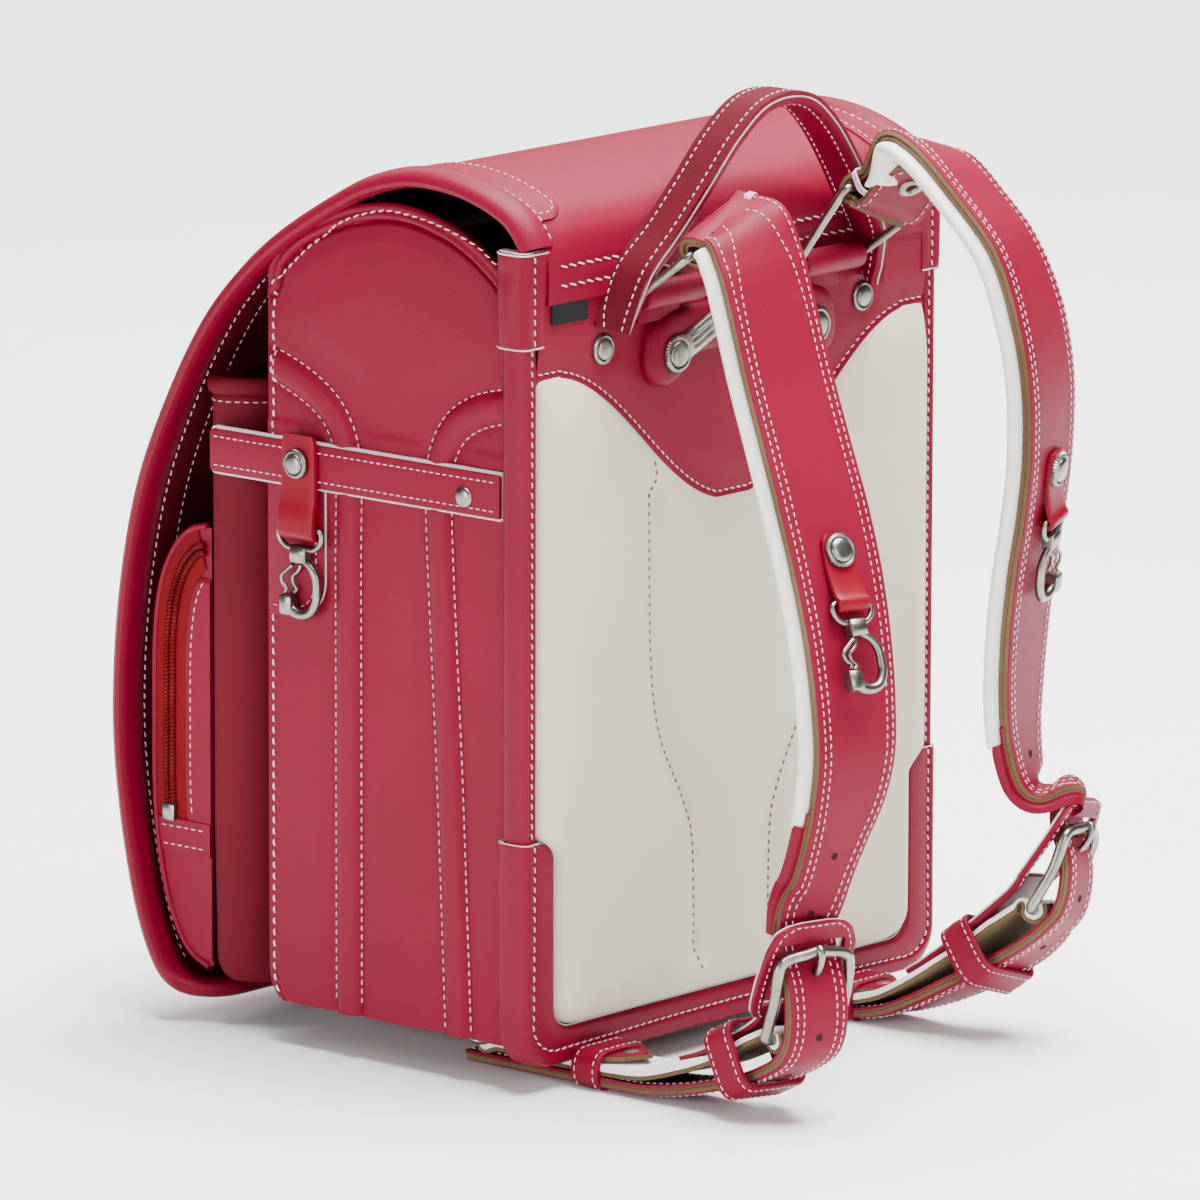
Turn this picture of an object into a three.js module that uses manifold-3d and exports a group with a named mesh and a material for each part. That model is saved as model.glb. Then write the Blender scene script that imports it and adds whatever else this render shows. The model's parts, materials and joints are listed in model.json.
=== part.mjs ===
// A school ransel: a stiff leather satchel worn on the back.
// Millimetres. X runs across the bag, +Y points at the wearer's back, +Z is up.
// Left and right are as seen by someone who faces the back panel, so left is +X.

import * as THREE from 'three';
import { mergeVertices } from 'three/addons/utils/BufferGeometryUtils.js';
import Module from 'manifold-3d';

const wasm = await Module();
wasm.setup();

// Driving dimensions of the body
const bodyWidth = 242; // across the gusset's flat side panels
const bagHeight = 363; // floor to the crown of the flap
const mainDepth = 139; // back panel to the front wall of the main compartment
const pouchDepth = 36; // main front wall to the pouch's front wall
const pocketDepth = 30; // pouch front wall to the pocket's front
const flapRoom = 15.4; // pocket front to the outside of the flap
const floorGap = 18; // floor to the underside of the body
const shellTopDrop = 13; // crown of the flap down to the top of the gusset's arch
const pouchTopDrop = 95; // crown of the flap down to the pouch's hem
const pocketTopDrop = 160; // crown of the flap down to the zip

// Leather, board and padding
const shellWall = 2.5;
const pouchWall = 2;
const pocketWall = 2;
const boardThick = 3.2;
const yokeThick = 1.8;
const cushionThick = 9;
const flapThick = 2.4;
const flapEndHeight = 12; // floor to the flap's tucked-under end
const flapCorner = 30; // radius of the flap's lower corners
const bindingWide = 14;
const bindingThick = 7;
const edgeWrap = 10; // how far the back binding folds round onto the side
const edgeThick = 6; // leather round the edge of the back panel
const sleeveHeight = 39;
const sleeveDrop = 63; // crown down to the bottom of the top sleeves
const guardHeight = 84;
const ribWide = 13;
const ribProud = 1.6;

// Yoke and cushion
const cushionBottom = 25; // floor to the bottom seam of the cushion
const yokeDrop = 78; // crown down to the yoke's shoulders
const yokeDip = 62; // shoulders down to the yoke's lowest point

// Side belts, loops and snap hooks
const beltWide = 18;
const beltThick = 3;
const beltHeight = 240; // floor to the middle of the side belts
const beltEndBack = 12; // back panel to the belt's rear end
const loopWide = 19;
const loopThick = 3;
const loopBack = 116; // back panel to the middle of the side loops
const patchHigh = 54;
const patchWide = 30;
const hookWire = 2.6;
const hookWide = 20;
const hookLong = 36;

// Handle
const handleSpan = 166; // between the two feet
const handleRise = 88; // feet to the top of the arch
const handleFootDrop = 60; // crown down to the feet
const handleWide = 19;
const handleThick = 5.5;
const rivetRadius = 6.2;

// Strap base, rings and shoulder straps
const ringSpacing = 98; // between the middles of the two strap rings
const tubeDrop = 48; // crown down to the tubes that hold the rings
const ringWire = 3.5;
const ringOut = 26; // from the tube out to the ring's upper bar
const ringRise = 27; // from the tube up to the middle of the ring's upper bar
const ringTilt = 22; // degrees that the upper bar leans, inner end high
const strapWide = 43;
const strapThick = 4.5;
const padWide = 48;
const padThick = 8;
const strapReach = 126.5; // furthest that the left strap stands out from the back
const tailWide = 27;
const buckleSpacing = 168; // between the middles of the two buckles
const buckleWire = 4.4;
const buckleTall = 33; // between the top and bottom bars
const tabWide = 43;
const tabThick = 2.5;
const lowerThick = 4.5;
const keeperThick = 1.5;
const keeperWide = 12;
const bottomRingWire = 3.2;
const studRadius = 7.2;

// Lock and tongue under the bag
const tongueWide = 60;
const tongueThick = 2.5;
const lockWide = 42;
const lockLong = 34;
const lockBack = 94; // back panel to the lock's rear face

const gap = 0.3; // clearance between pieces that touch
const half = bodyWidth / 2;
const flapDepth = mainDepth + pouchDepth + pocketDepth + flapRoom;
const flapBackFace = yokeThick + gap + flapThick + 0.1;
const edgeHalf = half + gap + edgeThick - 0.3; // half width over the edge binding
const flapHalf = edgeHalf; // the flap is as wide as the bound back
const degree = Math.PI / 180;

const leathers = {
  red: { color: 0xae4050, roughness: 0.48, metalness: 0 },
  binding: { color: 0xc83c5a, roughness: 0.42, metalness: 0 },
  dark: { color: 0x9c2f40, roughness: 0.55, metalness: 0 },
  cream: { color: 0xd6d0c7, roughness: 0.6, metalness: 0 },
  white: { color: 0xe8e6e0, roughness: 0.6, metalness: 0 },
  black: { color: 0x151515, roughness: 0.7, metalness: 0 },
  zip: { color: 0xaa1e28, roughness: 0.7, metalness: 0 },
  nickel: { color: 0xb9b6ae, roughness: 0.3, metalness: 1 },
};

const bag = new THREE.Group();

// Adds a named piece with its own material
function addPiece(name, geometry, finish, parent = bag) {
  geometry.computeVertexNormals();
  const mesh = new THREE.Mesh(geometry, new THREE.MeshStandardMaterial(leathers[finish]));
  mesh.name = name;
  parent.add(mesh);
  return mesh;
}

// A closed geometry as a solid that can be joined and cut
function solidOf(geometry) {
  let bare = geometry.index ? geometry.toNonIndexed() : geometry.clone();
  bare.deleteAttribute('normal');
  bare.deleteAttribute('uv');
  bare = mergeVertices(bare, 1e-4);
  return new wasm.Manifold(new wasm.Mesh({
    numProp: 3,
    vertProperties: new Float32Array(bare.attributes.position.array),
    triVerts: new Uint32Array(bare.index.array),
  }));
}

function geometryOf(solid) {
  const mesh = solid.getMesh();
  const geometry = new THREE.BufferGeometry();
  geometry.setAttribute('position', new THREE.BufferAttribute(new Float32Array(mesh.vertProperties), 3));
  geometry.setIndex(new THREE.BufferAttribute(new Uint32Array(mesh.triVerts), 1));
  return geometry.toNonIndexed();
}

const join = (...parts) => geometryOf(parts.map(solidOf).reduce((all, part) => all.add(part)));
const cut = (body, ...tools) => geometryOf(tools.map(solidOf).reduce((all, tool) => all.subtract(tool), solidOf(body)));
const keepInside = (body, room) => geometryOf(solidOf(body).intersect(solidOf(room)));

// A flat outline made thick along one axis.
// Normal x takes (y, z) outlines, normal y takes (x, z) outlines, normal z takes (x, y) outlines.
const planes = {
  x: new THREE.Matrix4().makeBasis(
    new THREE.Vector3(0, 1, 0),
    new THREE.Vector3(0, 0, 1),
    new THREE.Vector3(1, 0, 0),
  ),
  y: new THREE.Matrix4().makeBasis(
    new THREE.Vector3(1, 0, 0),
    new THREE.Vector3(0, 0, 1),
    new THREE.Vector3(0, -1, 0),
  ),
  z: new THREE.Matrix4(),
};

function slab(shape, normal, low, high, bevel = 0, curveSegments = 4) {
  const geometry = new THREE.ExtrudeGeometry(shape, {
    depth: high - low - 2 * bevel,
    bevelEnabled: bevel > 0,
    bevelThickness: bevel,
    bevelSize: bevel,
    bevelOffset: -bevel,
    bevelSegments: 1,
    curveSegments,
  });
  geometry.translate(0, 0, (normal === 'y' ? -high : low) + bevel);
  geometry.applyMatrix4(planes[normal]);
  return geometry;
}

const outline = (points) => new THREE.Shape(points.map(([a, b]) => new THREE.Vector2(a, b)));

function block(x0, x1, y0, y1, z0, z1) {
  const geometry = new THREE.BoxGeometry(x1 - x0, y1 - y0, z1 - z0);
  geometry.translate((x0 + x1) / 2, (y0 + y1) / 2, (z0 + z1) / 2);
  return geometry;
}

function roundedRect(x0, x1, y0, y1, radius) {
  const shape = new THREE.Shape();
  shape.moveTo(x0 + radius, y0);
  shape.lineTo(x1 - radius, y0);
  shape.absarc(x1 - radius, y0 + radius, radius, -Math.PI / 2, 0);
  shape.lineTo(x1, y1 - radius);
  shape.absarc(x1 - radius, y1 - radius, radius, 0, Math.PI / 2);
  shape.lineTo(x0 + radius, y1);
  shape.absarc(x0 + radius, y1 - radius, radius, Math.PI / 2, Math.PI);
  shape.lineTo(x0, y0 + radius);
  shape.absarc(x0 + radius, y0 + radius, radius, Math.PI, 1.5 * Math.PI);
  return shape;
}

// A closed skin over rings of points; every ring is convex and has the same number of points
function loft(rings, closed = false) {
  const count = rings[0].length;
  const faces = [];
  const spans = closed ? rings.length : rings.length - 1;
  for (let i = 0; i < spans; i += 1) {
    const a = i * count;
    const b = ((i + 1) % rings.length) * count;
    for (let j = 0; j < count; j += 1) {
      const k = (j + 1) % count;
      faces.push(a + j, a + k, b + k, a + j, b + k, b + j);
    }
  }
  if (!closed) {
    const last = (rings.length - 1) * count;
    for (let j = 1; j < count - 1; j += 1) {
      faces.push(0, j + 1, j, last, last + j, last + j + 1);
    }
  }
  const points = rings.flat();
  let volume = 0;
  for (let i = 0; i < faces.length; i += 3) {
    const [a, b, c] = [points[faces[i]], points[faces[i + 1]], points[faces[i + 2]]];
    volume += a.dot(new THREE.Vector3().crossVectors(b, c));
  }
  if (volume < 0) faces.reverse();
  const geometry = new THREE.BufferGeometry();
  const flat = points.flatMap((point) => [point.x, point.y, point.z]);
  geometry.setAttribute('position', new THREE.Float32BufferAttribute(flat, 3));
  geometry.setIndex(faces);
  return geometry;
}

// Cross-sections as (across, face) offsets
const bandSection = (wide, thick) => [
  [-wide / 2, -thick / 2],
  [wide / 2, -thick / 2],
  [wide / 2, thick / 2],
  [-wide / 2, thick / 2],
];

function padSection(wide, thick) {
  const edge = thick * 0.3;
  return [
    [-wide / 2 + edge, -thick / 2],
    [wide / 2 - edge, -thick / 2],
    [wide / 2, thick * 0.1],
    [wide / 2 - edge * 0.5, thick / 2],
    [-wide / 2 + edge * 0.5, thick / 2],
    [-wide / 2, thick * 0.1],
  ];
}

function roundSection(diameter, sides = 6) {
  const ring = [];
  for (let i = 0; i < sides; i += 1) {
    const angle = ((i + 0.5) / sides) * 2 * Math.PI;
    ring.push([Math.cos(angle) * diameter / 2, Math.sin(angle) * diameter / 2]);
  }
  return ring;
}

const ringAt = (frame, section) => section.map(([across, face]) => frame.at.clone()
  .addScaledVector(frame.across, across)
  .addScaledVector(frame.face, face));

// Frames along a run of rows {at, across, wide}: middle, direction, width direction and face
function framesAlong(rows, steps) {
  const curve = new THREE.CatmullRomCurve3(rows.map((row) => row.at), false, 'centripetal');
  const frames = [];
  for (let i = 0; i <= steps; i += 1) {
    const share = i / steps;
    const place = share * (rows.length - 1);
    const low = Math.min(Math.floor(place), rows.length - 2);
    const part = place - low;
    const along = curve.getTangent(share);
    const across = rows[low].across.clone().lerp(rows[low + 1].across, part);
    across.addScaledVector(along, -across.dot(along)).normalize();
    frames.push({
      at: curve.getPoint(share),
      along,
      across,
      face: new THREE.Vector3().crossVectors(along, across).normalize(),
      wide: THREE.MathUtils.lerp(rows[low].wide ?? 1, rows[low + 1].wide ?? 1, part),
      row: place,
    });
  }
  return frames;
}

// A wire of round section through points; closed wires join their ends
function wire(points, diameter, { closed = false, sides = 6, normal = null } = {}) {
  const rings = points.map((point, i) => {
    const before = points[closed ? (i + points.length - 1) % points.length : Math.max(i - 1, 0)];
    const after = points[closed ? (i + 1) % points.length : Math.min(i + 1, points.length - 1)];
    const along = after.clone().sub(before).normalize();
    const across = new THREE.Vector3().crossVectors(normal, along).normalize();
    const face = new THREE.Vector3().crossVectors(along, across).normalize();
    return ringAt({ at: point, across, face }, roundSection(diameter, sides));
  });
  return loft(rings, closed);
}

// A turned piece from a profile of (radius, height) pairs, set on a point along a direction
function turned(profile, at, direction, sides = 14) {
  const geometry = new THREE.LatheGeometry(profile.map(([r, h]) => new THREE.Vector2(r, h)), sides);
  const turn = new THREE.Quaternion().setFromUnitVectors(new THREE.Vector3(0, 1, 0), direction);
  geometry.applyQuaternion(turn);
  geometry.translate(at.x, at.y, at.z);
  return loftSafe(geometry);
}

// Lathe geometry repeats its seam and pole points, which are merged here
function loftSafe(geometry) {
  return geometryOf(solidOf(geometry));
}

const v = (x, y, z) => new THREE.Vector3(x, y, z);
const mirrored = (geometry) => {
  const other = geometry.index ? geometry.toNonIndexed() : geometry.clone();
  const position = other.attributes.position;
  for (let i = 0; i < position.count; i += 1) position.setX(i, -position.getX(i));
  for (let i = 0; i < position.count; i += 3) {
    const first = v(0, 0, 0).fromBufferAttribute(position, i + 1);
    const second = v(0, 0, 0).fromBufferAttribute(position, i + 2);
    position.setXYZ(i + 1, second.x, second.y, second.z);
    position.setXYZ(i + 2, first.x, first.y, first.z);
  }
  return other;
};

// Adds a piece on the left and its mirror image on the right
function addPair(name, geometry, finish) {
  addPiece(`${name}_left`, geometry, finish);
  addPiece(`${name}_right`, mirrored(geometry), finish);
}

// Flap profile, from its lower edge on the back panel, over the crown and down to its tucked end.
// deep is the share of the flap's depth from the back, up the share of its height above the end.
const flapRows = [
  { deep: 0, up: 0.869 },
  { deep: 0.001, up: 0.916 },
  { deep: 0.024, up: 0.951 },
  { deep: 0.072, up: 0.976 },
  { deep: 0.17, up: 0.996 },
  { deep: 0.28, up: 1 },
  { deep: 0.385, up: 0.984 },
  { deep: 0.482, up: 0.953 },
  { deep: 0.598, up: 0.907 },
  { deep: 0.687, up: 0.86 },
  { deep: 0.776, up: 0.796 },
  { deep: 0.865, up: 0.7 },
  { deep: 0.941, up: 0.587 },
  { deep: 0.985, up: 0.456 },
  { deep: 1, up: 0.322 },
  { deep: 0.986, up: 0.211 },
  { deep: 0.951, up: 0.103 },
  { deep: 0.91, up: 0.038 },
  { deep: 0.866, up: 0.008 },
  { deep: 0.82, up: 0 },
  { deep: 0.776, up: 0 },
];

const flapCurve = new THREE.SplineCurve(flapRows.map((row) => new THREE.Vector2(
  flapBackFace - row.deep * (flapBackFace + flapDepth),
  flapEndHeight + row.up * (bagHeight - flapEndHeight),
)));
const flapLength = flapCurve.getLength();

// A point over the flap: x across, run along the profile from the back, rise out of its outer face
function overFlap(x, run, rise) {
  const share = THREE.MathUtils.clamp(run / flapLength, 0, 1);
  const point = flapCurve.getPointAt(share);
  const along = flapCurve.getTangentAt(share);
  const extra = run - share * flapLength;
  return v(
    x,
    point.x + along.x * extra + along.y * rise,
    point.y + along.y * extra - along.x * rise,
  );
}

// The flap curves over from +Y to -Y, so its outward side lies to the right of its run
function flapHalfAt(run, corner, widest) {
  const left = flapLength - run;
  if (left >= corner) return widest;
  const reach = corner - left;
  return widest - corner + Math.sqrt(Math.max(corner * corner - reach * reach, 0));
}

// Room under the flap that the pockets and the gusset have to stay inside
function roomUnderFlap() {
  const inner = [];
  const steps = 40;
  for (let i = 0; i <= steps; i += 1) {
    const point = overFlap(0, (i / steps) * flapLength, -bindingThick / 2 - flapThick / 2 - 1);
    inner.push([point.y, point.z]);
  }
  const floor = flapEndHeight + flapThick + gap;
  inner.push([inner[inner.length - 1][0], floor]);
  inner.push([60, floor], [60, inner[0][1]]);
  return slab(outline(inner), 'x', -half * 2, half * 2);
}

const room = roomUnderFlap();

// Main compartment: gusset sides with arched tops and sewn ribs, front wall and bottom
const archRows = [
  { deep: 1, up: 0.885 },
  { deep: 0.975, up: 0.915 },
  { deep: 0.9, up: 0.945 },
  { deep: 0.8, up: 0.968 },
  { deep: 0.66, up: 0.99 },
  { deep: 0.5, up: 1 },
  { deep: 0.36, up: 0.994 },
  { deep: 0.22, up: 0.975 },
  { deep: 0.1, up: 0.945 },
  { deep: 0.02, up: 0.915 },
];

function shellOutline(inset) {
  const high = bagHeight - shellTopDrop - floorGap;
  const points = [[-boardThick - 2 * gap, floorGap + inset], [-mainDepth + inset, floorGap + inset]];
  archRows.forEach((row) => {
    const y = -boardThick - 2 * gap - row.deep * (mainDepth - boardThick - 2 * gap - inset);
    points.push([y, floorGap + row.up * high]);
  });
  return outline(points);
}

// Ribs run up the side and flare out to its front or rear edge above the belt
function ribOutline(middle, flare) {
  const top = beltHeight + 20;
  const edge = flare < 0 ? -mainDepth + 3 : -edgeWrap - 3;
  const reach = edge - middle;
  const low = floorGap + 1;
  const shape = new THREE.Shape();
  const a = ribWide / 2;
  const s = Math.sign(reach);
  shape.moveTo(middle - s * a, low);
  shape.lineTo(middle + s * a, low);
  shape.lineTo(middle + s * a, top - 6);
  shape.quadraticCurveTo(middle + s * (a + 1), top + 12, edge, top + 16);
  shape.lineTo(edge, top + 16 + ribWide);
  shape.quadraticCurveTo(middle - s * (a - 4), top + 24, middle - s * a, top - 6);
  return shape;
}

const ribMiddles = [
  { name: 'front', at: 0.685, flare: -1 },
  { name: 'rear', at: 0.3, flare: 1 },
];

function makeShell() {
  const body = slab(shellOutline(0), 'x', -half, half);
  const rimTop = bagHeight + 20;
  const hollow = slab(shellOutline(shellWall), 'x', -half + shellWall, half - shellWall);
  const mouth = block(
    -half + shellWall,
    half - shellWall,
    -mainDepth - 1,
    20,
    bagHeight - shellTopDrop - 55,
    rimTop,
  );
  const openBack = block(
    -half + shellWall,
    half - shellWall,
    -mainDepth + shellWall,
    20,
    floorGap + shellWall,
    rimTop,
  );
  const ribs = [];
  ribMiddles.forEach((rib) => {
    const shape = ribOutline(-mainDepth * rib.at, rib.flare);
    ribs.push(slab(shape, 'x', half - 1, half + ribProud, 0, 5));
  });
  const walls = cut(body, hollow, mouth, openBack);
  return keepInside(join(walls, ...ribs, ...ribs.map(mirrored)), room);
}

addPiece('main_shell', makeShell(), 'red');

// Front pouch: plan outline with folded sides, front wall leaning back at the top and bottom
const pouchBack = -mainDepth - gap;
const pouchFront = -mainDepth - pouchDepth;
const pouchHalf = half - 3;
const pouchTop = bagHeight - pouchTopDrop;
const pouchBottom = floorGap + 0.5;

function pouchPlan(inset) {
  const fold = 5;
  const middle = (pouchBack + pouchFront) / 2;
  const side = pouchHalf - inset;
  return outline([
    [-side, pouchFront + inset],
    [side, pouchFront + inset],
    [side - fold, middle],
    [side, pouchBack - inset],
    [-side, pouchBack - inset],
    [-side + fold, middle],
  ]);
}

function makePouch() {
  const lean = outline([
    [pouchBack + 1, pouchBottom - 1],
    [pouchFront + 8, pouchBottom - 1],
    [pouchFront + 1.5, pouchBottom + 75],
    [pouchFront, (pouchBottom + pouchTop) / 2],
    [pouchFront + 1, pouchTop + 1],
    [pouchBack + 1, pouchTop + 1],
  ]);
  const leanInner = outline([
    [pouchBack + 1, pouchBottom - 1],
    [pouchFront + 8 + pouchWall, pouchBottom - 1],
    [pouchFront + 1.5 + pouchWall, pouchBottom + 75],
    [pouchFront + pouchWall, (pouchBottom + pouchTop) / 2],
    [pouchFront + 1 + pouchWall, pouchTop + 2],
    [pouchBack + 1, pouchTop + 2],
  ]);
  const body = slab(pouchPlan(0), 'z', pouchBottom, pouchTop);
  const hollow = slab(pouchPlan(pouchWall), 'z', pouchBottom + pouchWall, pouchTop + 1);
  const outer = keepInside(body, slab(lean, 'x', -half, half));
  const inner = keepInside(hollow, slab(leanInner, 'x', -half, half));
  return keepInside(cut(outer, inner), room);
}

addPiece('front_pouch', makePouch(), 'dark');

// Zip pocket: a shallow case open towards the pouch, with its zip over the top and down the sides
const pocketBack = pouchFront - gap;
const pocketFront = pouchFront - pocketDepth;
const pocketTop = bagHeight - pocketTopDrop;
const pocketHalf = pouchHalf;
const pocketRows = [
  { deep: 0, up: 0.01 },
  { deep: 0, up: 1 },
  { deep: 0.38, up: 0.995 },
  { deep: 0.74, up: 0.95 },
  { deep: 0.95, up: 0.865 },
  { deep: 1, up: 0.6 },
  { deep: 0.97, up: 0.33 },
  { deep: 0.73, up: 0.14 },
  { deep: 0.36, up: 0.04 },
];
const pocketBottom = floorGap + 4;

function pocketOutline(inset) {
  const deep = pocketDepth - gap - inset;
  const high = pocketTop - pocketBottom - 2 * inset;
  return outline(pocketRows.map((row) => [
    pocketBack + (row.deep === 0 ? inset : 0) - row.deep * deep,
    pocketBottom + inset + row.up * high,
  ]));
}

function makePocket() {
  const body = slab(pocketOutline(0), 'x', -pocketHalf, pocketHalf);
  const hollow = slab(pocketOutline(pocketWall), 'x', -pocketHalf + pocketWall, pocketHalf - pocketWall);
  return keepInside(cut(body, hollow), room);
}

addPiece('zip_pocket', makePocket(), 'red');

const zipWide = 9;
const zipThick = 1.4;

function makeZipper() {
  const x0 = pocketHalf + gap;
  const low = pocketBottom + 0.34 * (pocketTop - pocketBottom);
  const line = [
    { deep: 0.58, up: 0 },
    { deep: 0.6, up: 0.35 },
    { deep: 0.5, up: 0.72 },
    { deep: 0.36, up: 0.9 },
  ];
  const points = line.map((row) => v(
    x0 + zipThick / 2,
    pocketBack - row.deep * pocketDepth,
    low + row.up * (pocketTop - low),
  ));
  points.push(v(x0 + zipThick / 2, pocketBack - 0.2 * pocketDepth, pocketTop + gap + zipThick));
  const rows = points.map((at) => ({ at, across: v(0, 1, 0) }));
  const side = loft(framesAlong(rows, 10).map((frame) => {
    const across = new THREE.Vector3().crossVectors(v(1, 0, 0), frame.along).normalize();
    return ringAt({ at: frame.at, across, face: v(1, 0, 0) }, bandSection(zipWide, zipThick));
  }));
  const top = block(
    -x0 - zipThick,
    x0 + zipThick,
    pocketBack - 0.2 * pocketDepth - zipWide / 2,
    pocketBack - 0.2 * pocketDepth + zipWide / 2,
    pocketTop + gap,
    pocketTop + gap + zipThick + 0.6,
  );
  const stop = block(
    x0,
    x0 + zipThick + 0.8,
    pocketBack - 0.58 * pocketDepth - 3,
    pocketBack - 0.58 * pocketDepth + 3,
    low - 3,
    low + 3,
  );
  return join(top, side, mirrored(side), stop, mirrored(stop));
}

addPiece('zipper', makeZipper(), 'zip');

// Flap: one long leather sheet with bound sides and rounded lower corners
const bindingInset = bindingWide + gap; // flap's edge inside its binding

function makeFlap() {
  const steps = 40;
  const rings = [];
  const corner = flapCorner - bindingInset;
  const length = flapLength - bindingInset;
  for (let i = 0; i <= steps; i += 1) {
    let run = (i / steps) * length;
    if (length - run < corner) {
      const turn = 1 - (length - run) / corner;
      run = length - corner * (1 - Math.sin((turn * Math.PI) / 2) * 0.999);
    }
    const across = flapHalfAt(run + bindingInset, corner, flapHalf - bindingInset);
    rings.push([
      overFlap(-across, run, 0),
      overFlap(across, run, 0),
      overFlap(across, run, -flapThick),
      overFlap(-across, run, -flapThick),
    ]);
  }
  return loft(rings);
}

addPiece('flap', makeFlap(), 'red');

// Binding round the flap's sides and end: a route over the flap, offset sideways from its edge
function bindingRoute(steps, cornerSteps) {
  const route = [];
  const inset = bindingWide / 2;
  const start = sleeveTopRun();
  const straight = flapLength - flapCorner;
  for (let i = 0; i <= steps; i += 1) {
    const run = start + ((straight - start) * i) / steps;
    route.push({ x: flapHalf - inset, run, outX: 1, outRun: 0 });
  }
  for (let i = 1; i <= cornerSteps; i += 1) {
    const angle = (i / cornerSteps) * (Math.PI / 2);
    const radius = flapCorner - inset;
    route.push({
      x: flapHalf - flapCorner + radius * Math.cos(angle),
      run: straight + radius * Math.sin(angle),
      outX: Math.cos(angle),
      outRun: Math.sin(angle),
    });
  }
  const other = route.map((stop) => ({ ...stop, x: -stop.x, outX: -stop.outX })).reverse();
  return route.concat(other);
}

// Where along the flap its side binding comes out of the back panel's top sleeves
function sleeveTopRun() {
  const top = bagHeight - sleeveDrop + sleeveHeight + bindingThick / 2;
  let run = 0;
  while (overFlap(0, run, 0).z < top && run < flapLength / 4) run += 0.5;
  return run + 1;
}

function makeFlapBinding() {
  const a = bindingWide / 2;
  const middle = -flapThick / 2;
  const b = bindingThick / 2;
  const section = [
    [-a, middle - b],
    [a - 3, middle - b],
    [a, middle],
    [a - 3, middle + b],
    [-a + 1, middle + b],
    [-a, middle + b * 0.6],
  ];
  const rings = bindingRoute(22, 4).map((stop) => section.map(([out, rise]) => overFlap(
    stop.x + stop.outX * out,
    stop.run + stop.outRun * out,
    rise,
  )));
  const tongueSlot = block(
    -tongueWide / 2 - gap,
    tongueWide / 2 + gap,
    -flapDepth,
    0,
    flapEndHeight + flapThick + gap,
    flapEndHeight + 40,
  );
  return cut(loft(rings), tongueSlot);
}

addPiece('flap_binding', makeFlapBinding(), 'binding');

// Tongue under the body, from the flap's end to the lock
const tongueTop = floorGap - gap;
const tongueBottom = tongueTop - tongueThick;

function makeTongue() {
  const start = overFlap(0, flapLength - 12, 0).y;
  return slab(
    roundedRect(-tongueWide / 2, tongueWide / 2, start, -lockBack + 6, 8),
    'z',
    tongueBottom,
    tongueTop,
  );
}

addPiece('flap_tongue', makeTongue(), 'red');

function makeLock() {
  const front = -lockBack - lockLong;
  const body = slab(roundedRect(-lockWide / 2, lockWide / 2, front, -lockBack, 5), 'z', 0, tongueBottom - gap, 1.5, 3);
  const slot = block(-lockWide / 4, lockWide / 4, front - 1, front + 3, 5, 8);
  return cut(body, slot);
}

addPiece('bottom_lock', makeLock(), 'nickel');

// Back board, yoke, cushion, edge binding and corner guard
const boardTop = bagHeight - 34;
const backHalf = half - gap;

function makeBoard() {
  return slab(roundedRect(-backHalf, backHalf, floorGap, boardTop, 8), 'y', -boardThick - gap, -gap);
}

addPiece('back_board', makeBoard(), 'red');

// Lower edge of the yoke: level shoulders, then an S-curve into a deep middle
function yokeEdge(share) {
  const x = Math.abs(share);
  const fall = x > 0.88 ? 0 : Math.cos(((x / 0.88) * 0.94 + 0.0) * Math.PI) * 0.5 + 0.5;
  return bagHeight - yokeDrop - yokeDip * Math.min(1, Math.max(0, fall * 1.02));
}

const innerHalf = half - 1.5; // cushion and yoke stop at the edge binding
const yokeTop = bagHeight - 36;

function makeYoke(low, high, drop, grow) {
  const points = [];
  const steps = 24;
  for (let i = 0; i <= steps; i += 1) {
    const share = -1 + (2 * i) / steps;
    points.push([share * innerHalf, yokeEdge(share)]);
  }
  points.push([innerHalf, yokeTop], [-innerHalf, yokeTop]);
  return slab(outline(points.map(([x, z]) => [x * grow, z - drop])), 'y', low, high);
}

addPiece('back_yoke', makeYoke(0, yokeThick, 0, 1), 'red');

// Sewn channels of the cushion: half widths of the middle channel, from its bottom to its top
const channelRows = [
  { up: 0, half: 0.2 },
  { up: 0.22, half: 0.2 },
  { up: 0.3, half: 0.24 },
  { up: 0.42, half: 0.38 },
  { up: 0.55, half: 0.42 },
  { up: 0.8, half: 0.43 },
  { up: 1, half: 0.45 },
];

function channelHalf(up) {
  const next = Math.max(1, channelRows.findIndex((row) => row.up >= up));
  const [low, high] = [channelRows[next - 1], channelRows[next]];
  return THREE.MathUtils.mapLinear(up, low.up, high.up, low.half, high.half) * innerHalf;
}

const guardInner = innerHalf - 9.5; // guard's inner edge on the back face

function cushionHalf(z) {
  const guardTop = floorGap + guardHeight;
  const full = innerHalf - gap;
  const narrow = guardInner - gap;
  if (z > guardTop + 8) return full;
  if (z > guardTop - 8) return THREE.MathUtils.mapLinear(z, guardTop - 8, guardTop + 8, narrow, full);
  if (z > cushionBottom + 10) return narrow;
  const reach = 10 - Math.max(0, z - cushionBottom);
  return narrow - 10 + Math.sqrt(Math.max(0, 100 - reach * reach));
}

// Height of the cushion over the board: lobes beside a lower channel, sewn down at the seams
function cushionHeight(column, up) {
  const edge = Math.min(1, Math.min(up, 1 - up) * 9);
  const ease = Math.sin((edge * Math.PI) / 2);
  return 1.2 + (cushionThick - 1.2) * column * ease;
}

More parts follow.
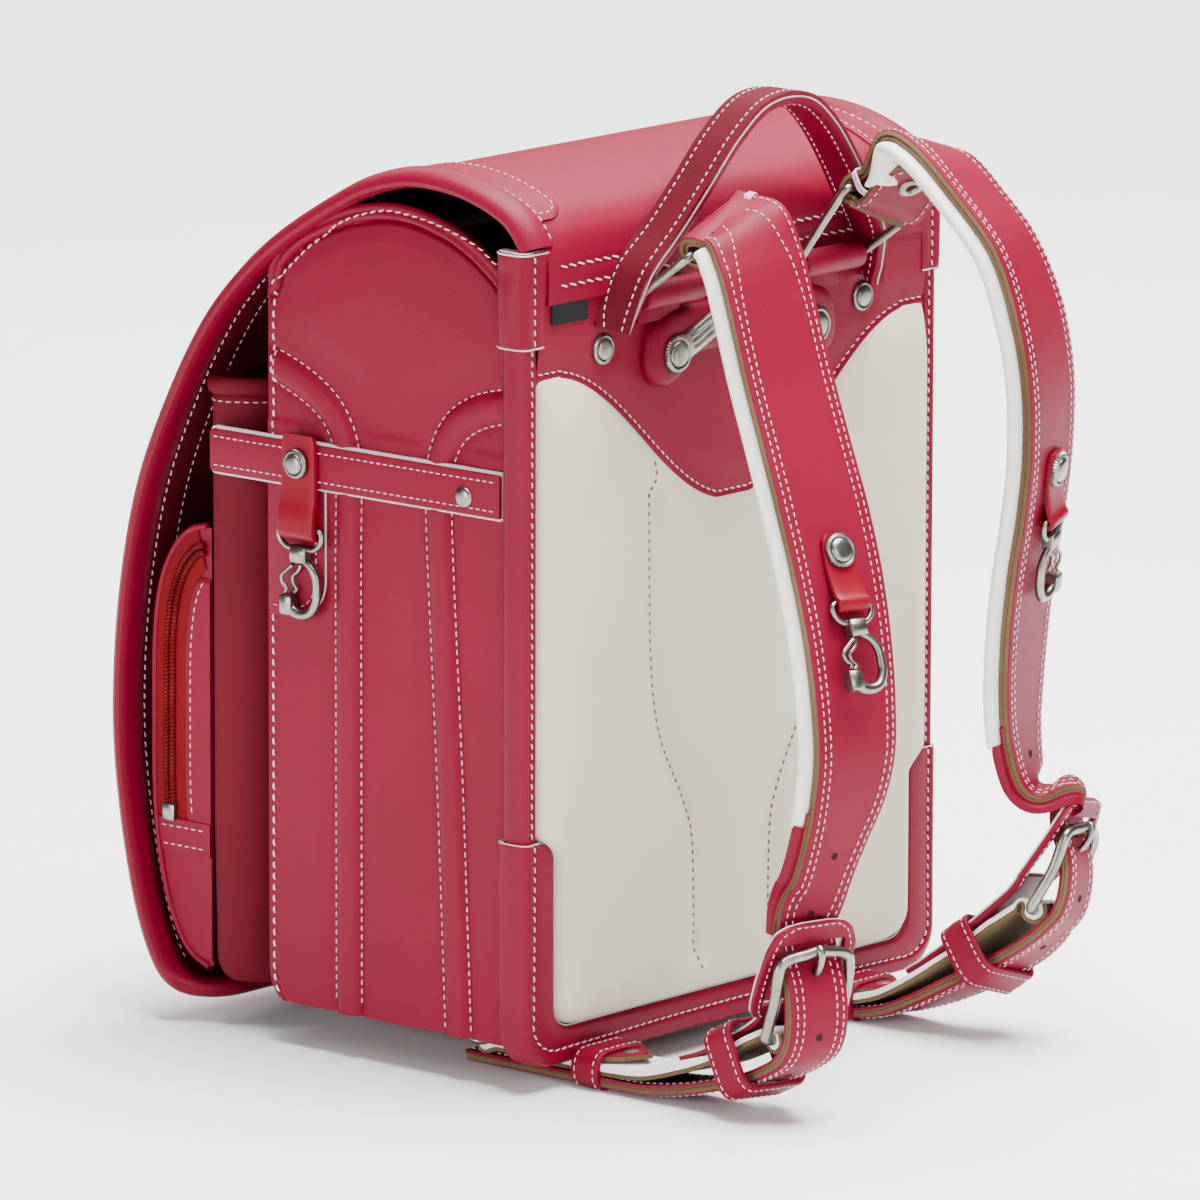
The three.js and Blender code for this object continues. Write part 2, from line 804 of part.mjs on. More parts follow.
function makeCushion() {
  const lobes = [
    { across: 0, height: 0 },
    { across: 0.08, height: 0.65 },
    { across: 0.3, height: 1 },
    { across: 0.8, height: 0.8 },
    { across: 1, height: 0.35 },
  ];
  const middle = [
    { across: 0.2, height: 0.6 },
    { across: 1, height: 0.7 },
  ];
  const rows = 13;
  const grid = [];
  for (let r = 0; r <= rows; r += 1) {
    const up = r / rows;
    const nominal = THREE.MathUtils.lerp(cushionBottom, bagHeight - yokeDrop, up);
    const edge = cushionHalf(nominal);
    const seam = channelHalf(up);
    const half1 = lobes.map((lobe) => ({
      x: edge - (edge - seam) * lobe.across,
      height: cushionHeight(lobe.height, up),
    })).concat(middle.map((part) => ({
      x: seam * (1 - part.across),
      height: cushionHeight(part.height, up),
    })));
    const line = half1.concat(half1.slice(0, -1).reverse().map((p) => ({ x: -p.x, height: p.height })));
    grid.push(line.map((p) => {
      const top = yokeEdge(p.x / innerHalf) + 2;
      const z = THREE.MathUtils.lerp(cushionBottom, top, up);
      return { x: p.x, z, height: p.height };
    }));
  }
  const columns = grid[0].length;
  const rings = grid.map((line) => line);
  const points = [];
  const faces = [];
  rings.forEach((line) => line.forEach((p) => points.push(p.x, p.height, p.z)));
  rings.forEach((line) => line.forEach((p) => points.push(p.x, 0, p.z)));
  const under = rings.length * columns;
  const quad = (a, b, c, d) => faces.push(a, b, c, a, c, d);
  for (let r = 0; r < rows; r += 1) {
    for (let c = 0; c < columns - 1; c += 1) {
      const a = r * columns + c;
      quad(a, a + 1, a + 1 + columns, a + columns);
      quad(under + a, under + a + columns, under + a + 1 + columns, under + a + 1);
    }
  }
  const rim = [];
  for (let c = 0; c < columns; c += 1) rim.push(c);
  for (let r = 1; r <= rows; r += 1) rim.push(r * columns + columns - 1);
  for (let c = columns - 2; c >= 0; c -= 1) rim.push(rows * columns + c);
  for (let r = rows - 1; r > 0; r -= 1) rim.push(r * columns);
  rim.forEach((a, i) => {
    const b = rim[(i + 1) % rim.length];
    quad(b, a, under + a, under + b);
  });
  const geometry = new THREE.BufferGeometry();
  geometry.setAttribute('position', new THREE.Float32BufferAttribute(points, 3));
  geometry.setIndex(faces);
  const guardRoom = join(
    slab(roundedRect(-guardInner + gap, guardInner - gap, cushionBottom, bagHeight, 10), 'y', -1, 30, 0, 4),
    block(-half, half, -1, 30, floorGap + guardHeight + gap, bagHeight),
  );
  return keepInside(cut(geometry, makeYoke(-1, 30, gap, 1.05)), guardRoom);
}

addPiece('back_cushion', makeCushion(), 'cream');

// Where each buckle's bottom bar lies, and how the buckle is turned, rolled and leaned back
const buckles = {
  left: { out: 0.865, up: 0.108, turn: 15, roll: 0, lean: 16, tailX: 86, rise: 0 },
  right: { out: 0.775, up: 0.165, turn: 17, roll: 13, lean: 20, tailX: 71, rise: 20 },
};

const edgeBottom = floorGap - edgeThick - 1;
const edgeFace = 3; // binding stands this far out of the back panel
const edgeTop = bagHeight - sleeveDrop + sleeveHeight;

function edgeOutline(grow, radius, top) {
  const side = edgeHalf + grow;
  const low = edgeBottom - grow;
  const shape = new THREE.Shape();
  shape.moveTo(-side, top);
  shape.lineTo(-side, low + radius);
  shape.absarc(-side + radius, low + radius, radius, Math.PI, 1.5 * Math.PI);
  shape.lineTo(side - radius, low);
  shape.absarc(side - radius, low + radius, radius, -Math.PI / 2, 0);
  shape.lineTo(side, top);
  return shape;
}

// Space for the body inside the binding, and the window that shows the back panel
function edgeCutters() {
  const body = block(
    -half - gap,
    half + gap,
    -60,
    -gap + 0.2,
    floorGap - gap,
    bagHeight + 30,
  );
  const window = slab(
    roundedRect(-half + 1.2, half - 1.2, floorGap + 1.2, bagHeight + 60, 6),
    'y',
    -1,
    30,
  );
  return [body, window];
}

// Notches under the edge, where the straps run below the bag
const foldThick = 2.8; // folded end of the lower belt
const floorTail = keeperThick + gap + strapThick / 2; // middle of the strap's tail above the floor
const floorBelt = floorTail + strapThick / 2 + gap + lowerThick / 2; // middle of the belt above it
const strapNotches = Object.values(buckles).map((set) => {
  const side = set === buckles.left ? 1 : -1;
  const reach = tailWide / 2 + 2 * gap;
  return block(
    side * set.tailX - reach,
    side * set.tailX + reach,
    -60,
    30,
    -10,
    floorBelt + lowerThick / 2 + foldThick + gap,
  );
});

function makeEdgeBinding() {
  const frame = slab(edgeOutline(0, 16, edgeTop - 2), 'y', -edgeWrap, edgeFace, 1.4, 4);
  const sleeve = block(
    flapHalf - bindingWide,
    edgeHalf + 2.2,
    -edgeWrap - 2,
    edgeFace + 2,
    bagHeight - sleeveDrop,
    edgeTop,
  );
  const flapEdge = block(-flapHalf + bindingInset, flapHalf - bindingInset, -60, 30, 0, bagHeight + 30);
  const yokeSpace = block(-innerHalf - gap, innerHalf + gap, -60, yokeThick + gap, 0, bagHeight + 30);
  const sleeves = cut(join(sleeve, mirrored(sleeve)), flapEdge, yokeSpace);
  return cut(join(cut(frame, ...edgeCutters()), sleeves), edgeCutters()[0], ...strapNotches);
}

addPiece('back_binding', makeEdgeBinding(), 'binding');

// The guard lies over the binding's corners and reaches further in over the back board
function makeGuard() {
  const cover = 1.5;
  const guardTop = floorGap + guardHeight;
  const shell = slab(
    edgeOutline(cover, 16 + cover, guardTop),
    'y',
    -edgeWrap - cover,
    edgeFace + cover,
    1.4,
    4,
  );
  const over = slab(edgeOutline(gap, 16 + gap, guardTop + 9), 'y', -60, edgeFace + gap, 0, 4);
  const inside = slab(
    roundedRect(-half + 1.2 + gap, half - 1.2 - gap, floorGap + 1.2 + gap, bagHeight + 60, 7),
    'y',
    0,
    30,
  );
  const window = slab(roundedRect(-guardInner, guardInner, cushionBottom - gap, bagHeight, 10), 'y', -1, 30);
  return cut(shell, cut(over, inside), window, ...strapNotches);
}

addPiece('corner_guard', makeGuard(), 'binding');

// Blank label tucked under the flap's rear edge
const flapRearEdge = overFlap(0, 0, 0).z;
addPiece('label', block(
  half - 31,
  flapHalf - bindingWide - gap,
  yokeThick + gap,
  yokeThick + gap + 0.8,
  flapRearEdge - 7.5,
  flapRearEdge - gap,
), 'black');

// Side belts, their rivets, and the patches behind the snap hooks
const beltIn = half + ribProud + gap;
const beltOut = beltIn + beltThick;
const beltFront = -mainDepth - pouchDepth + 9;

function makeSideBelt() {
  const shape = roundedRect(
    beltFront,
    -beltEndBack,
    beltHeight - beltWide / 2,
    beltHeight + beltWide / 2,
    2,
  );
  return slab(shape, 'x', beltIn, beltOut, 0, 2);
}

addPair('side_belt', makeSideBelt(), 'red');

const domeProfile = (radius, height) => [
  [0, 0],
  [radius, 0],
  [radius, height * 0.35],
  [radius * 0.75, height * 0.8],
  [0, height],
];

addPair('side_belt_rivet', turned(
  domeProfile(rivetRadius * 0.65, 1.6),
  v(beltOut + gap, -beltEndBack - 18, beltHeight - 2),
  v(1, 0, 0),
  12,
), 'nickel');

function makePatch() {
  const top = beltHeight - beltWide / 2 - gap;
  const front = -mainDepth + 3;
  const rear = front + patchWide;
  const shape = new THREE.Shape();
  shape.moveTo(front, top - patchHigh);
  shape.lineTo(rear - 16, top - patchHigh);
  shape.absarc(rear - 16, top - patchHigh + 16, 16, -Math.PI / 2, 0);
  shape.lineTo(rear, top);
  shape.lineTo(front, top);
  return slab(shape, 'x', half + gap, half + gap + 1.6, 0, 4);
}

addPair('side_patch', makePatch(), 'red');

// Side loops fold over the belt and hold the snap hook's bail in an eye at their lower end
const loopIn = beltOut + gap;
const loopEye = { radius: 4, bore: 2 };
const loopFoot = beltHeight - 26; // height of the eye's axis
const eyeX = loopIn + loopThick / 2 - 0.6;

function makeLoop() {
  const top = beltHeight + beltWide / 2 + 3;
  const face = slab(
    roundedRect(-loopBack - loopWide / 2, -loopBack + loopWide / 2, loopFoot + 2, top, 3),
    'x',
    loopIn,
    loopIn + loopThick,
    0,
    3,
  );
  const eye = slab(circle(eyeX, loopFoot, loopEye.radius, 10), 'y', -loopBack - loopWide / 2, -loopBack + loopWide / 2);
  const bore = slab(circle(eyeX, loopFoot, loopEye.bore, 8), 'y', -loopBack - loopWide, -loopBack + loopWide);
  const beltSpace = block(0, loopIn, -300, 30, beltHeight - beltWide / 2 - gap, bagHeight);
  return cut(cut(join(face, eye), beltSpace), bore);
}

function circle(cx, cy, radius, sides) {
  const points = [];
  for (let i = 0; i < sides; i += 1) {
    const angle = ((i + 0.5) / sides) * 2 * Math.PI;
    points.push([cx + radius * Math.cos(angle), cy + radius * Math.sin(angle)]);
  }
  return outline(points);
}

addPair('side_loop', makeLoop(), 'binding');

addPair('side_stud', turned(
  domeProfile(studRadius * 0.85, 2.6),
  v(loopIn + loopThick + gap, -loopBack, beltHeight + 1),
  v(1, 0, 0),
  16,
), 'nickel');

// A snap hook in its own plane: bail bar at the origin along a, body hanging towards -b.
// The body is one bent wire with a block at its neck, and the gate closes its mouth.
const hookLayout = {
  bailDrop: 7.5,
  blockHigh: 6,
  blockWide: 8,
  gatePin: 3.2,
};

function hookGeometry(place, loop) {
  const d = hookWire;
  const normal = place.normal;
  const w = loop / 2 + d / 2 + gap;
  const low = -hookLayout.bailDrop;
  const blockLow = low - hookLayout.blockHigh;
  const bottom = -hookLong;
  const right = hookWide / 2 - d / 2;
  const bail = wire([
    place.at(-w, 0),
    place.at(w, 0),
    place.at(w, low * 0.6),
    place.at(w * 0.75, low),
    place.at(-w * 0.75, low),
    place.at(-w, low * 0.6),
  ], d * 0.9, { closed: true, normal });
  const neck = place.box(-hookLayout.blockWide / 2, hookLayout.blockWide / 2, blockLow, low + 0.8, 4.4);
  const jaw = wire([
    place.at(0, blockLow + 1.5),
    place.at(right * 0.6, blockLow - 1.5),
    place.at(right, blockLow - 7),
    place.at(right, bottom + 8),
    place.at(right * 0.6, bottom + 2.6),
    place.at(0, bottom + d / 2),
    place.at(-right * 0.5, bottom + 3),
    place.at(-right * 0.68, bottom + 6.5),
  ], d, { normal });
  return join(bail, neck, jaw);
}

// The gate's hinge end sits just under the block and its tip meets the hook's nose
function gateGeometry(place) {
  const d = hookWire * 0.7;
  const right = hookWide / 2 - hookWire / 2;
  const blockLow = -hookLayout.bailDrop - hookLayout.blockHigh;
  const top = blockLow - gap - d / 2 - 0.2;
  const nose = -hookLong + 6.5 + hookWire * 0.5 + gap + d * 0.5;
  return wire([
    place.at(-hookLayout.gatePin + 0.2, top),
    place.at(-right * 0.95, top - 5),
    place.at(-right * 0.9, nose + 4),
    place.at(-right * 0.66, nose + 0.6),
  ], d, { normal: place.normal });
}

// Plane of a hook: origin on its bail bar, a along the bar, b up, normal out
function hookPlace(origin, a, b) {
  const normal = new THREE.Vector3().crossVectors(a, b).normalize();
  const at = (s, t) => origin.clone().addScaledVector(a, s).addScaledVector(b, t);
  const box = (a0, a1, b0, b1, thick) => {
    const geometry = block(a0, a1, b0, b1, -thick / 2, thick / 2);
    geometry.applyMatrix4(new THREE.Matrix4().makeBasis(a, b, normal).setPosition(origin));
    return geometry;
  };
  return { at, box, normal };
}

const sideHookPlace = hookPlace(v(eyeX, -loopBack, loopFoot), v(0, 1, 0), v(0, 0, 1));
addPair('side_hook', hookGeometry(sideHookPlace, loopWide), 'nickel');
addPair('side_gate', gateGeometry(sideHookPlace), 'nickel');

// Strap base: a leather-covered plate with two tubes that hold the strap rings
const tubeZ = bagHeight - tubeDrop;
const tubeY = 10.8;
const tubeRadius = 5.5;
const tubeBore = ringWire / 2 + 0.5;
const ringHalf = 20.7;
const tubeHalf = ringHalf - ringWire / 2 - 1;
const baseTop = flapRearEdge - 4;

function makeStrapBase() {
  const ring = ringSpacing / 2;
  const plate = new THREE.Shape();
  plate.moveTo(-ring - 4, baseTop - 37);
  plate.quadraticCurveTo(-ring - 10, baseTop - 24, -ring - 4, baseTop - 12);
  plate.lineTo(-ring + 10, baseTop - 6);
  plate.lineTo(ring - 10, baseTop - 6);
  plate.lineTo(ring + 4, baseTop - 12);
  plate.quadraticCurveTo(ring + 10, baseTop - 24, ring + 4, baseTop - 37);
  plate.quadraticCurveTo(ring - 8, baseTop - 40, ring - 20, baseTop - 26);
  plate.lineTo(-ring + 20, baseTop - 26);
  plate.quadraticCurveTo(-ring + 8, baseTop - 40, -ring - 4, baseTop - 37);
  const body = slab(plate, 'y', yokeThick + gap, 9, 1.5, 4);
  const tubes = [-1, 1].map((side) => slab(
    circle(tubeY, tubeZ, tubeRadius, 12),
    'x',
    side * ring - tubeHalf,
    side * ring + tubeHalf,
  ));
  const webs = [-1, 1].map((side) => block(
    side * ring - tubeHalf + 2,
    side * ring + tubeHalf - 2,
    yokeThick + gap + 0.4,
    tubeY,
    baseTop - 9,
    tubeZ - tubeRadius * 0.4,
  ));
  const flapSpace = block(-300, 300, -60, flapBackFace + gap, flapRearEdge - gap, 500);
  const bore = slab(circle(tubeY, tubeZ, tubeBore, 8), 'x', -300, 300);
  return cut(join(body, ...webs, ...tubes), flapSpace, bore);
}

addPiece('strap_base', makeStrapBase(), 'binding');

function makeBasePlate() {
  const ring = ringSpacing / 2;
  const z = baseTop - 24;
  const x = ring - 6;
  const shape = new THREE.Shape();
  shape.absarc(x, z, 8, 0.25 * Math.PI, 1.75 * Math.PI);
  const disc = slab(circle(x, z, 7.5, 14), 'y', 9 + gap, 11.2, 0, 6);
  const boss = turned(domeProfile(5, 2), v(x, 11, z), v(0, 1, 0), 12);
  const bar = slab(
    outline([[x - 4, z - 4.5], [x, z + 4.5], [x - 19, z + 12], [x - 21, z + 3.5]]),
    'y',
    9 + gap,
    11.2,
  );
  return join(disc, boss, bar);
}

addPair('strap_base_plate', makeBasePlate(), 'nickel');

// Strap rings: lower bar in the tube, upper bar leaning with its inner end high
const ringUpper = v(ringSpacing / 2, tubeY + ringOut, tubeZ + ringRise);
const ringAcross = v(-Math.cos(ringTilt * degree), 0, Math.sin(ringTilt * degree));

function makeRing(thick) {
  const lowerOut = v(ringSpacing / 2 + ringHalf, tubeY, tubeZ);
  const lowerIn = v(ringSpacing / 2 - ringHalf, tubeY, tubeZ);
  const upperOut = ringUpper.clone().addScaledVector(ringAcross, -ringHalf - 1.5);
  const upperIn = ringUpper.clone().addScaledVector(ringAcross, ringHalf + 1.5);
  const corners = [lowerOut, lowerIn, upperIn, upperOut];
  const cutBack = 4;
  const points = [];
  corners.forEach((corner, i) => {
    const before = corners[(i + 3) % 4].clone().sub(corner).normalize();
    const after = corners[(i + 1) % 4].clone().sub(corner).normalize();
    points.push(corner.clone().addScaledVector(before, cutBack * (i < 2 ? 0.6 : 1)));
    points.push(corner.clone().addScaledVector(before, 1).addScaledVector(after, 1));
    points.push(corner.clone().addScaledVector(after, cutBack * (i < 2 ? 0.6 : 1)));
  });
  return wire(points, thick, { closed: true, normal: v(0, -0.7, 0.7) });
}

addPair('ring', makeRing(ringWire), 'nickel');

// Handle: a padded hoop whose feet stand on the yoke
const footHeight = bagHeight - handleFootDrop;
const handleRows = [
  { side: 1, up: 0, out: 0.28, turn: 40, wide: 0.72 },
  { side: 0.975, up: 0.09, out: 0.32, turn: 25, wide: 0.85 },
  { side: 0.9, up: 0.26, out: 0.46, turn: 8, wide: 1 },
  { side: 0.735, up: 0.44, out: 0.68, turn: 0, wide: 1 },
  { side: 0.56, up: 0.64, out: 0.85, turn: 0, wide: 1 },
  { side: 0.37, up: 0.84, out: 0.95, turn: 0, wide: 1 },
  { side: 0.18, up: 0.97, out: 1, turn: 0, wide: 1 },
  { side: 0, up: 1, out: 1, turn: 0, wide: 1 },
];
const handleOut = 19;

function makeHandle() {
  const leftRows = handleRows.map((row) => ({
    at: v(
      row.side * (handleSpan / 2 - handleThick / 2),
      row.out * handleOut + 2.4,
      footHeight + row.up * (handleRise - handleThick / 2),
    ),
    across: v(-Math.sin(row.turn * degree), Math.cos(row.turn * degree), 0),
    wide: row.wide * handleWide,
  }));
  const rightRows = leftRows.slice(0, -1).reverse().map((row) => ({
    at: v(-row.at.x, row.at.y, row.at.z),
    across: v(-row.across.x, row.across.y, 0),
    wide: row.wide,
  }));
  const frames = framesAlong(leftRows.concat(rightRows), 22);
  const hoop = loft(frames.map((frame) => ringAt(frame, padSection(frame.wide, handleThick))));
  const backSpace = block(-300, 300, -60, yokeThick + gap, 0, 500);
  const flapSpace = block(-300, 300, -60, flapBackFace + gap, flapRearEdge - 2, 500);
  const ringSpace = makeRing(ringWire + 3 * gap);
  return cut(hoop, backSpace, flapSpace, ringSpace, mirrored(ringSpace));
}

addPiece('handle', makeHandle(), 'binding');

addPair('handle_rivet', turned(
  [[0, 0], [rivetRadius, 0], [rivetRadius, 1.6], [rivetRadius * 0.8, 2.4], [rivetRadius * 0.6, 1.9], [0, 2.6]],
  v(handleSpan / 2 - 3, yokeThick + gap, footHeight - 8),
  v(0, 1, 0),
  16,
), 'nickel');

// Shoulder straps. Rows run from the ring to the buckle as shares:
// out of strapReach, up of the ring's height, drift from the ring's x to the buckle's x.
// turn is how far the face turns outwards and roll how far the inner edge is raised, in degrees.
const leftRows = [
  { out: 0.33, up: 1.012, drift: 0.01, turn: 0, roll: 22, wide: 0.87 },
  { out: 0.395, up: 1.008, drift: 0.02, turn: 2, roll: 19, wide: 0.95 },
  { out: 0.46, up: 0.975, drift: 0.06, turn: 4, roll: 12, wide: 1 },
  { out: 0.52, up: 0.925, drift: 0.11, turn: 7, roll: 5, wide: 1 },
  { out: 0.6, up: 0.85, drift: 0.17, turn: 10, roll: 0, wide: 1 },
  { out: 0.7, up: 0.77, drift: 0.26, turn: 12, roll: -3, wide: 1 },
  { out: 0.79, up: 0.7, drift: 0.35, turn: 14, roll: -4, wide: 1 },
  { out: 0.868, up: 0.632, drift: 0.44, turn: 13, roll: -5, wide: 1 },
  { out: 0.935, up: 0.556, drift: 0.53, turn: 9, roll: -5, wide: 1 },
  { out: 0.98, up: 0.485, drift: 0.62, turn: 6, roll: -5, wide: 1 },
  { out: 1, up: 0.43, drift: 0.69, turn: 5, roll: -5, wide: 0.98 },
  { out: 0.988, up: 0.385, drift: 0.74, turn: 6, roll: -5, wide: 0.9 },
  { out: 0.96, up: 0.342, drift: 0.8, turn: 7, roll: -5, wide: 0.76 },
  { out: 0.928, up: 0.3, drift: 0.86, turn: 9, roll: -4, wide: 0.66 },
  { out: 0.9, up: 0.262, drift: 0.93, turn: 12, roll: -2, wide: 0.63 },
];
const rightRows = [
  { out: 0.345, up: 1.03, drift: 0.005, turn: 0, roll: 22, wide: 0.8 },
  { out: 0.42, up: 1.07, drift: 0.01, turn: 0, roll: 20, wide: 0.86 },
  { out: 0.53, up: 1.065, drift: 0.02, turn: 5, roll: 14, wide: 1 },
  { out: 0.68, up: 1.02, drift: 0.05, turn: 12, roll: 8, wide: 1 },
  { out: 0.82, up: 0.965, drift: 0.08, turn: 17, roll: 2, wide: 1 },
  { out: 0.905, up: 0.89, drift: 0.13, turn: 15, roll: -2, wide: 1 },
  { out: 0.935, up: 0.81, drift: 0.2, turn: 15, roll: -3, wide: 1 },
  { out: 0.915, up: 0.73, drift: 0.3, turn: 16, roll: -4, wide: 1 },
  { out: 0.872, up: 0.66, drift: 0.4, turn: 16, roll: -4, wide: 1 },
  { out: 0.815, up: 0.585, drift: 0.5, turn: 16, roll: -4, wide: 1 },
  { out: 0.765, up: 0.505, drift: 0.6, turn: 17, roll: -4, wide: 1 },
  { out: 0.732, up: 0.43, drift: 0.69, turn: 18, roll: -4, wide: 0.95 },
  { out: 0.717, up: 0.375, drift: 0.77, turn: 18, roll: -2, wide: 0.78 },
  { out: 0.72, up: 0.33, drift: 0.85, turn: 18, roll: 4, wide: 0.66 },
  { out: 0.74, up: 0.3, drift: 0.92, turn: 18, roll: 10, wide: 0.63 },
];

const acrossAt = (turn, roll) => v(
  -Math.cos(turn * degree) * Math.cos(roll * degree),
  Math.sin(turn * degree) * Math.cos(roll * degree),
  Math.sin(roll * degree),
);

// Axes of a buckle: across to the inner edge, up along its side bars, out of its face
function buckleFrame(set) {
  const across = acrossAt(set.turn, set.roll);
  const out = v(Math.sin(set.turn * degree), Math.cos(set.turn * degree), 0);
  const up = v(0, 0, 1).multiplyScalar(Math.cos(set.lean * degree))
    .addScaledVector(out, Math.sin(set.lean * degree));
  up.addScaledVector(across, -up.dot(across)).normalize();
  const face = new THREE.Vector3().crossVectors(across, up).normalize();
  const origin = v(buckleSpacing / 2, set.out * strapReach, set.up * ringUpper.z);
  const at = (a, b, c) => origin.clone()
    .addScaledVector(across, a)
    .addScaledVector(up, b)
    .addScaledVector(face, c);
  return { across, up, face, origin, at };
}

const eyeRadius = strapThick / 2 + ringWire / 2 + 1.1; // band's middle round the ring's bar
const ringOutward = v(0, 1, 0);
const ringUpward = new THREE.Vector3().crossVectors(ringOutward, ringAcross).normalize();

// Straps above the buckle, as rows of places; the first ones wrap the ring's bar
function hangingRows(rows) {
  return rows.map((row) => ({
    at: v(
      THREE.MathUtils.lerp(ringSpacing, buckleSpacing, row.drift) / 2,
      row.out * strapReach,
      row.up * ringUpper.z,
    ),
    across: acrossAt(row.turn, row.roll),
    wide: row.wide * strapWide,
  }));
}

function foldRows() {
  const rows = [];
  const turns = [
    { angle: -80 },
    { angle: -130 },
    { angle: 180 },
    { angle: 135 },
    { angle: 95 },
  ];
  turns.forEach((turn) => {
    const angle = turn.angle * degree;
    rows.push({
      at: ringUpper.clone()
        .addScaledVector(ringOutward, Math.cos(angle) * eyeRadius)
        .addScaledVector(ringUpward, Math.sin(angle) * eyeRadius),
      across: ringAcross,
      wide: 0.85 * strapWide,
    });
  });
  return rows;
}

// The strap goes behind the tab, through the frame, over its bottom bar and back under the bag
function throughRows(set) {
  const frame = buckleFrame(set);
  const rows = [
    { up: buckleTall + 15, out: -10 },
    { up: buckleTall + 7, out: -9.6 },
    { up: buckleTall, out: -7 },
    { up: buckleTall * 0.66, out: 3.2 },
    { up: buckleTall * 0.33, out: 8.2 },
    { up: 1, out: 9.5 },
    { up: -8, out: 6.5 },
  ].map((row) => ({
    at: frame.at(0, row.up, row.out),
    across: frame.across,
    wide: tailWide,
  }));
  return { frame, rows };
}

// Tail and lower belt on the way from the buckle to the floor and under the bag.
// y is measured from the back panel, lift above the floor run, x from the buckle's x to tailX.
function floorX(set, y) {
  const buckleX = buckleSpacing / 2;
  const share = THREE.MathUtils.clamp((set.out * strapReach - y) / (set.out * strapReach - 45), 0, 1);
  return THREE.MathUtils.lerp(buckleX, set.tailX, share * share * (3 - 2 * share));
}

const tailLeft = [
  { y: 101, lift: 15.5, roll: -8 },
  { y: 88, lift: 10.2, roll: -6 },
  { y: 72, lift: 5.6, roll: -4 },
  { y: 56, lift: 2.2, roll: -2 },
  { y: 38, lift: 0.2, roll: 0 },
  { y: 18, lift: 0, roll: 0 },
  { y: -10, lift: 0, roll: 0 },
  { y: -32, lift: 0, roll: 0 },
  { y: -52, lift: 0, roll: 0 },
];
const tailRight = [
  { y: 88, lift: 31, roll: 10 },
  { y: 76, lift: 23, roll: 12 },
  { y: 62, lift: 15, roll: 12 },
  { y: 48, lift: 8, roll: 8 },
  { y: 34, lift: 2.6, roll: 4 },
  { y: 20, lift: 0.2, roll: 0 },
  { y: 4, lift: 0, roll: 0 },
  { y: -20, lift: 0, roll: 0 },
  { y: -45, lift: 0, roll: 0 },
];
const tails = { left: tailLeft, right: tailRight };

function floorRows(set, rows, height) {
  return rows.map((row) => ({
    at: v(floorX(set, row.y), row.y, height + row.lift),
    across: acrossAt(0, row.roll),
    wide: tailWide,
  }));
}

function strapFrames(side) {
  const set = buckles[side];
  const hanging = hangingRows(side === 'left' ? leftRows : rightRows);
  const through = throughRows(set).rows;
  const tail = floorRows(set, tails[side], floorTail);
  const rows = foldRows().concat(hanging, through, tail);
  return { frames: framesAlong(rows, Math.round(rows.length * 1.5)), hangingCount: hanging.length };
}

const atSide = (side, geometry) => (side === 'left' ? geometry : mirrored(geometry));

// Leather tab held by a stud on the strap, with a snap hook in its lower eye
function addStrapHook(side, place, onFace) {
  const tabLong = 21;
  const tabHigh = 2.4;
  const up = place.along.clone().negate();
  const basis = new THREE.Matrix4().makeBasis(place.across, up, new THREE.Vector3().crossVectors(place.across, up));
  const face = new THREE.Vector3().crossVectors(place.across, up).normalize();
  const put = (geometry) => geometry.applyMatrix4(basis.clone().setPosition(onFace));
  const out = Math.sign(face.dot(place.face));
  const wide = 15;
  const eye = { low: -tabLong, radius: 3.4, bore: 1.9 };
  const lift = eye.radius - tabHigh / 2;
  const tab = slab(roundedRect(-wide / 2, wide / 2, eye.low + 1, 6, 3), 'z', 0, tabHigh, 0, 3);
  const ring = slab(circle(eye.low, lift, eye.radius, 10), 'x', -wide / 2, wide / 2);
  const bore = slab(circle(eye.low, lift, eye.bore, 8), 'x', -wide, wide);
  const below = block(-30, 30, -60, 30, -30, 0);
  const tabGeometry = cut(join(tab, ring), bore, below);
  if (out < 0) tabGeometry.scale(-1, 1, -1);
  addPiece(`strap_tab_${side}`, atSide(side, put(tabGeometry)), 'binding');
  const studAt = onFace.clone().addScaledVector(place.face, tabHigh + gap);
  addPiece(`strap_stud_${side}`, atSide(side, turned(
    [[0, 0], [studRadius, 0], [studRadius, 1.4], [studRadius * 0.82, 2.6], [studRadius * 0.7, 2.2], [0, 2.6]],
    studAt,
    place.face,
    16,
  )), 'nickel');
  const origin = onFace.clone().addScaledVector(up, eye.low).addScaledVector(place.face, lift);
  const across = place.across.clone();
  if (new THREE.Vector3().crossVectors(across, up).dot(place.face) < 0) across.negate();
  const hook = hookPlace(origin, across, up);
  addPiece(`strap_hook_${side}`, atSide(side, hookGeometry(hook, wide)), 'nickel');
  addPiece(`strap_gate_${side}`, atSide(side, gateGeometry(hook)), 'nickel');
}

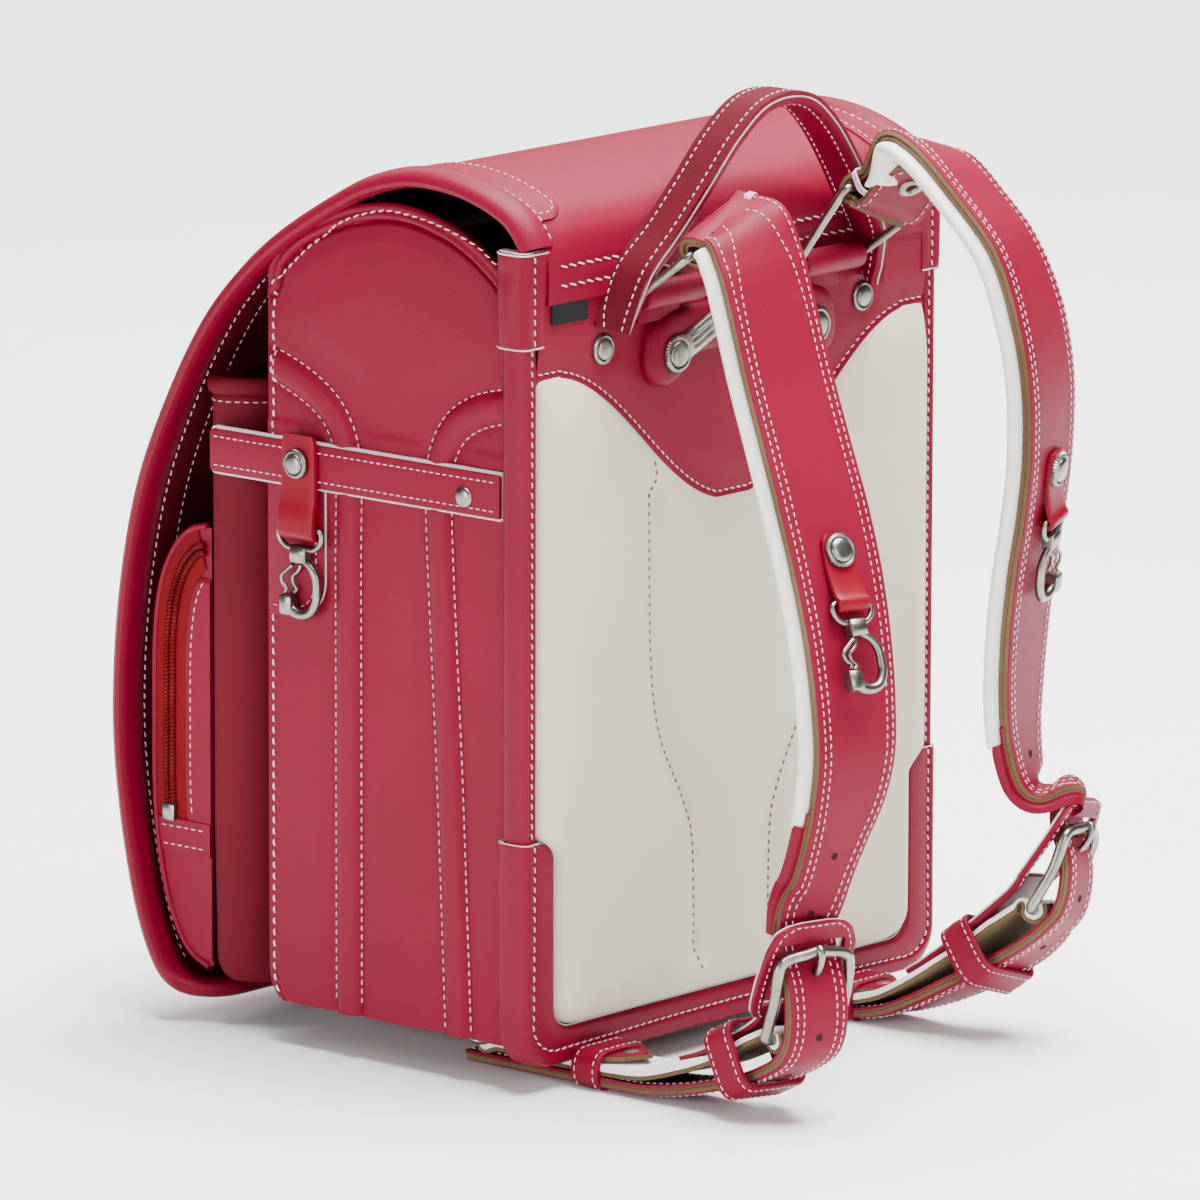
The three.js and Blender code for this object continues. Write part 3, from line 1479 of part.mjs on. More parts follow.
// Buckle frame with its pin, and the stitched leather tab behind it
function addBuckle(side) {
  const set = buckles[side];
  const frame = buckleFrame(set);
  const barHalf = tailWide / 2 + 1.2 + buckleWire / 2;
  const points = [
    frame.at(-barHalf, -1, 0),
    frame.at(-barHalf + 1.5, 0, 0).addScaledVector(frame.up, -2),
    frame.at(barHalf - 1.5, 0, 0).addScaledVector(frame.up, -2),
    frame.at(barHalf, -1, 0),
    frame.at(barHalf, buckleTall * 0.5, 1.5),
    frame.at(barHalf, buckleTall - 5, 0.6),
    frame.at(barHalf - 4, buckleTall, 0),
    frame.at(0, buckleTall + 2.4, 0.6),
    frame.at(-barHalf + 4, buckleTall, 0),
    frame.at(-barHalf, buckleTall - 5, 0.6),
    frame.at(-barHalf, buckleTall * 0.5, 1.5),
  ];
  const loop = wire(points, buckleWire, { closed: true, normal: frame.face, sides: 6 });
  const pin = wire([
    frame.at(0, buckleTall + 3.2, 3.2),
    frame.at(0, buckleTall - 1.5, 4),
    frame.at(0, buckleTall - 4.5, 3),
    frame.at(0, buckleTall - 3, 0.8),
  ], 2.6, { normal: frame.across });
  addPiece(`buckle_${side}`, atSide(side, join(loop, pin)), 'nickel');

  // The tab leans against the frame's top bar and folds down onto the lower belt
  const belt = lowerRows(side);
  const end = belt[belt.length - 3];
  const beltTop = (row) => row.at.clone().addScaledVector(row.up, lowerThick / 2 + gap + tabThick / 2 + 0.6);
  const lean = -buckleWire / 2 - gap - tabThick / 2;
  const places = [
    { at: frame.at(0, buckleTall + 13.5, lean + 0.8), across: frame.across, wide: 0.42 },
    { at: frame.at(0, buckleTall + 12, lean + 0.6), across: frame.across, wide: 0.66 },
    { at: frame.at(0, buckleTall + 8.5, lean), across: frame.across, wide: 0.87 },
    { at: frame.at(0, buckleTall + 2, lean), across: frame.across, wide: 1 },
    { at: frame.at(0, buckleTall * 0.62, lean - 2.5), across: frame.across, wide: 1 },
    { at: frame.at(0, buckleTall * 0.25, lean - 5.6), across: frame.across, wide: 0.92 },
    { at: frame.at(0, 0, lean - 9), across: frame.across, wide: 0.6 },
    { at: beltTop(end), across: end.across, wide: 0.56 },
    { at: beltTop(belt[belt.length - 4]), across: belt[belt.length - 4].across, wide: 0.5 },
  ];
  const rows = places.map((row) => ({ ...row, wide: row.wide * tabWide }));
  const leaf = loft(framesAlong(rows, 20).map((f) => ringAt(f, bandSection(f.wide, tabThick))));
  const slotTop = buckleTall + 5.5;
  const slotLow = 9;
  const slot = block(
    -tailWide / 2 - 1.6,
    tailWide / 2 + 1.6,
    slotLow,
    slotTop,
    -18,
    12,
  );
  slot.applyMatrix4(new THREE.Matrix4()
    .makeBasis(frame.across, frame.up, new THREE.Vector3().crossVectors(frame.across, frame.up))
    .setPosition(frame.origin));
  addPiece(`buckle_tab_${side}`, atSide(side, cut(leaf, slot)), 'binding');
}

// Lower belt from the bottom ring to the buckle's bottom bar
const beltEye = bottomRingWire / 2 + 0.5 + 2.6; // outer radius of the belt's eyes
const bottomRingY = -42;

const beltTables = {
  left: [
    { y: 20, lift: 0, roll: 0 },
    { y: 40, lift: 1.2, roll: -1 },
    { y: 58, lift: 6, roll: -3 },
    { y: 72, lift: 11, roll: -5 },
    { y: 84, lift: 17, roll: -6 },
    { y: 94, lift: 23, roll: -6 },
  ],
  right: [
    { y: 14, lift: 0, roll: 0 },
    { y: 30, lift: 3.2, roll: 5 },
    { y: 45, lift: 10, roll: 10 },
    { y: 58, lift: 18, roll: 14 },
    { y: 70, lift: 27, roll: 14 },
    { y: 81, lift: 37, roll: 13 },
  ],
};

function lowerRows(side) {
  const set = buckles[side];
  const start = [
    { y: bottomRingY + beltEye + 1, lift: 1.2, roll: 0 },
    { y: bottomRingY + 22, lift: 0, roll: 0 },
    { y: 0, lift: 0, roll: 0 },
  ];
  const rows = floorRows(set, start.concat(beltTables[side]), floorBelt);
  rows.forEach((row, i) => {
    const next = rows[Math.min(i + 1, rows.length - 1)].at;
    const before = rows[Math.max(i - 1, 0)].at;
    const along = next.clone().sub(before).normalize();
    row.up = new THREE.Vector3().crossVectors(along, row.across).normalize();
    if (row.up.z < 0) row.up.negate();
  });
  return rows;
}

function eyeAt(centre, across, radius, bore, wide) {
  const up = v(0, 0, 1).addScaledVector(across, -across.z).normalize();
  const third = new THREE.Vector3().crossVectors(across, up).normalize();
  const basis = new THREE.Matrix4().makeBasis(up, third, across).setPosition(centre);
  const outer = slab(circle(0, 0, radius, 10), 'z', -wide / 2, wide / 2);
  const inner = slab(circle(0, 0, bore, 8), 'z', -wide, wide);
  return { outer: outer.applyMatrix4(basis), inner: inner.applyMatrix4(basis) };
}

function addLowerStrap(side) {
  const set = buckles[side];
  const frame = buckleFrame(set);
  const rows = lowerRows(side);
  const eyeWide = tailWide - 1;
  const ringCentre = v(floorX(set, bottomRingY), bottomRingY, floorBelt - lowerThick / 2 + beltEye + 0.1);
  const buckleEye = eyeAt(
    frame.at(0, -2, 0),
    frame.across,
    buckleWire / 2 + 0.5 + 2.2,
    buckleWire / 2 + 0.5,
    eyeWide,
  );
  const ringEye = eyeAt(ringCentre, v(-1, 0, 0), beltEye, bottomRingWire / 2 + 0.5, tailWide);
  const ends = [
    { at: ringCentre.clone().add(v(0, beltEye - lowerThick / 2, -beltEye + lowerThick / 2)), across: v(-1, 0, 0) },
  ];
  const last = { at: frame.at(0, -2, 0).addScaledVector(frame.face, -3.2), across: frame.across };
  const all = ends.concat(rows, [last]).map((row) => ({ ...row, wide: row.wide ?? tailWide }));
  const band = loft(framesAlong(all, Math.round(all.length * 1.5)).map((f) => ringAt(f, bandSection(f.wide, lowerThick))));

  // The riveted end folded back over the belt at the ring
  const foldHeight = floorBelt + lowerThick / 2 + foldThick / 2 - 0.1;
  const foldRowsHere = [
    { y: bottomRingY + 2, lift: beltEye - 1.6, wide: 1 },
    { y: bottomRingY + 14, lift: 2, wide: 1 },
    { y: bottomRingY + 30, lift: 0, wide: 1 },
    { y: 8, lift: 0, wide: 1 },
    { y: 20, lift: 0.4, wide: 0.85 },
    { y: 30, lift: 1.8, wide: 0.25 },
  ].map((row) => ({
    at: v(floorX(set, row.y), row.y, foldHeight + row.lift),
    across: v(-1, 0, 0),
    wide: row.wide * (tailWide - 4),
  }));
  const fold = loft(framesAlong(foldRowsHere, 10).map((f) => ringAt(f, bandSection(f.wide, foldThick))));
  const strap = cut(join(band, ringEye.outer, buckleEye.outer, fold), ringEye.inner, buckleEye.inner);
  addPiece(`lower_strap_${side}`, atSide(side, strap), 'white');

  // Ring at the bottom of the bag with the plate that holds it
  const barHalf = tailWide / 2 + 1.4 + bottomRingWire / 2;
  const x = ringCentre.x;
  const far = bottomRingY - 15;
  const farZ = floorGap - gap - bottomRingWire / 2;
  const ring = wire([
    v(x - barHalf, bottomRingY + 0.6, ringCentre.z),
    v(x - barHalf + 1.2, bottomRingY, ringCentre.z),
    v(x + barHalf - 1.2, bottomRingY, ringCentre.z),
    v(x + barHalf, bottomRingY + 0.6, ringCentre.z),
    v(x + barHalf, bottomRingY - 1.5, ringCentre.z + 0.3),
    v(x + barHalf - 3, far, farZ),
    v(x - barHalf + 3, far, farZ),
    v(x - barHalf, bottomRingY - 1.5, ringCentre.z + 0.3),
  ], bottomRingWire, { closed: true, normal: v(0, 0.3, 1).normalize() });
  const plate = block(x - 9, x + 9, far - 14, far + 4, floorGap - gap - 2, floorGap - gap);
  addPiece(`bottom_ring_${side}`, atSide(side, join(ring, plate)), 'nickel');

  addKeepers(side, rows);
}

// A keeper is a stitched leather loop round the tail and the belt
function keeperAt(low, high, across, along, wide, slack = 0.5) {
  const up = new THREE.Vector3().crossVectors(along, across).normalize();
  if (up.z < 0) up.negate();
  const span = high.clone().sub(low).dot(up);
  const centre = low.clone().add(high).multiplyScalar(0.5);
  const inner = { a: tailWide / 2 + slack, b: span / 2 };
  const outer = roundedRect(
    -inner.a - keeperThick,
    inner.a + keeperThick,
    -inner.b - keeperThick,
    inner.b + keeperThick,
    1.6,
  );
  const hole = roundedRect(-inner.a, inner.a, -inner.b, inner.b, 0.6);
  const third = new THREE.Vector3().crossVectors(across, up).normalize();
  const basis = new THREE.Matrix4().makeBasis(across, up, third).setPosition(centre);
  const body = slab(outer, 'z', -wide / 2, wide / 2, 0, 2).applyMatrix4(basis);
  const space = slab(hole, 'z', -wide, wide, 0, 2).applyMatrix4(basis);
  return cut(body, space);
}

function addKeepers(side, belt) {
  const set = buckles[side];
  const y = edgeFace + 2 + keeperWide / 2;
  const x = floorX(set, y);
  const lowLow = v(x, y, keeperThick);
  const lowHigh = v(x, y, floorBelt + lowerThick / 2 + 2.8 + gap);
  addPiece(
    `lower_keeper_${side}`,
    atSide(side, keeperAt(lowLow, lowHigh, v(-1, 0, 0), v(0, 1, 0), keeperWide)),
    'binding',
  );

  const near = belt[belt.length - 2];
  const after = belt[belt.length - 1].at.clone().sub(belt[belt.length - 3].at).normalize();
  const across = near.across.clone().addScaledVector(after, -near.across.dot(after)).normalize();
  const up = new THREE.Vector3().crossVectors(after, across).normalize();
  if (up.z < 0) up.negate();
  const tail = strapFrames(side).frames.filter((f) => f.at.z < near.at.z + 2 && f.row > 20);
  const fall = tail.reduce((best, f) => {
    const gapAlong = Math.abs(f.at.clone().sub(near.at).dot(after));
    return gapAlong < best.gapAlong ? { gapAlong, f } : best;
  }, { gapAlong: Infinity, f: tail[0] });
  const low = fall.f.at.clone().addScaledVector(up, -strapThick / 2 - 2.2);
  const high = near.at.clone().addScaledVector(up, lowerThick / 2 + tabThick + 4);
  addPiece(`keeper_${side}`, atSide(side, keeperAt(low, high, across, after, keeperWide, 4.2)), 'binding');
}

['left', 'right'].forEach((side) => {
  const { frames, hangingCount } = strapFrames(side);
  const band = loft(frames.map((frame) => ringAt(frame, bandSection(frame.wide, strapThick))));
  addPiece(`strap_${side}`, atSide(side, loftSafe(band)), 'red');

  // White padded lining under the hanging part
  const first = 6.8;
  const last = 4 + hangingCount - 2;
  const under = frames.filter((frame) => frame.row >= first && frame.row <= last);
  const padRings = under.map((frame, i) => {
    const ends = Math.min(1, 0.6 + 0.4 * Math.min(i, under.length - 1 - i));
    const middle = -strapThick / 2 - 1.8 - padThick / 2;
    const wide = padWide * (frame.wide / strapWide);
    const place = { ...frame, at: frame.at.clone().addScaledVector(frame.face, middle) };
    return ringAt(place, padSection(wide * (0.9 + 0.1 * ends), padThick));
  });
  addPiece(`strap_pad_${side}`, atSide(side, loft(padRings)), 'white');

  // Stud, tab and snap hook on the strap's face
  const studRow = side === 'left' ? 11.8 : 12.4;
  const place = frames.reduce((best, frame) => (
    Math.abs(frame.row - studRow) < Math.abs(best.row - studRow) ? frame : best));
  const onFace = place.at.clone().addScaledVector(place.face, strapThick / 2 + gap);
  addStrapHook(side, place, onFace);
  addBuckle(side);
  addLowerStrap(side);
});

// The origin is at the middle of the footprint, on the floor
const box = new THREE.Box3().setFromObject(bag);
const centre = box.getCenter(v(0, 0, 0));
bag.position.set(-centre.x, -centre.y, -box.min.z);

const ransel = new THREE.Group();
ransel.add(bag);

export default ransel;
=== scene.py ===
"""A school ransel: the dressed model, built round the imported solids.

Places are in millimetres in the bag's own frame: x across the bag, y from the back panel towards the
wearer, z up from the floor. They become metres in the row frame when a mesh is made.
Left is the bag's left as seen by someone who faces the back panel.
"""

import json
import math

import bpy
import numpy as np
from mathutils import Matrix, Vector

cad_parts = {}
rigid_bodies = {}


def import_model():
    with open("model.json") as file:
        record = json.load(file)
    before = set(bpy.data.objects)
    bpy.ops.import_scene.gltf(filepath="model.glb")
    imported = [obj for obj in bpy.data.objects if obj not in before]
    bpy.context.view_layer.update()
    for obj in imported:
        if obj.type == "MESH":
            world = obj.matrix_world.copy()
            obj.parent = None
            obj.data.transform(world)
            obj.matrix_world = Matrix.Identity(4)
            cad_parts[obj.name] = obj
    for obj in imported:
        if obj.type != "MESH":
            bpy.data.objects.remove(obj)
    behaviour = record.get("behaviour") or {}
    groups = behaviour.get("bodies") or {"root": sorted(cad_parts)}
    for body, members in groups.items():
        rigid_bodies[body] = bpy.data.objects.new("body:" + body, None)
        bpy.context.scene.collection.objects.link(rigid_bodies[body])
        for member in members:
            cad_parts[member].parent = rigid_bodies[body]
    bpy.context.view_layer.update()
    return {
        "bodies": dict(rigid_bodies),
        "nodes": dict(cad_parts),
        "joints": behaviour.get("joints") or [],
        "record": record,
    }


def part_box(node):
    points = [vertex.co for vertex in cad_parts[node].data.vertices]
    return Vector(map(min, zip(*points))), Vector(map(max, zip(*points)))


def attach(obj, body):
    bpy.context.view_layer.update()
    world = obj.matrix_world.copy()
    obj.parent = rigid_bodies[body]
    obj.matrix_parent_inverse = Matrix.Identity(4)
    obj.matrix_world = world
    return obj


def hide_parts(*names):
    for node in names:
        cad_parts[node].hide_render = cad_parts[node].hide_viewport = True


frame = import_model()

# The bag's own sizes, as its solids have them
BODY_HALF = 121.0
EDGE_HALF = 127.0
CROWN = 363.0
FLAP_BACK = 4.6
FLAP_DEPTH = 220.4
FLAP_END = 12.0
FLAP_THICK = 2.4
BINDING_WIDE = 14.0
LOCK_FRONT = -128.0
GUARD_TOP = 102.0
RING_SPACING = 98.0
RING_UPPER = (49.0, 36.8, 342.0)
RING_TILT = 22.0
RING_HALF = 20.7
RING_WIRE = 3.5
STRAP_WIDE = 43.0
STRAP_THICK = 4.5
STRAP_REACH = 126.5
TAIL_WIDE = 27.0
BUCKLE_SPACING = 168.0
BUCKLE_WIRE = 4.4
BUCKLE_TALL = 33.0
TAB_WIDE = 43.0
TAB_THICK = 2.5
LOWER_THICK = 4.5
FLOOR_TAIL = 4.05
FLOOR_BELT = 8.85
BOTTOM_RING_Y = -42.0

SIDE_FACE = BODY_HALF + 0.3  # the dressed side stands out a little from its solid
BAG_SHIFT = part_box("bottom_lock")[0][1] * 1000 - LOCK_FRONT
SIDES = ("left", "right")


def vec(x, y, z):
    return np.array([x, y, z], float)


def unit(a):
    a = np.asarray(a, float)
    return a / np.maximum(np.linalg.norm(a, axis=-1, keepdims=True), 1e-9)


OUT, REAR, UP = np.eye(3)


def smooth(x):
    x = np.clip(x, 0, 1)
    return x * x * (3 - 2 * x)


# Finishes


def node_group(name, inputs, outputs, build):
    group = bpy.data.node_groups.new(name, "ShaderNodeTree")
    for label, value in inputs.items():
        socket = group.interface.new_socket(label, in_out="INPUT", socket_type="NodeSocketFloat")
        socket.default_value = value
    for label, kind in outputs.items():
        group.interface.new_socket(label, in_out="OUTPUT", socket_type=kind)
    enter = group.nodes.new("NodeGroupInput")
    leave = group.nodes.new("NodeGroupOutput")
    build(group, enter, leave)
    return group


def add_node(tree, kind, values=(), **settings):
    """A shader node with its settings, and with values on its sockets."""
    made = tree.nodes.new("ShaderNode" + kind)
    for key, value in settings.items():
        setattr(made, key, value)
    for socket, value in dict(values).items():
        made.inputs[socket].default_value = value
    return made


def link(tree, *pairs):
    for start, end in pairs:
        tree.links.new(start, end)


def build_grain(group, enter, leave):
    """Leather: fine pebbles with faint creases, and a slow drift of tone."""
    where = add_node(group, "TexCoord").outputs["Object"]
    pebbles = add_node(group, "TexVoronoi", {"Smoothness": 0.6}, feature="SMOOTH_F1")
    creases = add_node(group, "TexNoise", {"Detail": 4})
    crease_scale = add_node(group, "Math", {1: 0.35}, operation="MULTIPLY")
    add = add_node(group, "Math", operation="MULTIPLY_ADD")
    drift = add_node(group, "TexNoise", {"Detail": 2, "Scale": 14})
    link(
        group,
        (where, pebbles.inputs["Vector"]),
        (where, creases.inputs["Vector"]),
        (where, drift.inputs["Vector"]),
        (enter.outputs["Scale"], pebbles.inputs["Scale"]),
        (enter.outputs["Scale"], crease_scale.inputs[0]),
        (crease_scale.outputs[0], creases.inputs["Scale"]),
        (creases.outputs["Fac"], add.inputs[0]),
        (enter.outputs["Creases"], add.inputs[1]),
        (pebbles.outputs["Distance"], add.inputs[2]),
        (add.outputs[0], leave.inputs["Height"]),
        (drift.outputs["Fac"], leave.inputs["Tone"]),
    )


def build_brushed(group, enter, leave):
    """Satin metal: tiny scratches, and patches of painted dark reflection in its tone."""
    where = add_node(group, "TexCoord").outputs["Object"]
    stretch = add_node(group, "Mapping", {"Scale": (1, 1, 0.15)})
    scratches = add_node(group, "TexNoise", {"Detail": 6})
    reflection_patches = add_node(group, "TexNoise", {"Scale": 160})
    link(
        group,
        (where, stretch.inputs["Vector"]),
        (stretch.outputs["Vector"], scratches.inputs["Vector"]),
        (where, reflection_patches.inputs["Vector"]),
        (enter.outputs["Scale"], scratches.inputs["Scale"]),
        (scratches.outputs["Fac"], leave.inputs["Height"]),
        (reflection_patches.outputs["Fac"], leave.inputs["Tone"]),
    )


HEIGHT_AND_TONE = {"Height": "NodeSocketFloat", "Tone": "NodeSocketFloat"}
GRAIN = node_group("leather_grain", {"Scale": 1400.0, "Creases": 0.8}, HEIGHT_AND_TONE, build_grain)
BRUSHED = node_group("satin_scratches", {"Scale": 2600.0}, HEIGHT_AND_TONE, build_brushed)

TONE_PLACES = (0.3, 0.7)
ROUGH_LESS, ROUGH_MORE = 0.04, 0.05
BUMP_DEPTH = 0.0004
LEATHER_SHINE, METAL_SHINE = 0.13, 0.5


def finish_of(name, slot, low, high, rough, bump, scale, group=GRAIN, **grain):
    """A material whose colour drifts between two tones and whose bump comes from a shared group."""
    metal = group is BRUSHED
    material = bpy.data.materials.new(name)
    material.use_nodes = True
    tree = material.node_tree
    tree.nodes.clear()
    out = add_node(tree, "OutputMaterial")
    shader = add_node(
        tree,
        "BsdfPrincipled",
        {"Metallic": float(metal), "Specular IOR Level": METAL_SHINE if metal else LEATHER_SHINE},
    )
    surface = add_node(tree, "Group", {"Scale": scale, **grain}, node_tree=group)
    ramp = add_node(tree, "ValToRGB")
    for stop, place, tone in zip(ramp.color_ramp.elements, TONE_PLACES, (low, high)):
        stop.position = place
        stop.color = (*tone, 1)
    rough_map = add_node(tree, "MapRange", {"To Min": rough - ROUGH_LESS, "To Max": rough + ROUGH_MORE})
    bumper = add_node(tree, "Bump", {"Strength": bump, "Distance": BUMP_DEPTH})
    link(
        tree,
        (shader.outputs[0], out.inputs[0]),
        (surface.outputs["Tone"], ramp.inputs[0]),
        (ramp.outputs[0], shader.inputs["Base Color"]),
        (surface.outputs["Height"], rough_map.inputs["Value"]),
        (rough_map.outputs[0], shader.inputs["Roughness"]),
        (surface.outputs["Height"], bumper.inputs["Height"]),
        (bumper.outputs[0], shader.inputs["Normal"]),
    )
    return material


RED = finish_of(
    "crimson_leather", "leather_red", (0.142, 0.0006, 0.0125), (0.160, 0.001, 0.0155), 0.47, 0.16, 1500
)
PINK = finish_of(
    "crimson_binding", "leather_binding", (0.138, 0.0004, 0.0125), (0.154, 0.0007, 0.015), 0.42, 0.14, 1500
)
DARK = finish_of(
    "crimson_lining", "leather_dark", (0.066, 0.0005, 0.0045), (0.078, 0.0008, 0.006), 0.68, 0.18, 1500
)
PATENT = finish_of(
    "crimson_smooth", "leather_binding", (0.155, 0.0004, 0.009), (0.172, 0.0006, 0.011), 0.36, 0.05, 1500
)
# The pouch's colour is a darker copy of the crimson leather: painted shade for the pouch, which is the same
# leather as the body and only lies in shadow
POUCH_SHADE_RED = finish_of(
    "crimson_folded", "leather_dark", (0.084, 0.0005, 0.0056), (0.098, 0.0008, 0.0072), 0.62, 0.16, 1500
)
CREAM = finish_of("cream_leather", "cushion_cream", (0.53, 0.48, 0.385), (0.56, 0.51, 0.415), 0.55, 0.14, 1100)
WHITE = finish_of(
    "white_lining", "lining_white", (0.72, 0.70, 0.67), (0.77, 0.75, 0.72), 0.58, 0.22, 800, Creases=1.6
)
RAW = finish_of(
    "raw_leather_edge", "leather_red", (0.085, 0.052, 0.024), (0.16, 0.105, 0.055), 0.85, 0.6, 2600, Creases=2.0
)
PALE_EDGE = finish_of("pale_cut_edge", "lining_white", (0.42, 0.395, 0.385), (0.52, 0.49, 0.48), 0.7, 0.3, 2600)
THREAD = finish_of("pale_pink_thread", "lining_white", (0.66, 0.42, 0.47), (0.76, 0.54, 0.58), 0.6, 0.5, 4200)
GREY_THREAD = finish_of(
    "grey_thread", "cushion_cream", (0.10, 0.085, 0.065), (0.15, 0.13, 0.10), 0.65, 0.5, 4200
)
# The nickel's base colour is kept far below real nickel, and its tone patches are darker still: painted dark
# reflection, since the white studio has nothing dark for the metal to reflect
NICKEL = finish_of(
    "satin_nickel", "nickel", (0.185, 0.175, 0.155), (0.27, 0.258, 0.23), 0.30, 0.10, 2600, BRUSHED
)
ZIP_TAPE = finish_of("zip_tape", "zip_red", (0.12, 0.0008, 0.003), (0.145, 0.0012, 0.0045), 0.75, 0.5, 2400)
ZIP_TEETH = finish_of("zip_teeth", "zip_red", (0.085, 0.0012, 0.003), (0.11, 0.002, 0.0045), 0.4, 0.1, 1500)
BLACK = finish_of(
    "black_label_cloth", "label_black", (0.008, 0.008, 0.009), (0.014, 0.014, 0.015), 0.8, 0.5, 3400
)
# Near-black finish for holes: painted shade on discs that stand where the holes are, since no hole is cut
HOLE_SHADE = finish_of("dark_hole", "label_black", (0.02, 0.006, 0.006), (0.03, 0.01, 0.01), 0.9, 0.2, 2000)
FLOOR = finish_of("studio_floor", None, (0.90, 0.90, 0.90), (0.91, 0.91, 0.91), 0.9, 0.0, 30)


# Meshes: a part is (points, faces) or (points, faces, index), and its index gives each face its material


def mirror(points):
    return np.asarray(points, float) * (-1, 1, 1)


def mirrored(part):
    """A part of the left side as the right side has it."""
    points, faces, *index = part
    return (mirror(points), [list(face)[::-1] for face in faces], *index)


def join_parts(parts):
    """Several parts as one; a part with no index takes the first material."""
    points, faces, indices, start = [], [], [], 0
    for part_points, part_faces, *index in parts:
        part_points = np.asarray(part_points, float).reshape(-1, 3)
        points.append(part_points)
        faces.extend([[int(i) + start for i in face] for face in part_faces])
        indices.extend(index[0] if index else [0] * len(part_faces))
        start += len(part_points)
    return np.vstack(points), faces, indices


def both_sides(*parts):
    return join_parts([*parts, *map(mirrored, parts)])


def add_mesh(name, part, materials, side="left", body="bag", sharp=40, replaces=()):
    """A piece from a part that is made on the left; only a list of materials uses the part's index."""
    points, faces, *index = mirrored(part) if side == "right" else part
    points = (np.array(points, float).reshape(-1, 3) + (0, BAG_SHIFT, 0)) * 0.001
    mesh = bpy.data.meshes.new(name)
    mesh.from_pydata(points.tolist(), [], [list(map(int, face)) for face in faces])
    several = isinstance(materials, list)
    for material in materials if several else [materials]:
        mesh.materials.append(material)
    if several:
        mesh.polygons.foreach_set("material_index", np.asarray(index[0], np.int32))
    mesh.polygons.foreach_set("use_smooth", np.ones(len(mesh.polygons), bool))
    mesh.validate()
    mesh.update()
    if sharp:
        mesh.set_sharp_from_angle(angle=math.radians(sharp))
    piece = bpy.data.objects.new(name, mesh)
    bpy.context.scene.collection.objects.link(piece)
    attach(piece, body)
    if replaces:
        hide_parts(*replaces)
    return piece


def grid_faces(rows, columns, wrap=False):
    """Quads over a grid of rows and columns; wrap joins each row's ends."""
    r = np.arange(rows - 1)[:, None]
    c = np.arange(columns if wrap else columns - 1)[None, :]
    d = (c + 1) % columns
    quads = np.stack([r * columns + c, r * columns + d, (r + 1) * columns + d, (r + 1) * columns + c], -1)
    return quads.reshape(-1, 4)


def tube_faces(rows, columns, flipped=False):
    """Quads round a tube of rings, then a face over each of its ends; flipped turns only those two."""
    first, last = list(range(columns)), list(range((rows - 1) * columns, rows * columns))
    ends = [first, last[::-1]] if flipped else [first[::-1], last]
    return grid_faces(rows, columns, wrap=True).tolist() + ends


def tube(grid):
    """A closed tube over a grid of points."""
    return grid, tube_faces(*grid.shape[:2])


# Curves


def uniform_spline(points, count):
    """A smooth line through points, for profiles."""
    pts = np.asarray(points, float)
    n = len(pts)
    t = np.linspace(0, n - 1, count)
    i = np.minimum(t.astype(int), n - 2)
    w = (t - i)[:, None]
    p0, p1, p2, p3 = (pts[np.clip(i + k, 0, n - 1)] for k in (-1, 0, 1, 2))
    v0, v1 = (p2 - p0) / 2, (p3 - p1) / 2
    return (2 * p1 - 2 * p2 + v0 + v1) * w**3 + (-3 * p1 + 3 * p2 - 2 * v0 - v1) * w**2 + v0 * w + p1


def centripetal_spline(points, count):
    """The line that the solids' straps follow, with its directions."""
    pts = np.asarray(points, float)
    n = len(pts)
    ext = np.vstack([2 * pts[0] - pts[1], pts, 2 * pts[-1] - pts[-2]])
    t = np.linspace(0, n - 1, count)
    i = np.minimum(t.astype(int), n - 2)
    w = (t - i)[:, None]
    p0, p1, p2, p3 = (ext[i + k] for k in range(4))
    d0, d1, d2 = (np.maximum(np.linalg.norm(b - a, axis=1, keepdims=True) ** 0.5, 1e-4)
                  for a, b in ((p0, p1), (p1, p2), (p2, p3)))
    t1 = ((p1 - p0) / d0 - (p2 - p0) / (d0 + d1) + (p2 - p1) / d1) * d1
    t2 = ((p2 - p1) / d1 - (p3 - p1) / (d1 + d2) + (p3 - p2) / d2) * d1
    c2, c3 = -3 * p1 + 3 * p2 - 2 * t1 - t2, 2 * p1 - 2 * p2 + t1 + t2
    return p1 + t1 * w + c2 * w**2 + c3 * w**3, unit(t1 + 2 * c2 * w + 3 * c3 * w**2)


def lengths(points):
    return np.concatenate([[0], np.cumsum(np.linalg.norm(np.diff(points, axis=0), axis=1))])


def at_length(points, where):
    s = lengths(points)
    return np.stack([np.interp(where, s, np.asarray(points)[:, k]) for k in range(np.shape(points)[1])], -1)


class Run:
    """Frames along a strap: at, along, across, face and wide at each step."""

    def __init__(self, rows, count):
        self.at, self.along = centripetal_spline([r["at"] for r in rows], count)
        place = np.linspace(0, len(rows) - 1, count)
        low = np.minimum(place.astype(int), len(rows) - 2)
        part = (place - low)[:, None]
        across = np.array([r["across"] for r in rows])
        mixed = across[low] * (1 - part) + across[low + 1] * part
        mixed -= self.along * np.sum(mixed * self.along, 1, keepdims=True)
        self.across = unit(mixed)
        self.face = np.cross(self.along, self.across)
        wide = np.array([r["wide"] for r in rows], float)
        self.wide = wide[low] * (1 - part[:, 0]) + wide[low + 1] * part[:, 0]
        self.row = place

    def part(self, keep):
        other = object.__new__(Run)
        for key, value in self.__dict__.items():
            setattr(other, key, value[keep])
        return other

    def turned_over(self):
        """The same run with its face looking the other way."""
        other = self.part(slice(None))
        other.across, other.face = -self.across, -self.face
        return other

    def line(self, across, face):
        """A line that runs along the strap at these offsets."""
        across = np.broadcast_to(across, self.row.shape)[:, None]
        face = np.broadcast_to(face, self.row.shape)[:, None]
        return self.at + self.across * across + self.face * face


def sweep(run, section):
    """A closed section for each step, (steps, n, 2), swept along a run."""
    return (
        run.at[:, None] + run.across[:, None] * section[..., :1] + run.face[:, None] * section[..., 1:],
        tube_faces(*section.shape[:2], flipped=True),
    )


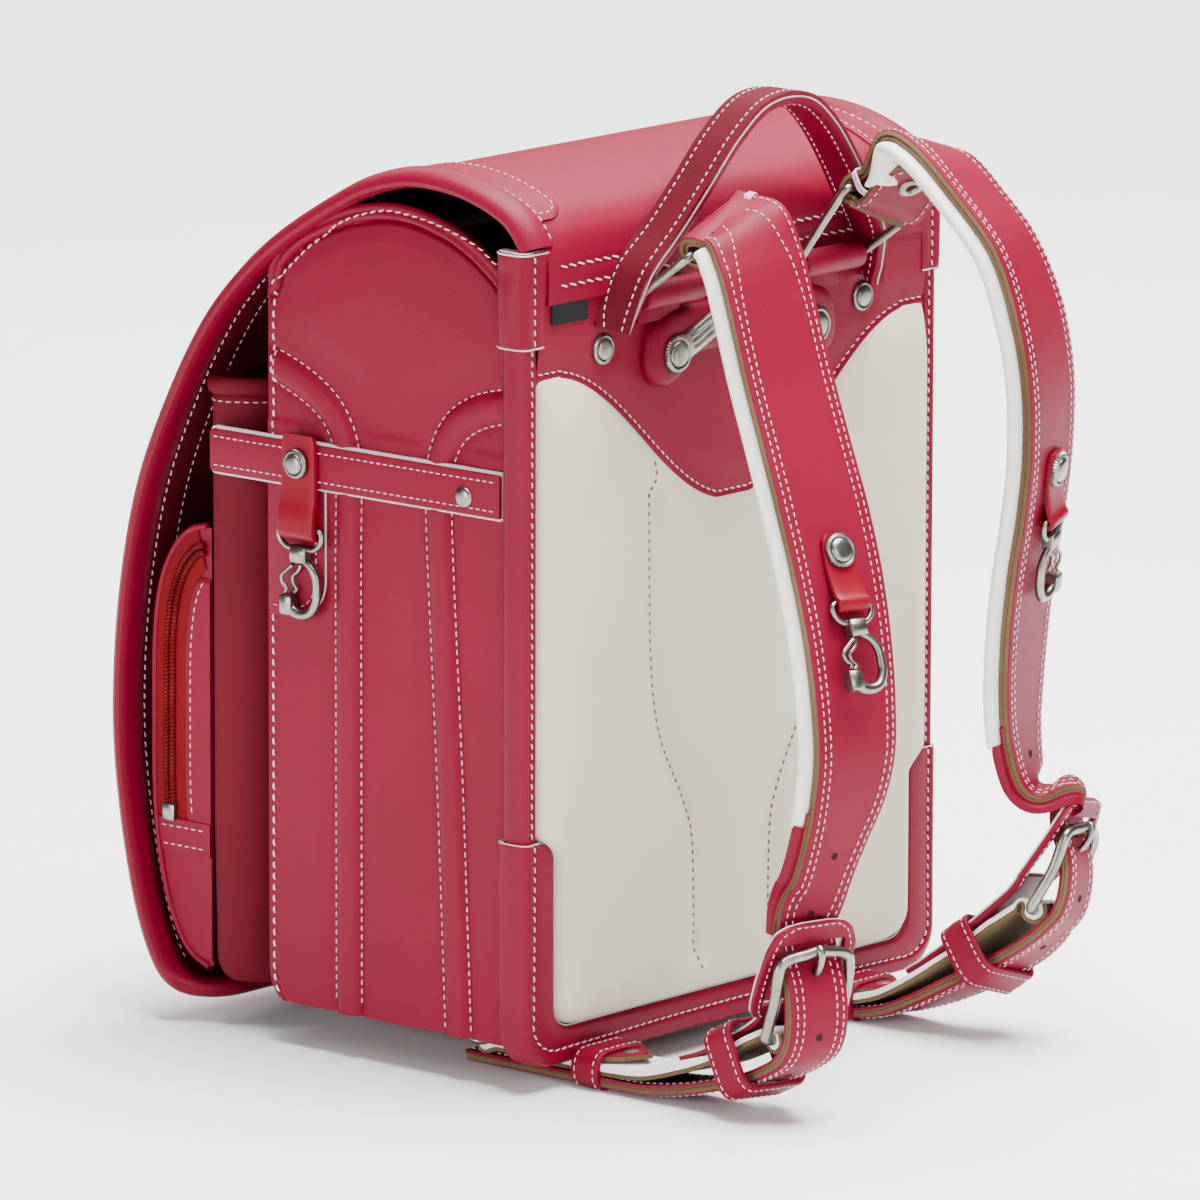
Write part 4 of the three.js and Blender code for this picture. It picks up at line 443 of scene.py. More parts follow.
def wire_mesh(points, diameter, closed=False, sides=12, normal=UP):
    """A round wire along points."""
    points = np.asarray(points, float)
    ahead = np.roll(points, -1, 0) if closed else np.vstack([points[1:], points[-1:]])
    behind = np.roll(points, 1, 0) if closed else np.vstack([points[:1], points[:-1]])
    along = unit(ahead - behind)
    across = unit(np.cross(np.asarray(normal, float), along))
    face = np.cross(along, across)
    angle = np.arange(sides) / sides * 2 * math.pi
    radius = np.broadcast_to(diameter, len(points))[:, None, None] / 2
    ring = (
        points[:, None]
        + across[:, None] * np.cos(angle)[None, :, None] * radius
        + face[:, None] * np.sin(angle)[None, :, None] * radius
    )
    if closed:
        return ring, grid_faces(len(points) + 1, sides, wrap=True) % (len(points) * sides)
    return ring, tube_faces(len(points), sides, flipped=True)


def curve_through(points, count, closed=False):
    pts = np.asarray(points, float)
    if not closed:
        return centripetal_spline(pts, count)[0]
    steps = 24  # to each stretch of the line that is then shared out evenly
    wrapped = np.vstack([pts[-2:], pts, pts[:3]])
    line = centripetal_spline(wrapped, (len(wrapped) - 1) * steps + 1)[0]
    line = line[2 * steps : (len(pts) + 2) * steps + 1]
    return at_length(line, np.linspace(0, lengths(line)[-1], count + 1)[:-1])


def outline_normals(outline):
    """Directions to the left of a closed outline, in its plane."""
    along = unit(np.roll(outline, -1, 0) - np.roll(outline, 1, 0))
    return np.stack([-along[:, 1], along[:, 0]], -1)


def line_normals(line):
    """Directions to the left of an open line, in its plane."""
    along = unit(np.gradient(line, axis=0))
    return np.stack([-along[:, 1], along[:, 0]], -1)


def turned(profile, at, axis, sides=40, knurl=None):
    """A turned piece from (radius, height) pairs; knurl = (first, last, depth, teeth) ribs some rings."""
    axis = unit(axis)
    a = unit(np.cross(UP if abs(axis[2]) < 0.9 else OUT, axis))
    b = np.cross(axis, a)
    sides = knurl[3] * 2 if knurl else sides
    angle = np.arange(sides) / sides * 2 * math.pi
    rings = []
    for k, (radius, height) in enumerate(profile):
        r = np.full(sides, float(radius))
        if knurl and knurl[0] <= k <= knurl[1]:
            r[::2] -= knurl[2]
        rings.append(
            np.asarray(at)
            + a * (np.cos(angle) * r)[:, None]
            + b * (np.sin(angle) * r)[:, None]
            + axis * height
        )
    return tube(np.array(rings))


# Stitches

STITCH_BEAD = 0.66  # a bead's radius, as a share of its row's thread
STITCH_SIDES = 6
STITCH_ALONG = np.array([-1, -0.78, 0, 0.78, 1])
STITCH_RISE = np.array([-1.0, 0.35, 0.6, 0.35, -1.0])
STITCH_ROUND = np.array([0.5, 0.95, 1.1, 0.95, 0.5])


class Stitching:
    """Real thread: each stitch is a short bead of thread whose ends dip into the leather."""

    def __init__(self, name, material=THREAD):
        self.name, self.material = name, material
        self.beads = []

    def row(self, line, normals, pitch=3.4, cover=0.6, radius=0.42, slant=0.0, side="left"):
        """Stitches along a line that is given on the left; cover is the thread's share of the pitch."""
        line = np.asarray(line, float)
        normals = np.broadcast_to(normals, line.shape)
        if side == "right":
            line, normals = mirror(line), mirror(normals)
        total = lengths(line)[-1]
        number = max(1, int(round(total / pitch)))
        where = (np.arange(number) + 0.5) * total / number
        centre = at_length(line, where)
        along = unit(at_length(line, np.minimum(where + 0.6, total)) - at_length(line, np.maximum(where - 0.6, 0)))
        up = np.stack([np.interp(where, lengths(line), normals[:, k]) for k in range(3)], -1)
        up = unit(up - along * np.sum(up * along, 1, keepdims=True))
        aside = np.cross(up, along)
        turn = math.radians(slant)
        ahead = along * math.cos(turn) + aside * math.sin(turn)
        aside = np.cross(up, ahead)
        radius *= STITCH_BEAD
        angle = np.arange(STITCH_SIDES) / STITCH_SIDES * 2 * math.pi
        local = np.array([
            [(x, math.cos(t) * r, z + math.sin(t) * r) for t in angle]
            for x, z, r in zip(
                STITCH_ALONG * total / number * cover / 2, STITCH_RISE * radius, STITCH_ROUND * radius
            )
        ])
        beads = (
            centre[:, None, None]
            + ahead[:, None, None] * local[..., :1]
            + aside[:, None, None] * local[..., 1:2]
            + up[:, None, None] * local[..., 2:]
        )
        faces = tube_faces(len(STITCH_ALONG), STITCH_SIDES, flipped=True)
        self.beads.extend((bead, faces) for bead in beads)

    def both(self, line, normals, **settings):
        """The same row on both sides of the bag."""
        self.row(line, normals, **settings)
        normals = np.broadcast_to(normals, np.shape(line))
        self.row(line[::-1], normals[::-1], side="right", **settings)

    def finish(self):
        add_mesh(self.name, join_parts(self.beads), self.material, sharp=None)


# Camera, floor and light: the photo looks down a little at the bag's back and left side

LOOK_AZIMUTH = math.radians(130.2)
LOOK_ELEVATION = math.radians(13.41)
LOOK_ROLL = math.radians(0.25)
FOCAL_PIXELS = 12000.0
LOOK_SCALE = 2.477  # pixels per millimetre at the target
TARGET = vec(0, 0, 19.5)
TARGET_PIXEL = (726.5, 993.5)
PICTURE = 1200


def place_camera():
    back = vec(
        math.sin(LOOK_AZIMUTH) * math.cos(LOOK_ELEVATION),
        -math.cos(LOOK_AZIMUTH) * math.cos(LOOK_ELEVATION),
        math.sin(LOOK_ELEVATION),
    )
    right = vec(math.cos(LOOK_AZIMUTH), math.sin(LOOK_AZIMUTH), 0)
    up = np.cross(back, right)
    right, up = (
        right * math.cos(LOOK_ROLL) + up * math.sin(LOOK_ROLL),
        up * math.cos(LOOK_ROLL) - right * math.sin(LOOK_ROLL),
    )
    eye = TARGET + back * FOCAL_PIXELS / LOOK_SCALE
    off = (PICTURE / 2 - TARGET_PIXEL[0]) / FOCAL_PIXELS
    low = (PICTURE / 2 - TARGET_PIXEL[1]) / FOCAL_PIXELS
    ahead = unit(-back + right * off - up * low)
    x = unit(right - ahead * right.dot(ahead))
    y = np.cross(x, ahead)
    eye = (eye + (0, BAG_SHIFT, 0)) / 1000
    data = bpy.data.cameras.new("photo_camera")
    data.lens = 360
    data.sensor_width = 36
    data.clip_end = 100
    camera = bpy.data.objects.new("photo_camera", data)
    bpy.context.scene.collection.objects.link(camera)
    camera.matrix_world = Matrix(
        (
            (x[0], y[0], -ahead[0], eye[0]),
            (x[1], y[1], -ahead[1], eye[1]),
            (x[2], y[2], -ahead[2], eye[2]),
            (0, 0, 0, 1),
        )
    )
    bpy.context.scene.camera = camera


def add_light(name, at, aim, wide, tall, power):
    data = bpy.data.lights.new(name, "AREA")
    data.shape = "RECTANGLE"
    data.size, data.size_y = wide, tall
    data.energy = power
    lamp = bpy.data.objects.new(name, data)
    bpy.context.scene.collection.objects.link(lamp)
    lamp.location = at
    lamp.rotation_euler = (Vector(aim) - Vector(at)).to_track_quat("-Z", "Y").to_euler()


FLOOR_HALF = 30.0
WORLD_LIGHT = 0.15
LAMPS = {  # where each lamp stands, where it looks, its width and height, and its power
    "overhead": ((-0.35, 0.2, 2.4), (0.05, 0, 0.1), 2.2, 2.0, 335),
    "left_fill": ((2.6, -0.3, 0.55), (0, 0, 0.25), 1.6, 0.9, 50),
    "far_wash": ((-3.0, -2.6, 2.6), (-3.6, -3.2, 0), 4.0, 4.0, 268),
    "back_fill": ((1.2, 2.8, 1.3), (0, 0, 0.2), 2.0, 1.6, 60),
}


def build_stage():
    mesh = bpy.data.meshes.new("floor")
    corners = [(x * FLOOR_HALF, y * FLOOR_HALF, 0) for x, y in ((-1, -1), (1, -1), (1, 1), (-1, 1))]
    mesh.from_pydata(corners, [], [(0, 1, 2, 3)])
    mesh.materials.append(FLOOR)
    floor = bpy.data.objects.new("floor", mesh)
    bpy.context.scene.collection.objects.link(floor)
    world = bpy.data.worlds.new("studio")
    bpy.context.scene.world = world
    world.use_nodes = True
    background = world.node_tree.nodes["Background"]
    background.inputs["Color"].default_value = (1, 1, 1, 1)
    background.inputs["Strength"].default_value = WORLD_LIGHT
    for name, lamp in LAMPS.items():
        add_light(name, *lamp)


place_camera()
build_stage()


# Flap

FLAP_ROWS = [
    (0, 0.869), (0.001, 0.916), (0.024, 0.951), (0.072, 0.976), (0.17, 0.996), (0.28, 1), (0.385, 0.984),
    (0.482, 0.953), (0.598, 0.907), (0.687, 0.86), (0.776, 0.796), (0.865, 0.7), (0.941, 0.587),
    (0.985, 0.456), (1, 0.322), (0.986, 0.211), (0.951, 0.103), (0.91, 0.038), (0.866, 0.008), (0.82, 0),
    (0.776, 0),
]
FLAP_LINE = uniform_spline(
    [
        (FLAP_BACK - deep * (FLAP_BACK + FLAP_DEPTH), FLAP_END + up * (CROWN - FLAP_END))
        for deep, up in FLAP_ROWS
    ],
    1601,
)
FLAP_LENGTH = lengths(FLAP_LINE)[-1]
FLAP_CORNER = 30.0


def over_flap(x, run, rise):
    """Points over the flap: x across, run along its profile from the back, rise out of its outer face."""
    x, run, rise = np.broadcast_arrays(*(np.asarray(a, float) for a in (x, run, rise)))
    inside = np.clip(run, 0, FLAP_LENGTH)
    middle = at_length(FLAP_LINE, inside)
    ahead = at_length(FLAP_LINE, np.minimum(inside + 0.6, FLAP_LENGTH))
    along = unit(ahead - at_length(FLAP_LINE, np.maximum(inside - 0.6, 0)))
    extra = run - inside
    return np.stack(
        [
            x,
            middle[..., 0] + along[..., 0] * extra + along[..., 1] * rise,
            middle[..., 1] + along[..., 1] * extra - along[..., 0] * rise,
        ],
        -1,
    )


def flap_normal(run):
    return unit(over_flap(0, run, 1) - over_flap(0, run, 0))


def flap_run_at(height):
    """How far along the flap its rear rises to this height."""
    rows = np.linspace(0, FLAP_LENGTH / 4, 400)
    return float(np.interp(height, over_flap(0, rows, 0)[:, 2], rows))


HEM_LOW, HEM_HIGH = flap_run_at(323.8), flap_run_at(331.5)
BEAD_START = flap_run_at(340.0)
STRIP_START = flap_run_at(349.0)
FLAP_HALF_IN = 115.0
SEAM_HALF = 108.0  # how far the flap's padding and its rear seams reach to each side
SEAM_DIP = 0.5
PUFF = 1.1


def flap_dips(x, run):
    """The flap's padding, and how its seams pull it down."""
    seams = np.exp(-(((run - HEM_LOW) / 1.3) ** 2)) + np.exp(-(((run - HEM_HIGH) / 1.3) ** 2))
    puff = PUFF * smooth((run - HEM_HIGH - 1) / 14) * smooth((FLAP_LENGTH - run) / 200)
    side = smooth((SEAM_HALF - np.abs(x)) / 14)
    return puff * side - SEAM_DIP * seams * (np.abs(x) < SEAM_HALF)


def build_flap():
    rows = np.concatenate([np.linspace(0, 40, 41), np.linspace(41, FLAP_LENGTH - 0.6, 190)])
    corner = FLAP_CORNER - 12
    left = FLAP_LENGTH - rows
    half = np.where(
        left >= corner,
        FLAP_HALF_IN,
        FLAP_HALF_IN - corner + np.sqrt(np.maximum(corner**2 - (corner - left) ** 2, 0)),
    )
    share = np.concatenate([np.linspace(-1, -0.9, 8), np.linspace(-0.88, 0.88, 45), np.linspace(0.9, 1, 8)])
    x = half[:, None] * share[None]
    run = np.broadcast_to(rows[:, None], x.shape)
    outer = over_flap(x, run, flap_dips(x, run))
    inner = over_flap(x, run, -FLAP_THICK)[:, ::-1]
    grid = np.concatenate([outer, inner], 1)
    rows, columns = grid.shape[:2]
    faces = [face[::-1] for face in tube_faces(rows, columns)]
    index = [0 if i % columns < len(share) else 1 for i in range(len(faces) - 2)] + [0, 0]
    add_mesh("flap_leather", (grid, faces, index), [RED, DARK], replaces=["flap"])


def binding_route(steps=150, corner_steps=18):
    """The route of the binding round the flap: x, run, and its outward direction over the flap."""
    inset = BINDING_WIDE / 2
    straight = FLAP_LENGTH - FLAP_CORNER
    run = np.linspace(BEAD_START, straight, steps)
    turn = np.linspace(0, math.pi / 2, corner_steps)[1:]
    radius = FLAP_CORNER - inset
    x = np.concatenate([np.full(steps, EDGE_HALF - inset), EDGE_HALF - FLAP_CORNER + radius * np.cos(turn)])
    run = np.concatenate([run, straight + radius * np.sin(turn)])
    out_x = np.concatenate([np.ones(steps), np.cos(turn)])
    out_run = np.concatenate([np.zeros(steps), np.sin(turn)])
    return tuple(
        np.concatenate([a, sign * a[::-1]]) for a, sign in ((x, -1), (run, 1), (out_x, -1), (out_run, 1))
    )


BINDING_SECTION = [  # (outwards over the flap, out of its face), from the inner edge round the roll
    (-9.5, 0.5), (-8.6, 1.0), (-7.4, 1.9), (-5.6, 2.7), (-3, 3.1), (-0.5, 3.0), (2, 2.4), (4.4, 1.3),
    (6.2, -0.4), (6.9, -2.2), (6.3, -3.8), (4.4, -4.8), (1.5, -5.1), (-2, -4.9), (-5, -4.4), (-7.4, -3.6),
    (-9, -2.8), (-9.5, -2.3), (-9.4, -0.9),
]


def build_flap_binding():
    x, run, out_x, out_run = binding_route()
    aside, rise = np.array(BINDING_SECTION).T
    grid = over_flap(
        x[:, None] + out_x[:, None] * aside,
        run[:, None] + out_run[:, None] * aside,
        np.broadcast_to(rise, (len(x), len(rise))),
    )
    add_mesh("flap_binding_roll", tube(grid), PINK, replaces=["flap_binding"])


STRIP_INNER, STRIP_OUTER = 95.5, 114.0
STRIP_RADIUS = 9.0


def strip_inner(run):
    """Inner edge of the strip sewn along each side of the flap, with its rounded rear end."""
    radius = STRIP_RADIUS
    reach = np.clip(radius - (run - STRIP_START), 0, radius)
    edge = STRIP_INNER + radius - np.sqrt(np.maximum(radius**2 - reach**2, 0))
    tail = smooth((run - (FLAP_LENGTH - 60)) / 40)
    return edge + tail * 10


def build_flap_strips():
    turn = np.linspace(0, math.pi / 2, 9)
    rows = np.concatenate([
        STRIP_START + STRIP_RADIUS * (1 - np.cos(turn)),
        np.linspace(STRIP_START + 11, FLAP_LENGTH - 32, 130),
    ])
    share = np.array([0, 0.02, 0.06, 0.3, 0.6, 0.8, 1])
    lift = np.array([0, 0.7, 1.0, 1.0, 0.95, 0.8, 0.3])
    edge = strip_inner(rows)[:, None]
    x = edge + (STRIP_OUTER - edge) * share
    run = np.broadcast_to(rows[:, None], x.shape)
    faces, rim_faces = grid_faces(len(rows), len(share)), grid_faces(2, len(share))
    for name, rise, foot, material, strip_faces in (
        ("upper", flap_dips(x, run) + lift, 0.0, RED, faces[:, ::-1]),
        ("lining", -FLAP_THICK - lift, -FLAP_THICK, DARK, faces),
    ):
        grid = over_flap(x, run, rise)
        rim = np.vstack([grid[0], over_flap(x[0], run[0], foot)])
        parts = [both_sides((grid, strip_faces)), (rim, rim_faces), (mirror(rim), rim_faces)]
        add_mesh(f"flap_strips_{name}", join_parts(parts), material)


build_flap()
build_flap_binding()
build_flap_strips()

flap_thread = Stitching("flap_stitches")


def sew_flap():
    run = np.linspace(BEAD_START + 2, FLAP_LENGTH - 30, 260)
    bead = {"pitch": 4.0, "slant": 6, "radius": 0.45}
    flap_thread.both(over_flap(111.0, run, 0.75), flap_normal(run), **bead)
    flap_thread.both(over_flap(110.6, run, -FLAP_THICK - 1.0), -flap_normal(run), **bead)
    start, radius, strip_x = STRIP_START + 3.2, 6.0, 98.6
    turn = np.linspace(0, math.pi / 2, 10)
    hook_run = start + radius * (1 - np.sin(turn))
    hook_x = strip_x + radius * (1 - np.cos(turn))
    straight = np.linspace(hook_run[0] + 1, FLAP_LENGTH - 60, 240)
    line_run = np.concatenate([[start, start], hook_run[::-1], straight])
    line_x = np.concatenate([[110.0, 107.0], hook_x[::-1], np.full(len(straight), strip_x)])
    normal = flap_normal(line_run)
    outside = over_flap(line_x, line_run, flap_dips(line_x, line_run) + 1.0)
    flap_thread.both(outside, normal, pitch=3.7, radius=0.36)
    flap_thread.both(over_flap(line_x, line_run, -FLAP_THICK - 1.0), -normal, pitch=3.7, radius=0.36)
    x = np.linspace(-SEAM_HALF, SEAM_HALF, 60)
    for run in (HEM_LOW, HEM_HIGH):
        hem = over_flap(x, run, -0.35)
        flap_thread.row(hem, flap_normal(run), pitch=5.1, slant=-16, radius=0.55, cover=0.78)


sew_flap()
flap_thread.finish()


# Sides, front wall and bottom of the main compartment

ARCH_ROWS = [
    (1, 0.885), (0.975, 0.915), (0.9, 0.945), (0.8, 0.968), (0.66, 0.99), (0.5, 1), (0.36, 0.994), (0.22, 0.975),
    (0.1, 0.945), (0.02, 0.915),
]
ARCH_LOW, ARCH_HIGH = 18.0, 350.0
ARCH = curve_through(
    [(-3.8 - deep * 135.2, ARCH_LOW + up * (ARCH_HIGH - ARCH_LOW)) for deep, up in ARCH_ROWS], 220
)
RIBS = {
    "front": [
        (-95, 16), (-95, 100), (-95, 200), (-95, 240), (-97, 252), (-103, 262), (-112, 269), (-125, 275),
        (-139, 279.5),
    ],
    "rear": [
        (-36.5, 16), (-41, 120), (-46.7, 225), (-46.7, 240), (-45, 252), (-38, 264), (-28, 271), (-16, 275),
        (-3.8, 277),
    ],
}
RIB_LINES = [curve_through(rows, 200) for rows in RIBS.values()]
RIB_HALF = 6.8
FRONT_SEAM = -134.6  # y of the stitch row down the side's front edge


def distance_to(line, y, z):
    """Shortest distance from points to a line of points, and to its segments, in the side's plane."""
    p = np.stack([y, z], -1)[..., None, :]
    a, b = line[:-1], line[1:]
    ab = b - a
    t = np.clip(np.sum((p - a) * ab, -1) / np.maximum(np.sum(ab * ab, -1), 1e-9), 0, 1)
    near = a + ab * t[..., None]
    return np.sqrt(np.min(np.sum((p - near) ** 2, -1), -1))


def side_height(y, z):
    """How far the sewn side stands out: arch lip, puffed panel, and ribs between their stitch rows."""
    arch = distance_to(ARCH[::4], y, z)
    lip = 1.5 * (1 - np.exp(-arch / 1.1)) - 0.75 * np.exp(-(((arch - 3.1) / 1.0) ** 2))
    groove = 0.9 * smooth((arch - 7.4) / 9) - 1.5 * smooth((arch - 6.2) / 0.9)
    groove -= 1.7 * np.exp(-(((arch - 7.0) / 1.0) ** 2))
    ribs = np.zeros_like(y)
    near = np.full_like(y, 99.0)
    for line in RIB_LINES:
        d = distance_to(line[::4], y, z)
        near = np.minimum(near, d)
        ribs = np.maximum(ribs, 2.4 * np.clip(1 - (d / (RIB_HALF - 0.5)) ** 2.6, 0, 1) ** 0.9)
    ribs *= smooth((y + 138.6) / 7)
    seam = -0.75 * np.exp(-(((near - RIB_HALF) / 1.1) ** 2))
    upper = smooth((z - 256) / 40) * smooth((near - RIB_HALF) / 22)
    dome = 1.7 * upper * smooth((arch - 7) / 30) * smooth((y + 137) / 20) * smooth((-8 - y) / 22)
    lower = 0.7 * smooth((near - RIB_HALF) / 10) * (z < 256)
    front = -1.8 * smooth((-136.2 - y) / 2.7) ** 2
    front -= 0.5 * np.exp(-(((y - FRONT_SEAM) / 1.0) ** 2)) * (z < 330)
    rear = -0.8 * smooth((y + 14) / 9)
    return lip + groove + ribs + seam + dome + lower + front + rear


def corner_turn(y, z):
    """Rounds the lower front corner of the side."""
    drop = np.clip((32 - z) / 14, 0, 1)
    return y + 9 * (1 - np.sqrt(1 - 0.98 * drop**2)) * smooth((-100 - y) / 36)


def build_sides():
    y = np.concatenate([np.linspace(-138.9, -130, 14), np.linspace(-129, -3.9, 128)])
    low, top = ARCH_LOW + 0.1, np.interp(y, ARCH[:, 0], ARCH[:, 1])
    share = np.concatenate([np.linspace(0, 0.9, 190), np.linspace(0.903, 1, 42)])
    yy = np.broadcast_to(y[None], (len(share), len(y)))
    zz = low + (top[None] - low) * share[:, None]
    grid = np.stack([SIDE_FACE + side_height(yy, zz), corner_turn(yy, zz), zz], -1)
    back = np.stack([np.full_like(yy[-1], 118.5), yy[-1], zz[-1] - 0.2], -1)
    lip = np.vstack([grid[-1], back])
    front = np.vstack([grid[:, 0], grid[:, 0] * (0, 1, 1) + (117.5, 0.1, 0)])
    panel = both_sides(
        (grid, grid_faces(len(share), len(y))[:, ::-1]),
        (lip, grid_faces(2, len(y))[:, ::-1]),
        (front, grid_faces(2, len(share))),
    )
    add_mesh("side_panels", panel, RED, replaces=["main_shell"])


WALL_PROFILE = [  # (y, z) along the outside, then back along the inside
    (-4, 18.2), (-60, 18.1), (-126, 18.2), (-131, 19.4), (-135.2, 22), (-138, 26.5), (-139, 33), (-139, 120),
    (-139, 230), (-138.8, 318), (-136.4, 318), (-136.4, 230), (-136.4, 120), (-136.4, 33), (-135.4, 28),
    (-132.6, 23.8), (-128, 21.2), (-60, 20.4), (-4, 20.4),
]


def build_walls():
    """Front wall and bottom as one bent sheet, with the back edge of the bottom."""
    grid = np.array([[(x, y, z) for y, z in WALL_PROFILE] for x in (-120.6, -119, -60, 0, 60, 119, 120.6)])
    add_mesh("front_wall_and_bottom", tube(grid), RED)


build_sides()
build_walls()

body_thread = Stitching("side_stitches")


def on_side(y, z, lift=0.0):
    return np.stack([SIDE_FACE + side_height(y, z) + lift, y, z], -1)


def sew_sides():
    for line in RIB_LINES:
        aside = line_normals(line)
        for offset in (-RIB_HALF, RIB_HALF):
            path = line + aside * offset
            path = path[(path[:, 0] > -132.5) & (path[:, 0] < -9.5) & (path[:, 1] > 19.5)]
            body_thread.both(on_side(path[:, 0], path[:, 1], 0.25), OUT, pitch=3.7, radius=0.4)
    joint = np.linspace(270.5, 284.5, 12)
    body_thread.both(on_side(np.full_like(joint, -132.5), joint, 0.25), OUT, pitch=3.7, radius=0.4)
    front = np.linspace(21, 308, 150)
    edge = corner_turn(np.full_like(front, FRONT_SEAM), front)
    body_thread.both(on_side(edge, front, 0.3), OUT, pitch=4.6, radius=0.68, slant=8)
    arch = curve_through([
        (-136, 310), (-124.5, 320), (-114, 329), (-98, 339.5), (-87, 344), (-74, 347), (-61, 346.5),
        (-45, 344), (-29, 339), (-18, 333), (-12, 329),
    ], 120)
    body_thread.both(on_side(arch[:, 0], arch[:, 1], 0.3), OUT, pitch=4.5, radius=0.55, slant=8)


sew_sides()


# Back panel: yoke, cushion, rolled binding, sleeves and corner guard


YOKE_HALF = 119.5
YOKE_TOP, YOKE_SHOULDER, YOKE_FALL = 327.0, 285.0, 62.0


def yoke_edge(x):
    """Height of the yoke's lower edge: a deep bow in the middle and level shoulders."""
    share = np.abs(x) / YOKE_HALF
    fall = np.where(share > 0.88, 0, np.cos(share / 0.88 * 0.94 * math.pi) * 0.5 + 0.5)
    return YOKE_SHOULDER - YOKE_FALL * np.clip(fall * 1.02, 0, 1)


def yoke_line(inset, count=200, reach=118.6):
    """A line that follows the yoke's lower edge, inset into the yoke."""
    x = np.linspace(-reach, reach, count)
    z = yoke_edge(x)
    slope = np.gradient(z, x)
    n = np.stack([-slope, np.ones_like(x)], -1) / np.sqrt(1 + slope**2)[:, None]
    return x + n[:, 0] * inset, z + n[:, 1] * inset


YOKE_SEAM = 4.6
YOKE_EDGE_LINE = np.stack(yoke_line(0, 160, 121), -1)


def yoke_height(x, z):
    d = distance_to(YOKE_EDGE_LINE, x, z)
    roll = 2.1 * (1 - np.exp(-d / 0.6))
    seam = -0.55 * np.exp(-(((d - YOKE_SEAM) / 1.1) ** 2))
    puff = 0.9 * smooth((d - 5) / 12)
    dents = -0.9 * np.exp(-(((np.abs(x) - 80) / 9) ** 2 + ((z - 295) / 9) ** 2) ** 2)
    return 0.2 + roll + seam + puff + dents


def build_yoke():
    x = np.linspace(-119.4, 119.4, 170)
    share = np.concatenate([np.linspace(0, 0.12, 16), np.linspace(0.13, 1, 60)])
    low = yoke_edge(x)
    xx = np.broadcast_to(x[None], (len(share), len(x)))
    zz = low[None] + (YOKE_TOP - low[None]) * share[:, None]
    grid = np.stack([xx, yoke_height(xx, zz), zz], -1)
    rim = np.vstack([grid[0], grid[0] * (1, 0, 1) + (0, 0.1, 0.3)])
    parts = [(grid, grid_faces(len(share), len(x))[:, ::-1]), (rim, grid_faces(2, len(x)))]
    add_mesh("yoke_leather", join_parts(parts), RED, replaces=["back_yoke"])


CUSHION_LOW = 25.2
CHANNEL_ROWS = [(0, 0.195), (0.22, 0.2), (0.3, 0.245), (0.42, 0.375), (0.55, 0.42), (0.8, 0.43), (1, 0.44)]
CHANNEL_LINE = uniform_spline(CHANNEL_ROWS, 200)


def channel_half(z):
    """How far each sewn channel lies from the middle at a height."""
    up = (z - CUSHION_LOW) / (YOKE_SHOULDER - CUSHION_LOW)
    return np.interp(up, CHANNEL_LINE[:, 0], CHANNEL_LINE[:, 1]) * YOKE_HALF


CUSHION_CORNER = 12.0


def cushion_edge(z):
    """Half width of the cushion: full beside the body, narrower between the corner guards."""
    narrow, full = 109.4, 119.3
    side = narrow + (full - narrow) * smooth((z - 94) / 12)
    reach = np.clip(CUSHION_CORNER - (z - CUSHION_LOW), 0, CUSHION_CORNER)
    return side - CUSHION_CORNER + np.sqrt(np.maximum(CUSHION_CORNER**2 - reach**2, 0))


def rolled(distance, reach, power):
    """0 at an edge, rising round to 1 at this reach from it."""
    return np.sqrt(np.clip(1 - (1 - np.clip(distance / reach, 0, 1)) ** power, 0, 1))


def cushion_height(x, z):
    edge = cushion_edge(z)
    seam = channel_half(z)
    a = np.abs(x)
    rim = rolled(np.maximum(edge - a, 0), 13, 2.2)
    low = rolled(np.maximum(z - CUSHION_LOW, 0), 16, 2.2)
    top = rolled(np.maximum(yoke_edge(x) + 3 - z, 0), 26, 2.0)
    share = np.clip((a - seam) / np.maximum(edge - seam, 1), 0, 1)
    lobe = 1.0 - 0.28 * (1 - share) ** 2 - 0.05 * share
    middle = 0.66 + 0.04 * np.cos(np.clip(a / np.maximum(seam, 1), 0, 1) * math.pi)
    out = smooth((a - seam + 6) / 12)
    body = middle * (1 - out) + lobe * out
    seam_on = smooth((yoke_edge(x) - 8 - z) / 10) * smooth((z - 34) / 10)
    pinch = (0.42 * np.exp(-((a - seam) / 9.0) ** 2) + 0.16 * np.exp(-((a - seam) / 1.8) ** 2)) * seam_on
    return 0.9 + 9.6 * np.clip(body - pinch, 0.05, 1.2) * rim * low * top


CUSHION_TOP = 288.0


def build_cushion():
    z = np.concatenate([CUSHION_LOW + 26 * np.linspace(0, 1, 34) ** 1.6, np.linspace(52.5, CUSHION_TOP, 190)])
    share = np.concatenate([np.linspace(-1, -0.86, 16), np.linspace(-0.85, 0.85, 160), np.linspace(0.86, 1, 16)])
    top = yoke_edge(cushion_edge(z)[:, None] * share) + 3
    up = (z - CUSHION_LOW) / (CUSHION_TOP - CUSHION_LOW)
    zz = CUSHION_LOW + (top - CUSHION_LOW) * up[:, None]
    xx = cushion_edge(zz) * share
    grid = np.stack([xx, cushion_height(xx, zz), zz], -1)
    ring = np.concatenate([grid[0], grid[1:, -1], grid[-1, -2::-1], grid[-2:0:-1, 0]])
    foot = ring * (1, 0, 1) + (0, 0.1, 0)
    part = join_parts([
        (grid, grid_faces(*xx.shape)[:, ::-1]),
        (np.vstack([ring, foot]), grid_faces(2, len(ring), wrap=True)),
    ])
    cushion = add_mesh("cushion_leather", part, CREAM, replaces=["back_cushion"], sharp=60)


build_yoke()
build_cushion()

back_thread = Stitching("back_stitches")
channel_thread = Stitching("channel_stitches", GREY_THREAD)


